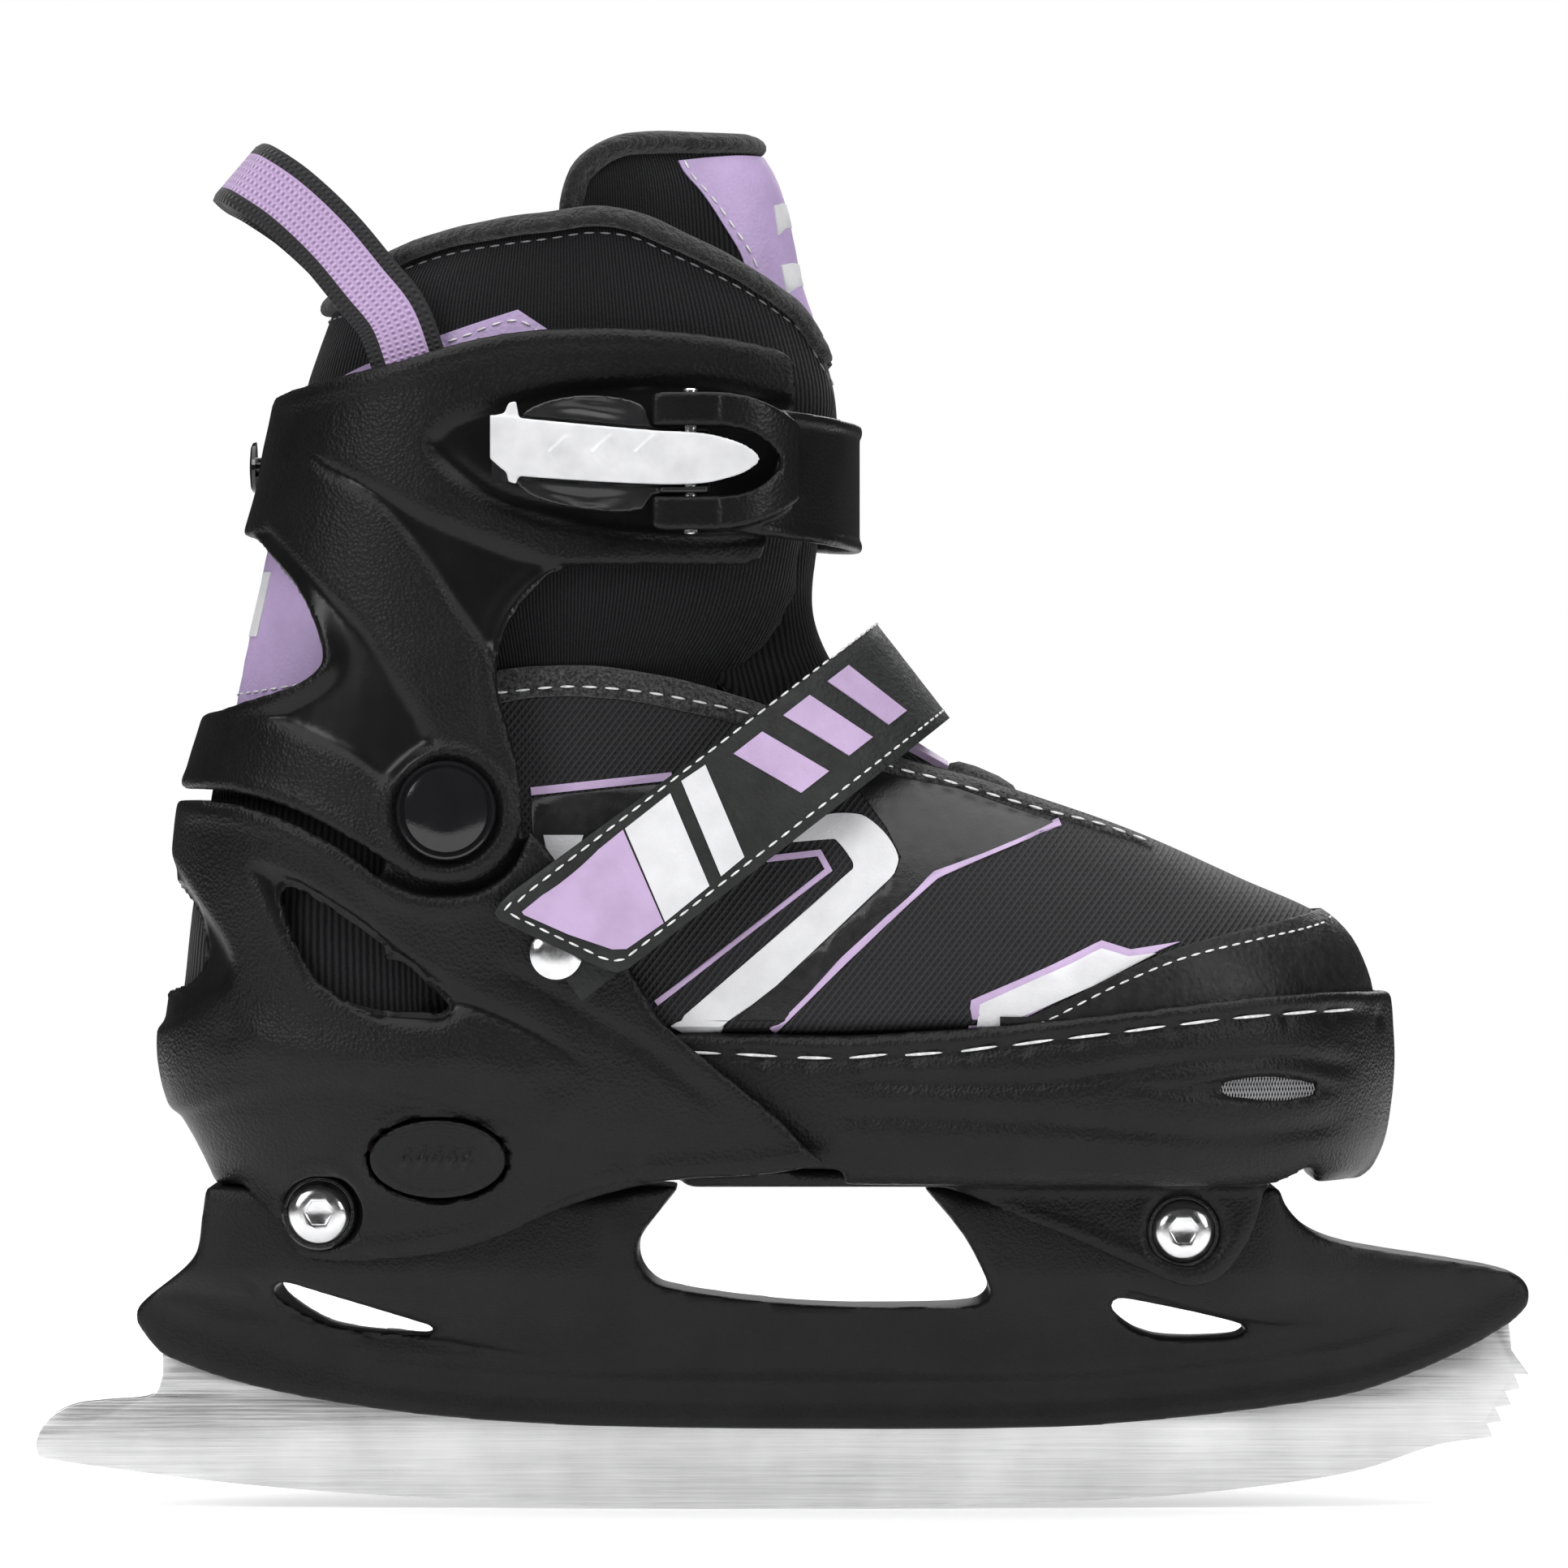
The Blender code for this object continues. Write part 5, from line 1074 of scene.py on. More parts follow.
make_blade()
make_holder()
make_base_shell()
make_button()
make_button_coil()
make_bolts()
make_toe_shell()
make_cuff()
make_pivots()


# ---------------------------------------------------------------- sewing and soft shapes

def stitch_tree():
    """Rows of thread: short stitches at a pitch along each seam line."""
    tree = bpy.data.node_groups.new("stitch_row", "GeometryNodeTree")
    sockets = {name: tree.interface.new_socket(name, in_out=way, socket_type=kind) for name, way, kind in (
        ("Seam", "INPUT", "NodeSocketGeometry"), ("Pitch", "INPUT", "NodeSocketFloat"),
        ("Length", "INPUT", "NodeSocketFloat"), ("Radius", "INPUT", "NodeSocketFloat"),
        ("Thread", "INPUT", "NodeSocketMaterial"), ("Stitches", "OUTPUT", "NodeSocketGeometry"))}
    start, end = tree.nodes.new("NodeGroupInput"), tree.nodes.new("NodeGroupOutput")
    seam = tree.nodes.new("GeometryNodeMeshToCurve")
    spots = tree.nodes.new("GeometryNodeCurveToPoints")
    spots.mode = "LENGTH"
    bead = tree.nodes.new("GeometryNodeMeshUVSphere")
    bead.inputs["Segments"].default_value = 6
    bead.inputs["Rings"].default_value = 5
    bead.inputs["Radius"].default_value = 1.0
    halved = tree.nodes.new("ShaderNodeMath")
    halved.operation = "MULTIPLY"
    halved.inputs[1].default_value = 0.5
    size = tree.nodes.new("ShaderNodeCombineXYZ")
    placed = tree.nodes.new("GeometryNodeInstanceOnPoints")
    real = tree.nodes.new("GeometryNodeRealizeInstances")
    painted = tree.nodes.new("GeometryNodeSetMaterial")
    for source, target in (
            (start.outputs["Seam"], seam.inputs["Mesh"]), (seam.outputs["Curve"], spots.inputs["Curve"]),
            (start.outputs["Pitch"], spots.inputs["Length"]), (start.outputs["Length"], halved.inputs[0]),
            (start.outputs["Radius"], size.inputs["X"]), (start.outputs["Radius"], size.inputs["Y"]),
            (halved.outputs[0], size.inputs["Z"]), (spots.outputs["Points"], placed.inputs["Points"]),
            (spots.outputs["Rotation"], placed.inputs["Rotation"]), (bead.outputs["Mesh"], placed.inputs["Instance"]),
            (size.outputs["Vector"], placed.inputs["Scale"]), (placed.outputs["Instances"], real.inputs["Geometry"]),
            (real.outputs["Geometry"], painted.inputs["Geometry"]),
            (start.outputs["Thread"], painted.inputs["Material"]),
            (painted.outputs["Geometry"], end.inputs["Stitches"])):
        tree.links.new(source, target)
    return tree, {name: socket.identifier for name, socket in sockets.items()}


STITCH_TREE, STITCH_INPUTS = stitch_tree()


def stitched(name, seams, pitch, length, radius, thread):
    """A piece of thread stitches along seams, each a list of millimetre points."""
    verts, edges = [], []
    for seam in seams:
        edges += [(len(verts) + k, len(verts) + k + 1) for k in range(len(seam) - 1)]
        verts += [Vector(p) * MM for p in seam]
    mesh = bpy.data.meshes.new(name)
    mesh.from_pydata(verts, edges, [])
    obj = bpy.data.objects.new(name, mesh)
    bpy.context.scene.collection.objects.link(obj)
    modifier = obj.modifiers.new("stitch_row", "NODES")
    modifier.node_group = STITCH_TREE
    for key, value in (("Pitch", pitch * MM), ("Length", length * MM), ("Radius", radius * MM), ("Thread", thread)):
        modifier[STITCH_INPUTS[key]] = value
    baked(obj)
    return shaded(obj, 80)


def puckered(obj, size, height):
    """Small soft waves, as cloth has."""
    mesh = obj.data
    spots, normals = coordinates(mesh) / MM, coordinates(mesh, "normals")
    wave = (np.sin(spots[:, 0] / size + 1.3 * np.sin(spots[:, 2] / size * 0.8))
            * np.cos(spots[:, 2] / size * 1.1 + np.sin(spots[:, 1] / size)))
    mesh.vertices.foreach_set("co", ((spots + normals * (wave * height)[:, None]) * MM).astype(np.float32).ravel())
    mesh.update()
    return obj


PADDING_PRESSURE = 4.0
PADDING_FRAMES = 20


def puffed(obj, voxel, most):
    """Swells a padded piece with a short cloth simulation; no point moves further than most."""
    modified(obj, "REMESH", mode="VOXEL", voxel_size=voxel * MM, use_smooth_shade=True)
    modified(obj, "SMOOTH", factor=0.5, iterations=2)
    baked(obj)
    before = coordinates(obj.data)
    cloth = obj.modifiers.new("Cloth", "CLOTH")
    cloth.settings.use_pressure = True
    cloth.settings.uniform_pressure_force = PADDING_PRESSURE
    cloth.settings.effector_weights.gravity = 0
    cloth.settings.quality = 4
    cloth.collision_settings.use_collision = False
    for number in range(1, PADDING_FRAMES + 1):
        bpy.context.scene.frame_set(number)
    baked(obj)
    bpy.context.scene.frame_set(1)
    move = coordinates(obj.data) - before
    size = np.maximum(np.linalg.norm(move, axis=1), 1e-9)
    after = before + move * np.minimum(1, most * MM / size)[:, None]
    obj.data.vertices.foreach_set("co", after.astype(np.float32).ravel())
    obj.data.update()
    modified(obj, "SUBSURF", levels=1, render_levels=1)
    return shaded(baked(obj), 180)


def on_upper(obj, finish, *nodes):
    return dress_bent(obj, finish, ("chassis", "toe"), TOE_BLEND, *nodes)


def on_ankle(obj, finish, *nodes):
    return dress_bent(obj, finish, ("chassis", "cuff"), ANKLE_BLEND, *nodes)


# ---------------------------------------------------------------- upper

UPPER_WIDE = profile((-62, 34.8), (-20, 35), (0, 36.5), (20, 38.6), (34, 39.6), (48, 41), (60, 41.4), (80, 40.2),
                     (94, 35.3), (104, 27.9), (112, 19), (117.5, 7), (118.8, 0))
UPPER_TUCK = profile((-62, 31), (20, 31), (34, 33.5), (48, 38.5), (60, 40), (80, 39), (94, 34.3), (104, 27),
                     (112, 18.2), (117.5, 6.6), (118.8, 0))
THROAT_GAP = profile((-62, 30), (-20, 28), (0, 22), (20, 16.5), (34, 14), (55, 11), (70, 5.5), (74.4, 0.8),
                     (75, 0), (120, 0))
UPPER_EDGE = profile((-62, 168), (-50, 170), (-41.5, 170.3), (-28.8, 169), (-16.2, 166.3), (-6.7, 163.5),
                     (8, 158), (21.5, 153), (32, 150.4), (41, 148), (54, 143.8), (66, 139.6), (75, 136),
                     (93, 128), (108, 121.3), (114, 116), (117.5, 109), (118.8, 104))
RAND_EDGE = profile((43, 99.2), (46.9, 100.3), (53.5, 102.8), (60, 106.2), (68.3, 110.2), (79.9, 114.7), (96.4, 118.5),
                    (104, 120.0), (110.4, 121.6), (119, 124))
SHOULDER = 100.0


def upper_section(x, top=1e9, rows=34):
    """Half of the upper's outer section at x, from its upper edge down: (half width, height) points."""
    wide, gap, edge = (max(float(f(x)), 0.0) for f in (UPPER_WIDE, THROAT_GAP, UPPER_EDGE))
    lean = min(1.0, gap / wide if wide > 0.05 else 0.0) ** (1 / 0.9)
    reach = math.acos(lean)
    crown = SHOULDER + (edge - SHOULDER) / math.sin(reach) ** 0.9
    share = min(1.0, max(0.02, (top - SHOULDER) / (crown - SHOULDER)))
    start = min(reach, math.asin(share ** (1 / 0.9)))
    if crown <= top + 0.6:
        start = reach
    section = []
    for k in range(rows):
        turn = start * (1 - k / (rows - 1)) ** 1.25
        section.append((wide * max(0.0, math.cos(turn)) ** 0.9,
                        SHOULDER + (crown - SHOULDER) * max(0.0, math.sin(turn)) ** 0.9))
    tuck = max(0.0, float(UPPER_TUCK(x)))
    section[0] = (0.0 if gap == 0 and start == reach else section[0][0], section[0][1])
    return section + [(wide + (tuck - wide) * share, z) for z, share in (
        (99.2, 0.1), (98.2, 0.45), (97.2, 0.9), (95, 1))] + [(max(0.0, tuck - drop), z) for z, drop in (
            (91, 0), (87, 0), (83, 0.3), (79.5, 1.6), (76.5, 4.0))]


def upper_sheet(name, stations, top=None):
    """Both halves of a sheet on the upper's outer surface, joined where they meet over the toes."""
    verts, faces = [], []
    for side in (OUTER, INNER):
        first = len(verts)
        for x in stations:
            section = upper_section(x, float(top(x)) if top else 1e9)
            verts += [(x, side * y, z) for y, z in section]
        rows = len(section)
        faces += [[first + i * rows + k, first + i * rows + k + 1, first + (i + 1) * rows + k + 1,
                   first + (i + 1) * rows + k] for i in range(len(stations) - 1) for k in range(rows - 1)]
    sheet = piece(name, verts, faces, 60)
    side_vert = min(sheet.data.vertices, key=lambda v: v.co.y)
    if side_vert.normal.y > 0:
        sheet.data.flip_normals()
    return sheet


TOE_STATIONS = [101, 103, 105, 107, 108.5, 110, 111.5, 113, 114.3, 115.5, 116.5, 117.3, 118, 118.5, 118.8]


def make_upper():
    upper = upper_sheet("woven_upper", list(steps_between(-62, 99, 2.3)) + TOE_STATIONS)
    puckered(upper, 13.0, 0.28)
    modified(upper, "SOLIDIFY", thickness=2.2 * MM, offset=-1)
    baked(upper)
    cut(upper, side_prism("button_room", button_loop(1.2), -46, -18))
    return shaded(upper, 50)


def make_rand():
    rand = upper_sheet("toe_rand", list(steps_between(43, 99, 2.0)) + TOE_STATIONS, RAND_EDGE)
    modified(rand, "SOLIDIFY", thickness=1.2 * MM, offset=1)
    return eased(shaded(baked(rand), 50), 0.35, 2, 50)


upper = make_upper()
UPPER = Skin(upper)
on_upper(upper, CLOTH, "quarter", "vamp")
rand = make_rand()
RAND_SKIN = Skin(rand)
dress(rand, RAND, "toe", "toe_cap")

J_STRIPE = [(2, 139.5), (6.5, 140.2), (9.1, 141.1), (13.5, 141.2), (16.3, 140.5), (19.8, 137.6), (22, 134.5),
            (22.8, 132), (22, 129.4), (21, 128.2), (-13, 97.5), (-20, 97.7), (-22.5, 99.1), (12.8, 129.4),
            (13.8, 130.4), (13.5, 132), (10.3, 136.1), (9.1, 136.2), (1.8, 135.6)]
BLACK_FIELD = [(-12.2, 98.0), (22.1, 129.0), (23.4, 132.5), (20.5, 138.4), (12, 150), (22, 151), (55.4, 139.0),
               (30.4, 128.6), (-1.8, 98.2)]
SIDE_FIELD = [(-50.5, 144.4), (-22.4, 147.4), (-18, 143), (-50.0, 134.0)]
BADGE = [(36.7, 98.9), (37.2, 104.2), (63.1, 116), (68.9, 114.2), (78.9, 115.7), (67.8, 110.9), (61.3, 107.5),
         (48.3, 101.0), (42.3, 99.0)]
BADGE_INSIDE = [(38.4, 99.3), (39.0, 103.4), (63.1, 114.4), (68.4, 112.8), (74.0, 113.4), (61.3, 107.0),
                (48.3, 101.4), (43.0, 99.4)]


def upper_film(name, loop, side, finish, thickness):
    points = [Vector(p) for p in loop]
    return on_upper(film(name, points, lambda x, z: UPPER.beside(x, z, side), thickness), finish)


def make_upper_graphics():
    for label, side in (("outer", OUTER), ("inner", INNER)):
        for name, loop, finish, thickness in (
                ("black_field", BLACK_FIELD, BLACK_FILM, 0.22), ("side_field", SIDE_FIELD, BLACK_FILM, 0.22),
                ("hook_stripe", outline(J_STRIPE[:9], J_STRIPE[8:12], J_STRIPE[11:13], J_STRIPE[12:14],
                                        J_STRIPE[13:], steps=3), WHITE_FILM, 0.38),
                ("inner_line", band([(-3.5, 132.2), (7, 133.4), (8.9, 130), (-25.5, 103.5)], 1.2), LILAC, 0.4),
                ("long_line", band([(-2.3, 98.2), (12.2, 112.3), (30.3, 129), (55.3, 139.4)], 1.5), LILAC, 0.4),
                ("side_line", band([(-50.5, 145.7), (-22.4, 148.7)], 1.6), LILAC, 0.4),
                ("side_block", [(-48, 137), (-40, 137), (-42, 131), (-47, 132)], WHITE_FILM, 0.38),
                ("badge_edge", BADGE, LILAC, 0.4), ("badge_field", BADGE_INSIDE, WHITE_FILM, 0.6)):
            upper_film(f"{name}_{label}", loop, side, finish, thickness)


TRIM_REAR = [(-62, 167), (-56.6, 168), (-50, 169), (-41.5, 169.2), (-28.8, 168), (-16.2, 165.3), (-6.7, 162.5),
             (8, 157.2), (21.5, 152.3), (30, 150.2), (41, 147.4), (53.9, 143), (65.9, 139), (71, 137.2),
             (74.0, 135.6)]
THROAT_SEAM = [(-56.6, 166.4), (-42.7, 167.6), (-28.8, 166.6), (-16.2, 164.2), (-6.7, 161.6), (8, 155.8),
               (21.5, 150.8), (32.1, 148), (41.8, 145), (52, 142), (63.1, 139.2), (71.0, 136.4)]


def make_throat_trim():
    """Pile binding round the throat, with two rows of thread."""
    seams = []
    for label, side in (("outer", OUTER), ("inner", INNER)):
        spots, normals = [], []
        for p in through(TRIM_REAR, 8):
            place, normal = UPPER.beside(p.x, p.y - 1.4, side, 0.1)
            spots.append(place)
            normals.append(normal)
        trim = swept("throat_trim_" + label, spots, normals,
                     lambda t: oval(float(np.interp(t, (0, 0.5, 0.9, 1), (3.3, 3.0, 1.9, 0.9))),
                                    float(np.interp(t, (0, 0.9, 1), (1.5, 1.2, 0.7))), 18))
        on_upper(puckered(trim, 3.0, 0.12), PILE)
        seam = []
        for p in through(THROAT_SEAM, 8):
            place, normal = UPPER.beside(p.x, p.y - 1.2, side)
            seam.append(place + normal * 1.45)
        seams.append(seam)
    on_upper(stitched("throat_stitches", seams, 4.4, 3.0, 0.28, THREAD), THREAD)


def make_rand_stitches():
    seams = []
    for side in (OUTER, INNER):
        seams.append([RAND_SKIN.beside(x, float(RAND_EDGE(x)) - 2.0, side, 0.12)[0]
                      for x in steps_between(45, 108.6, 1.0)])
    front = [RAND_SKIN.above(111.2 - 0.012 * y * y, y, 0.12)[0] for y in np.linspace(-8, 8, 14)]
    seams.append(front)
    dress(stitched("rand_stitches", seams, 3.1, 2.2, 0.24, THREAD), THREAD, "toe")


def make_shell_stitches():
    """The long stitches in the groove under the toe shell's rim."""
    skin = Skin(bpy.data.objects["toe_shell_body"])
    seams = [[skin.beside(p.x, p.y, side, 0.35)[0] for p in through(TOE_RIM, 8)[:-7]] for side in (OUTER, INNER)]
    dress(stitched("shell_rim_stitches", seams, 10.5, 8.6, 0.34, THREAD), THREAD, "toe")


make_upper_graphics()
make_throat_trim()
make_rand_stitches()
make_shell_stitches()

# ---------------------------------------------------------------- sock

SHAFT_REAR = profile((150, -113.5), (161, -111.5), (180, -107), (197, -103.8), (213, -99.5), (227, -97.5),
                     (238, -93.8), (246, -90.5), (255, -80), (262, -70))
SHAFT_FRONT = profile((146, -8), (165, -2), (180, 5), (195, 8.0), (208, 10.5), (220, 13.5), (227, 14.0), (235, 11.4),
                      (245, 6.5), (262, -8))
SHAFT_HALF = profile((146, 27.0), (164, 27.5), (172, 29.0), (182, 34.5), (192, 37.0), (200, 37.4),
                     (220, 36.6), (240, 34.6), (262, 30.0))
COLLAR = [(3.1, 243.5), (-5.9, 249.6), (-17.5, 256.0), (-29.0, 259.6), (-42.7, 260.8), (-53.8, 259.6),
          (-67.0, 257.4), (-78.5, 253.6), (-92, 246.5), (-104, 238)]


def shaft_envelope(name, inset, low, high):
    return loft(name, [oval_ring(z, float(SHAFT_REAR(z)) + inset, float(SHAFT_FRONT(z)) - inset,
                                 float(SHAFT_HALF(z)) - inset, 2.25) for z in steps_between(low, high, 4)])


def make_sock_shaft():
    """The padded shaft of the inner boot, open at the front for the tongue."""
    shaft = shaft_envelope("sock_shaft", 0.6, 146, 262)
    cut(shaft, shaft_envelope("shaft_inside", 6.6, 140, 270))
    side_view = outline([(-130, 146), (-97, 146)], [(-97, 146), (-60, 151), (-25, 153), (2, 163)],
                        [(2, 163), (13, 206)], [(13, 206), (13, 226)], [(13, 226)] + COLLAR,
                        [(-104, 238), (-130, 230)], [(-130, 230), (-130, 146)])
    keep(shaft, side_prism("shaft_side_view", side_view, -60, 60))
    opening = [(-19, -16), (-8, -12.5), (30, -12), (30, 12), (-8, 12.5), (-19, 16)]
    cut(shaft, plan_prism("tongue_opening", opening, 130, 280))
    return puffed(shaft, 2.6, 1.2)


def make_sock_foot():
    rings_out, rings_in = [], []
    heel = profile((77.6, 25.0), (81, 26.0), (86, 30), (95, 33), (110, 33.8), (130, 33.8), (170, 32.0))
    fore = profile((77.6, 24.8), (81, 26.0), (97, 27.6), (104, 30.6), (125, 31.0), (170, 26.5))
    rise = profile((77, 8), (90, 1), (110, 0.3), (125, 1), (170, 6))
    for z in steps_between(77.6, 170, 4):
        rear = float(BASE_REAR(min(z, 141))) + SHELL_WALL + 1.2 + float(rise(z))
        half_rear, half_front = float(heel(z)), float(fore(z))
        rings_out.append(u_ring(z, rear, [(-72, half_rear), (-63.5, half_front), (-30, half_front),
                                          (0, half_front), (32, half_front)]))
        rings_in.append(u_ring(z + (4 if z > 168 else -4 if z < 78 else 0), rear + 3.2,
                               [(-72, half_rear - 3.2), (-63.5, half_front - 2.6), (-30, half_front - 2.6),
                                (0, half_front - 2.6), (40, half_front - 2.6)]))
    foot = loft("sock_foot", rings_out)
    cut(foot, loft("sock_foot_inside", rings_in))
    top = outline([(-140, 148.6), (-97, 148.6), (-78, 160), (-62, 160), (-40, 150), (0, 132), (31.5, 122)],
                  [(31.5, 122), (31.5, 70)], [(31.5, 70), (-140, 70)], [(-140, 70), (-140, 148.6)])
    keep(foot, side_prism("sock_foot_side_view", top, -60, 60))
    return moulded(foot, 1.6, 2)


shaft = make_sock_shaft()
SHAFT = Skin(shaft)
on_ankle(shaft, KNIT, "liner_shaft")
dress(make_sock_foot(), KNIT, "chassis", "liner_foot")

COLLAR_RIM = [(-88.4, 248.8), (-78.5, 254.1), (-67, 257.9), (-53.8, 260), (-47.2, 260.8), (-38.8, 262), (-30.4, 261.2),
              (-23.6, 258.2), (-14.4, 254), (-7.2, 250.2), (-0.9, 246), (3.3, 242.7), (7.1, 236.3), (10, 231.3),
              (11.1, 226.3)]


def make_collar():
    """Fleece binding round the top edge of the shaft, and its thread."""
    front = [SHAFT.beside(p.x, p.y - 4.2, OUTER, 0.0) for p in through(COLLAR_RIM, 5)]
    back_line = through([(math.radians(a), z) for a, z in ((212, 247.6), (197, 245.6), (180, 245.0), (163, 245.6),
                                                           (148, 247.6))], 6)
    back = [SHAFT.around((-45, 0), p.x, p.y - 3.6) for p in back_line]
    inner = [SHAFT.beside(p.x, p.y - 4.2, INNER, 0.0) for p in through(COLLAR_RIM, 5)]
    rim = front[::-1] + back + inner
    spots, normals = [], []
    for place, normal in rim:
        spots.append(place + Vector((0, 0, 3.0)))
        normals.append((normal + Vector((0, 0, 0.7))).normalized())
    spots = [sum(spots[max(0, k - 2):k + 3], Vector()) / len(spots[max(0, k - 2):k + 3]) for k in range(len(spots))]
    binding = swept("collar_binding", spots, normals, oval(2.6, 1.7, 16))
    dress(puckered(binding, 2.5, 0.1), FLEECE, "cuff")
    thread = [[place + normal * 0.4 + Vector((0, 0, -0.6)) for place, normal in rim[4:-4]]]
    dress(stitched("collar_stitches", thread, 3.2, 2.2, 0.2, GREY_THREAD), GREY_THREAD, "cuff")


HEEL_RADIUS = 0.62        # millimetres of cloth to a degree round the heel


def heel_place(u, z):
    return SHAFT.around((-66, 0), math.radians(180 + u / HEEL_RADIUS), z)


def make_patches():
    lower = [(u, 163.0 + 8.5 * (abs(u) / 46) ** 1.6) for u in steps_between(-46, 46, 3)]
    loop = [Vector(p) for p in lower] + [Vector((46, 201)), Vector((-46, 201))]
    on_ankle(film("heel_patch_film", loop, heel_place, 0.6, 0.4, 3.0), LILAC_PATCH, "heel_patch")
    seam = [heel_place(u, z + 2.2)[0] + heel_place(u, z + 2.2)[1] * 0.75 for u, z in lower]
    on_ankle(stitched("heel_patch_stitches", [seam], 3.0, 2.1, 0.26, THREAD), THREAD)
    bars = [[(-9, 177), (-4.5, 177), (-1.5, 190), (-6, 190)], [(1.5, 177), (6, 177), (9, 190), (4.5, 190)]]
    for number, bar in enumerate(bars):
        on_ankle(film(f"heel_bar_{number}", [Vector(p) for p in bar], heel_place, 0.85, 0.0, 2.0), WHITE_FILM)
    collar = outline([(-91, 226.4), (-88.8, 228.7), (-78.5, 233.1), (-64, 238.2), (-53, 241.7)],
                     [(-53, 241.7), (-46.9, 237.6)], [(-46.9, 237.6), (-45.5, 230), (-47.5, 222)],
                     [(-47.5, 222), (-91, 222)], [(-91, 222), (-91, 226.4)])
    for label, side in (("lateral", OUTER), ("medial", INNER)):
        patch = film("collar_patch_film_" + label, collar, lambda x, z, s=side: SHAFT.beside(x, z, s), 0.6, 0.4)
        dress(patch, LILAC_PATCH, "cuff", "collar_patch_" + label)
        line = through([(-87.0, 227.6), (-78.0, 231.4), (-64, 236.3), (-53.6, 239.5), (-48.6, 236.6), (-47.6, 231)], 6)
        seam = [place + normal * 0.75 for place, normal in (SHAFT.beside(p.x, p.y, side) for p in line)]
        dress(stitched("collar_patch_stitches_" + label, [seam], 3.0, 2.1, 0.24, THREAD), THREAD, "cuff")


def make_pull_loop():
    """Ribbed webbing from the outer side of the collar, round the back, to the inner side."""
    run = [(-74.6, -35.6, 231.0), (-78.0, -35.2, 240), (-83.5, -33.8, 247), (-91.0, -31.6, 256),
           (-99.5, -29.6, 264.0), (-106.5, -25.8, 268.8), (-109.6, -17.5, 270.2), (-110.4, 0.0, 270.6)]
    line = through(run + [(x, -y, z) for x, y, z in reversed(run[:-1])], 10)
    rings, across_values, run_values, travelled = [], [], [], 0.0
    for i, spot in enumerate(line):
        along = (line[min(i + 1, len(line) - 1)] - line[max(i - 1, 0)]).normalized()
        lean = min(1.0, max(0.0, (-74 - spot.x) / 30))
        across = Vector((0.97 - 0.32 * lean, 0.0, 0.24 + 0.52 * lean))
        across = (across - along * across.dot(along)).normalized()
        out = along.cross(across)
        shares = [k / 12 * 2 - 1 for k in range(13)]
        face = [(s, 0.8 if abs(s) < 0.99 else 0.35) for s in shares]
        ring = face + [(s, -h) for s, h in reversed(face)]
        rings.append([spot + across * 7.5 * s + out * h for s, h in ring])
        across_values += [s for s, _ in ring]
        run_values += [travelled] * len(ring)
        if i < len(line) - 1:
            travelled += (line[i + 1] - spot).length
    loop = loft("pull_loop_webbing", rings)
    tree = BVHTree.FromPolygons([Vector(p) * MM for ring in rings for p in ring],
                                [[k, k, k] for k in range(len(across_values))])
    nearest = [tree.find_nearest(v.co)[2] for v in loop.data.vertices]
    for key, values in (("across", across_values), ("run", run_values)):
        layer = loop.data.attributes.new(key, "FLOAT", "POINT")
        layer.data.foreach_set("value", [values[k] for k in nearest])
    dress(loop, WEBBING, "cuff", "pull_loop")


make_collar()
make_patches()
make_pull_loop()


# ---------------------------------------------------------------- tongue

TONGUE_WRAP = through([(0, 0), (7, 1.0), (12.8, 6.0), (16.6, 18), (20.5, 29), (22.4, 40), (22.6, 52)], 8)
TONGUE_RUN = [(84, 126.0, 5, 0.1, 2.4), (70, 133.0, 9, 0.15, 3.0), (57, 139.0, 12, 0.2, 4),
              (43, 144.8, 14, 0.25, 5), (31, 150.4, 17, 0.4, 5.5), (20.0, 158.5, 23, 0.65, 5.5),
              (11.5, 169, 31, 0.9, 6), (6.8, 181, 37, 1, 6.5), (7.0, 194, 39, 1, 6.5), (9.6, 207, 41, 1, 7),
              (10.9, 217, 44, 1, 7.5), (10.0, 228, 46, 1, 8), (5.8, 240, 50, 1, 8.5), (2.9, 250, 53, 1, 9),
              (1.2, 260, 54, 1, 9), (-0.4, 267, 51.5, 1, 8.5), (-2.4, 271.8, 47, 1, 7.5), (-4.4, 275.0, 40, 1, 6),
              (-5.8, 276.4, 33, 1, 4)]


def wrap_point(reach, curl):
    """(sideways, back) at a distance along the tongue's wrap; curl flattens it for the lower tongue."""
    travelled = 0.0
    for a, b in zip(TONGUE_WRAP, TONGUE_WRAP[1:]):
        size = (b - a).length
        if travelled + size >= reach:
            spot = a.lerp(b, (reach - travelled) / size)
            break
        travelled += size
    else:
        spot = TONGUE_WRAP[-1]
    flat = Vector((reach, 0.0))
    return flat.lerp(spot, curl)


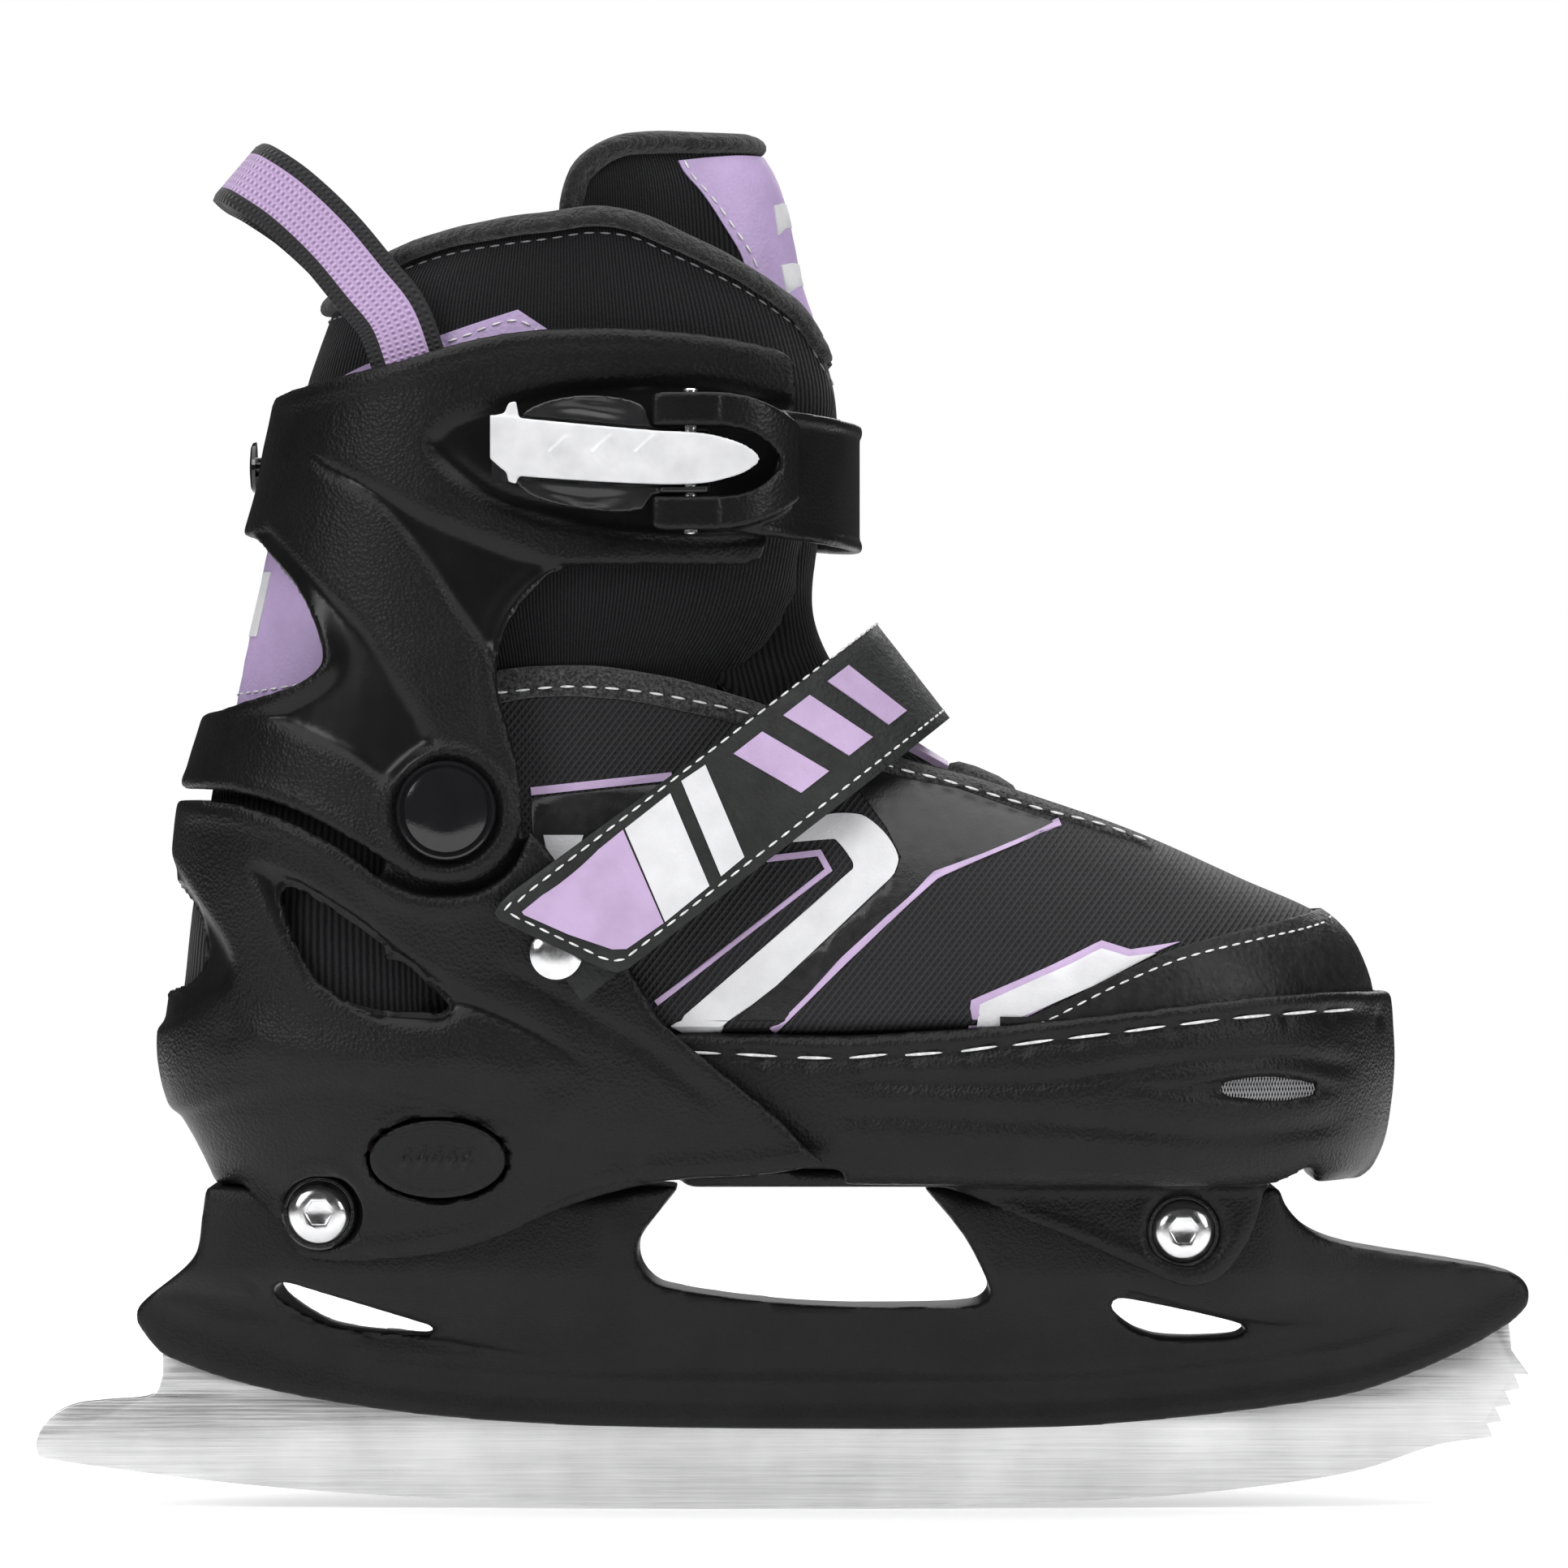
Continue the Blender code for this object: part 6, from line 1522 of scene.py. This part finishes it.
def make_tongue():
    """One padded tongue from the throat over the instep to above the collar."""
    stations = through([Vector((x, z)) for x, z, *_ in TONGUE_RUN], 4)
    sizes = through([Vector(s[2:]) for s in TONGUE_RUN], 4)
    rings = []
    for i, spot in enumerate(stations):
        along = (stations[min(i + 1, len(stations) - 1)] - stations[max(i - 1, 0)]).normalized()
        out = Vector((-along.y, along.x)) * -1
        lean = min(1.0, max(0.0, (200 - spot.y) / 20))
        out = (out * lean + Vector((1, 0)) * (1 - lean)).normalized()
        reach, curl, thick = sizes[i]
        outer = []
        for k in range(17):
            side, back = wrap_point(reach * k / 16, curl)
            outer.append((side, -back))
        outer = [(-s, b) for s, b in reversed(outer[1:])] + outer
        inner = []
        for k, (side, back) in enumerate(outer):
            a, b = outer[max(k - 1, 0)], outer[min(k + 1, len(outer) - 1)]
            way = Vector((b[0] - a[0], b[1] - a[1])).normalized()
            edge = 1 - abs(k / (len(outer) - 1) * 2 - 1) ** 6 * 0.6
            inner.append((side + way.y * thick * edge, back - way.x * thick * edge))
        rings.append([(spot.x + out.x * b, s, spot.y + out.y * b) for s, b in outer + inner[::-1]])
    tongue = loft("padded_tongue", rings)
    high = [ring for ring in rings if ring[0][2] > 244]
    up = [Vector(ring[-1]).lerp(Vector(ring[0]), 0.5) for ring in high]
    down = [Vector(ring[16 * 2]).lerp(Vector(ring[16 * 2 + 1]), 0.5) for ring in high]
    over = [Vector(a).lerp(Vector(b), 0.5) for a, b in zip(rings[-1][:33], rings[-1][33:][::-1])]
    return puffed(tongue, 2.2, 0.8), up + over[1:-1] + down[::-1]


tongue, TONGUE_EDGE = make_tongue()
TONGUE = Skin(tongue)
on_ankle(tongue, KNIT, "tongue_upper", "tongue_lower")
TONGUE_SCALE = 0.44       # millimetres to a degree round the tongue


def tongue_place(u, z):
    return TONGUE.around((-30, 0), math.radians(u / TONGUE_SCALE), z)


def make_tongue_trim():
    edge = [(13.0, 236), (14.6, 243), (15.6, 253), (19.0, 260.5), (22.5, 266.0), (26.5, 270.4), (27.6, 272.6)]
    loop = outline([(-u, z) for u, z in edge], [(-27.6, 272.6), (-14, 273.8), (0, 274.0), (14, 273.8), (27.6, 272.6)],
                   edge[::-1], [edge[0], (-13.0, 236)])
    dress(film("tongue_patch", loop, tongue_place, 0.5, 0.3, 2.2), LILAC_PATCH, "cuff")
    seams = []
    for sign in (-1, 1):
        run = [tongue_place(sign * (p.x - 1.9), p.y - 0.8) for p in through(edge, 5)]
        seams.append([place + normal * 0.6 for place, normal in run])
    dress(stitched("tongue_stitches", seams, 3.0, 2.1, 0.24, THREAD), THREAD, "cuff")
    for number, low in enumerate((246.0, 258.0)):
        bar = [Vector((-8.2, low)), Vector((8.2, low + 3.0)), Vector((8.2, low + 9.0)), Vector((-8.2, low + 6.0))]
        dress(film(f"tongue_bar_{number}", bar, tongue_place, 0.75, 0.0), WHITE_FILM, "cuff")
    middle = Vector((-30, 0, 235))
    spots = [sum(TONGUE_EDGE[max(0, k - 2):k + 3], Vector()) / len(TONGUE_EDGE[max(0, k - 2):k + 3])
             for k in range(len(TONGUE_EDGE))]
    normals = [Vector(((p - middle).x, (p - middle).y, 0)).normalized() for p in spots]
    binding = swept("tongue_binding", spots, normals, oval(2.4, 4.4, 18))
    dress(puckered(binding, 2.5, 0.1), FLEECE, "cuff")


def make_lace_loop():
    """A webbing loop on the lower tongue, and the soft pad under it."""
    spots, normals = [], []
    for y in steps_between(-8.5, 8.5, 1.2):
        place, normal = TONGUE.above(28.5, y, 1.0)
        spots.append(place)
        normals.append(normal)
    tab = [(-4.5, -0.7), (4.5, -0.7), (4.8, 0), (4.5, 0.7), (-4.5, 0.7), (-4.8, 0)]
    on_ankle(swept("tongue_loop", spots, normals, tab), LILAC)
    rings = []
    for size, lift in ((1.0, 0.0), (1.0, 1.4), (0.8, 2.6), (0.35, 3.2)):
        rings.append([TONGUE.above(p.x, p.y * 0.9, lift)[0] for p in circle((40, 0), 7.0 * size, 28)])
    on_ankle(loft("tongue_pad", rings, sharp=60), PILE)


make_tongue_trim()
make_lace_loop()

# ---------------------------------------------------------------- instep strap

STRAP_LEG = [(-14, -46.4), (6, -46.2), (28, -44.4), (50, -40.6), (66, -34.5), (78, -24.5), (85.6, -12.0), (88, 0)]
STRAP_CURVE = through(STRAP_LEG + [(s, -y) for s, y in reversed(STRAP_LEG[:-1])], 12)
STRAP_REACH = np.concatenate([[0], np.cumsum([(b - a).length for a, b in zip(STRAP_CURVE, STRAP_CURVE[1:])])])
STRAP_UP = Vector((math.cos(STRAP_RISE), 0, math.sin(STRAP_RISE)))
STRAP_ACROSS = Vector((-math.sin(STRAP_RISE), 0, math.cos(STRAP_RISE)))


def strap_place(reach, across, lift=0.0):
    """A spot on the strap, by the distance along it from its loose end and the distance from its middle."""
    index = min(len(STRAP_CURVE) - 2, max(0, int(np.searchsorted(STRAP_REACH, reach) - 1)))
    a, b = STRAP_CURVE[index], STRAP_CURVE[index + 1]
    spot = a.lerp(b, (reach - STRAP_REACH[index]) / (b - a).length)
    slope = ((STRAP_CURVE[min(index + 2, len(STRAP_CURVE) - 1)] - STRAP_CURVE[max(index - 1, 0)])).normalized()
    normal = STRAP_UP * slope.y + Vector((0, -slope.x, 0))
    start = Vector((STRAP_START[0], 0, STRAP_START[1]))
    return start + STRAP_UP * spot.x + STRAP_ACROSS * across + Vector((0, spot.y, 0)) + normal * lift, normal


def on_strap(points):
    """Side-view points as (distance along the strap, distance across it) points."""
    flat = []
    half = len(STRAP_CURVE) // 2
    ups = [p.x for p in STRAP_CURVE[:half]]
    for x, z in points:
        dx, dz = x - STRAP_START[0], z - STRAP_START[1]
        up = dx * STRAP_UP.x + dz * STRAP_UP.z
        flat.append((float(np.interp(up, ups, STRAP_REACH[:half])), dx * STRAP_ACROSS.x + dz * STRAP_ACROSS.z))
    return flat


def make_instep_strap():
    total = float(STRAP_REACH[-1])
    end = on_strap([(-53.8, 125.9), (-56.2, 123.6), (-57.3, 121.6), (-56.3, 120.2), (-45.6, 115.1),
                    (-35.2, 110.3), (-33.0, 109.9), (-30.7, 110.7)])
    loop = [Vector(p) for p in end] + [Vector((total - 2, end[-1][1])), Vector((total, end[-1][1] + 2)),
                              Vector((total, end[0][1] - 2)), Vector((total - 2, end[0][1]))]
    flat, faces = filled(loop, 3.0)
    strap = two_skins("instep_strap_body", flat, faces, lambda p: strap_place(p.x, p.y, -0.95)[0],
                      lambda p: strap_place(p.x, p.y, 0.95)[0])
    cut(strap, turned("strap_hole", [(30, 2.3), (60, 2.3)], STRAP_RIVET, INNER))
    dress(eased(strap, 0.45, 2, 50), STRAP_SKIN, "chassis", "instep_strap")

    def surface(u, v):
        return strap_place(u, v, 0.95)
    for name, points, finish in (
            ("strap_lilac", [(-51.9, 121.9), (-32, 138.1), (-23.9, 119.6), (-31.2, 114.5), (-34.0, 114.4),
                             (-42.7, 117.4), (-51.5, 121.3)], LILAC),
            ("strap_white", [(-31.6, 138.3), (-22.7, 145.3), (-14.9, 126.9), (-23.6, 119.8)], WHITE_FILM),
            ("strap_bar", [(-20.5, 147.7), (-15.8, 150.9), (-8, 132.6), (-12.6, 128.8)], WHITE_FILM)):
        dress(film(name, [Vector(p) for p in on_strap(points)], surface, 0.22, 0.1), finish, "chassis")
    for number, start in enumerate((68.0, 81.0, 94.0)):
        bar = [Vector((start - 4.0, 7.2)), Vector((start + 3.4, 7.2)), Vector((start + 9.4, -7.2)),
               Vector((start + 2.0, -7.2))]
        dress(film(f"strap_slant_{number}", bar, surface, 0.22, 0.1), LILAC, "chassis")
    inset = 2.0
    row = [(total - 4, end[0][1] - inset)] + [(u + (2.2 if k == 0 else 2.6), v - (inset if k < 2 else 0.4))
                                            for k, (u, v) in enumerate(end[:3])]
    row += [(end[3][0] + 2.2, end[3][1] + 0.2), (end[4][0] + 1.6, end[4][1] + 1.2),
            (end[5][0] + 1.2, end[5][1] + 1.9), (end[-1][0], end[-1][1] + inset), (total - 4, end[-1][1] + inset)]
    seam = []
    for a, b in zip(row, row[1:]):
        count = max(2, int(math.hypot(b[0] - a[0], b[1] - a[1]) / 2))
        seam += [strap_place(a[0] + (b[0] - a[0]) * k / count, a[1] + (b[1] - a[1]) * k / count, 1.05)[0]
                 for k in range(count)]
    dress(stitched("strap_stitches", [seam], 3.2, 2.3, 0.26, THREAD), THREAD, "chassis")
    for label, side, lift in (("lateral", OUTER, 0.0), ("medial", INNER, 4.0)):
        rivet = turned("strap_rivet_head_" + label, [(35.4, 3.8), (36.4, 3.8), (36.4, 2.0), (43.4 + lift, 2.0),
                                                     (43.4 + lift, 5.3), (43.9 + lift, 5.2), (44.5 + lift, 4.3),
                                                     (44.85 + lift, 2.8), (44.95 + lift, 1.0)], STRAP_RIVET, side)
        dress(rivet, CHROME, "chassis", "strap_rivet_" + label)


make_instep_strap()

# ---------------------------------------------------------------- buckle

PIN_SPOT = (BUCKLE_PIN_X, -48.9)


def upright(name, rings, spot):
    """A turned piece about a vertical axis, from (height, radius) pairs."""
    return loft(name, [[(p.x, p.y, z) for p in circle(spot, radius, 24)] for z, radius in rings], sharp=30)


def make_ankle_strap():
    """The moulded strap, with the fork that holds the lever."""
    path = [(-25.0, -48.4), (-16.0, -48.2), (-6.0, -46.6), (2.0, -41.6), (9.0, -32.5), (13.2, -18.0), (14.6, 0.0),
            (13.0, 18.0), (8.2, 31.4), (0.4, 39.8), (-10.0, 43.1), (-25.5, 43.8)]
    line = through(path, 8)
    rings = []
    for i, spot in enumerate(line):
        along = (line[min(i + 1, len(line) - 1)] - line[max(i - 1, 0)]).normalized()
        out = Vector((along.y, -along.x, 0))
        height = float(np.interp(spot.x, (-25, 15), (211.6, 206.8)))
        section = [(-12.75, -1.0), (-12.45, -1.3), (12.45, -1.3), (12.75, -1.0), (12.75, 1.0), (12.45, 1.3),
                   (10.9, 1.3), (10.4, 0.8), (-10.4, 0.8), (-10.9, 1.3), (-12.45, 1.3), (-12.75, 1.0)]
        rings.append([Vector((spot.x, spot.y, height + up)) + out * depth for up, depth in section])
    strap = loft("buckle_strap", rings)
    nose = outline([(-40, 204.2), (-12, 204.2), (-5, 206.0), (-0.6, 211.0), (-5, 216.0), (-12, 217.8),
                    (-40, 217.8)], [(-40, 217.8), (-40, 204.2)])
    collar = outline([(-26, 197.8), (-10, 197.8), (-1.0, 200.8), (5.6, 206.0), (8.2, 211.0), (5.6, 216.0),
                      (-1.0, 221.4), (-10, 224.4), (-26, 224.4)], [(-26, 224.4), (-26, 197.8)])
    ring = side_prism("fork_ring", collar, -52.4, -44.2)
    follow = plan_prism("fork_bend", outline([(-30, -52.6), (-20, -52.6), (-12, -52.0), (-4, -49.8), (4.4, -43.6),
                                              (10.5, -36.0)], [(10.5, -36.0), (10, -30)],
                                             [(10, -30), (4, -36), (-4, -42), (-12, -45.0), (-30, -45.6)],
                                             [(-30, -45.6), (-30, -52.6)]), 190, 232)
    keep(ring, follow)
    arms = [side_prism("fork_arm", [(-24.4, low), (-13.0, low), (-13.0, low + 6.2), (-24.4, low + 6.2)],
                       -52.5, -47.4) for low in (197.4, 218.4)]
    join(strap, ring, *arms)
    cut(strap, side_prism("fork_opening", nose, -60, -38), upright("pin_hole", [(190, 1.8), (232, 1.8)], PIN_SPOT))
    moulded(strap, 0.62, 2)
    cut(strap, turned("strap_anchor_hole", [(30, 2.3), (50, 2.3)], (STRAP_ANCHOR[0], 209.0)))
    strap.data.attributes.new("grain", "FLOAT", "POINT").data.foreach_set("value", [0.45] * len(strap.data.vertices))
    dress_bent(strap, SHELL, ("cuff", "ankle_strap"),
               ((-0.0112, 0.0445, 0.209), (-0.0082, 0.0405, 0.209)), "ankle_strap", "strap_root")
    anchor = turned("anchor_rivet_head", [(35.4, 3.4), (36.4, 3.4), (36.4, 2.0), (45.2, 2.0), (45.2, 4.4),
                                          (45.7, 4.3), (46.2, 3.5), (46.4, 2.0)], (STRAP_ANCHOR[0], 209.0))
    dress(anchor, CHROME, "cuff", "strap_anchor_rivet")


def trigger_loop(grow):
    """The trigger's side view; grow widens it for the groove it lies in."""
    return outline([(-58.0, 211.4 - grow), (-54.4, 208.6 - grow), (-50.0, 207.8 - grow), (-26.0, 206.4 - grow),
                    (-16.0, 206.6 - grow), (-10.5, 207.8 - grow), (-7.0, 209.3 - grow), (-5.0 + grow, 211.4),
                    (-7.0, 213.5 + grow), (-10.5, 215.1 + grow), (-16.0, 216.4 + grow), (-26.0, 217.0 + grow),
                    (-50.0, 219.2 + grow), (-58.0, 220.0 + grow)], [(-58.0, 220.0 + grow), (-58.0, 211.4 - grow)])


def make_lever():
    body = outline([(-14.5, 204.6), (-20.0, 204.4), (-26.0, 204.2)],
                   [(-26.0, 204.2), (-28.5, 201.4), (-40.0, 201.6), (-50.0, 204.2), (-54.0, 207.8)],
                   [(-54.0, 207.8), (-54.0, 217.0)], [(-54.0, 217.0), (-50.0, 221.6), (-40.0, 224.0), (-28.5, 222.4),
                                                      (-26.0, 217.8)],
                   [(-26.0, 217.8), (-20.0, 217.6), (-14.5, 217.4)], [(-14.5, 217.4), (-14.5, 204.6)])
    lever = side_prism("buckle_lever", body, -50.4, -46.4)
    bosses = [(-24.5, 204.7), (-15.0, 204.7), (-15.0, 217.3), (-24.5, 217.3)]
    join(lever, side_prism("lever_bosses", bosses, -51.9, -46.6))
    cut(lever, upright("lever_pin_hole", [(190, 1.8), (232, 1.8)], PIN_SPOT),
        side_prism("trigger_groove", trigger_loop(0.5), -55, -49.5))
    moulded(lever, 0.42, 2)
    ridges = [groove([(p.x, p.y) for p in through(run, 6)], 0.75, 0.8) for run in (
        [(-48.0, 221.2), (-42.0, 221.6), (-36.0, 220.8), (-29.0, 219.4)],
        [(-45.0, 223.0), (-38.0, 223.0), (-31.0, 221.6)],
        [(-50.0, 206.2), (-44.0, 204.6), (-36.0, 204.0), (-29.0, 204.2)],
        [(-46.0, 203.6), (-38.0, 202.8), (-31.0, 202.8)])]
    relief(lever, *ridges, heel=-200.0)
    dress(lever, SATIN, "lever", "lever")
    pin = upright("lever_cross_pin", [(196.6, 1.2), (196.9, 1.5), (225.1, 1.5), (225.4, 1.2)], PIN_SPOT)
    dress(pin, CHROME, "ankle_strap", "lever_pin")


def make_trigger():
    trigger = side_prism("white_trigger", trigger_loop(0), -53.4, -51.0)
    ears = side_prism("trigger_ears", [(-58.0, 211.6), (-55.2, 210.4), (-54.4, 206.9), (-52.9, 206.4),
                                       (-52.2, 208.4), (-52.2, 219.0), (-52.9, 222.8), (-54.4, 222.4),
                                       (-55.2, 220.4), (-58.0, 219.8)], -53.0, -50.9)
    join(trigger, ears)
    cut(trigger, upright("trigger_pin_hole", [(200, 0.9), (222, 0.9)], (-12.0, -51.6)))
    moulded(trigger, 0.36, 2)

    def edge(x, z):
        crown = np.clip(1 - ((z - 211.4 + (x + 5) * 0.045) / 5.4) ** 2, 0, 1)
        return 0.35 * crown * soft((x + 58) / 3)

    def long_arrows(x, z):
        height = 0
        for start in (-46.0, -37.5, -29.0):
            away = np.minimum(distance_to([(start + 3.2, 209.7), (start, 212.6)], x, z),
                              distance_to([(start, 212.6), (start + 3.2, 215.5)], x, z))
            height = height + 0.4 * np.exp(-(away / 0.5) ** 2)
        return height
    relief(trigger, edge, long_arrows, heel=-200.0)
    dress(trigger, WHITE_PLASTIC, "trigger", "trigger")


make_ankle_strap()
make_lever()
make_trigger()

# ---------------------------------------------------------------- vents

def make_vent(label, side):
    """Crossing wires behind one vent."""
    wires = []
    for k in range(-22, 62):
        for lean in (-1, 1):
            run = []
            for t in (-1.0, -0.5, 0.0, 0.5, 1.0):
                x, z = 78 + k * 0.62 + 1.0 * t * lean, 86.4 + 3.4 * t
                if 77 < x < 114.5:
                    slope = (float(TOE_PLAN(x + 1)) - float(TOE_PLAN(x - 1))) / 2
                    run.append(Vector((x, side * (float(TOE_PLAN(x)) - 2.2 - abs(slope) * 0.6
                                                  + 0.1 * lean * (1 if int(2 * t) % 2 else -1)), z)))
            if len(run) == 5:
                wires.append(run)
    verts, faces = [], []
    for run in wires:
        for a, b in zip(run, run[1:]):
            first = len(verts)
            across = Vector((0.13, 0, 0))
            out = Vector((0, side * 0.13, 0))
            for p in (a, b):
                verts += [p + across, p + out, p - across, p - out]
            faces += [[first + i, first + (i + 1) % 4, first + 4 + (i + 1) % 4, first + 4 + i] for i in range(4)]
            faces += [[first, first + 3, first + 2, first + 1], [first + 4, first + 5, first + 6, first + 7]]
    mesh = bpy.data.meshes.new("vent_wires_" + label)
    mesh.from_pydata([v * MM for v in verts], [], faces)
    obj = bpy.data.objects.new("vent_wires_" + label, mesh)
    bpy.context.scene.collection.objects.link(obj)
    dress(shaded(obj, 80), VENT_WIRE, "toe", "vent_mesh_" + label)


make_vent("lateral", OUTER)
make_vent("medial", INNER)


# ---------------------------------------------------------------- studio

for name, finish in NODE_FINISHES.items():
    repaint(name, finish)


def area_light(name, place, target, size, power):
    light = bpy.data.lights.new(name, "AREA")
    light.shape, light.size, light.energy = "SQUARE", size, power
    holder = bpy.data.objects.new(name, light)
    holder.location = place
    holder.rotation_euler = (Vector(target) - Vector(place)).to_track_quat("-Z", "Y").to_euler()
    bpy.context.scene.collection.objects.link(holder)


def set_studio():
    floor_mesh = bpy.data.meshes.new("studio_floor")
    floor_mesh.from_pydata([(-0.9, -0.9, 0), (0.9, -0.9, 0), (0.9, 0.9, 0), (-0.9, 0.9, 0)], [], [(0, 1, 2, 3)])
    floor = bpy.data.objects.new("studio_floor", floor_mesh)
    bpy.context.scene.collection.objects.link(floor)
    paper = Finish("pale_paper", (0.84, 0.84, 0.84), 0.8, Specular_IOR_Level=0.05, Emission_Color=(1, 1, 1, 1),
                   Emission_Strength=0.3)
    paper.raised_by(paper.noise(2.0), 0.02)
    floor_mesh.materials.append(paper.made)

    world = bpy.data.worlds.new("soft_white")
    world.use_nodes = True
    tree = world.node_tree
    sky = tree.nodes["Background"]
    sky.inputs["Color"].default_value = (1, 1, 1, 1)
    seen = tree.nodes.new("ShaderNodeLightPath")
    level = tree.nodes.new("ShaderNodeMapRange")
    level.inputs["To Min"].default_value = 0.06
    level.inputs["To Max"].default_value = 1.0
    tree.links.new(seen.outputs["Is Camera Ray"], level.inputs["Value"])
    tree.links.new(level.outputs["Result"], sky.inputs["Strength"])
    bpy.context.scene.world = world

    middle = (0, 0, 0.12)
    area_light("overhead_softbox", (0.0, -0.25, 1.5), middle, 2.4, 46)
    area_light("front_left_softbox", (-1.3, -1.5, 1.0), middle, 0.8, 15)
    area_light("front_right_softbox", (1.4, -1.2, 0.7), middle, 0.6, 9)
    area_light("rear_softbox", (0.3, 1.6, 1.1), middle, 1.0, 11)

    camera = bpy.data.cameras.new("camera")
    camera.sensor_width = 36
    camera.lens = 203.3
    camera.clip_start, camera.clip_end = 0.05, 30
    holder = bpy.data.objects.new("camera", camera)
    holder.location = (0, -1.8, 0.1472)
    holder.rotation_euler = (math.radians(90), 0, 0)
    bpy.context.scene.collection.objects.link(holder)
    bpy.context.scene.camera = holder
    bpy.context.scene.view_settings.view_transform = "Standard"


set_studio()
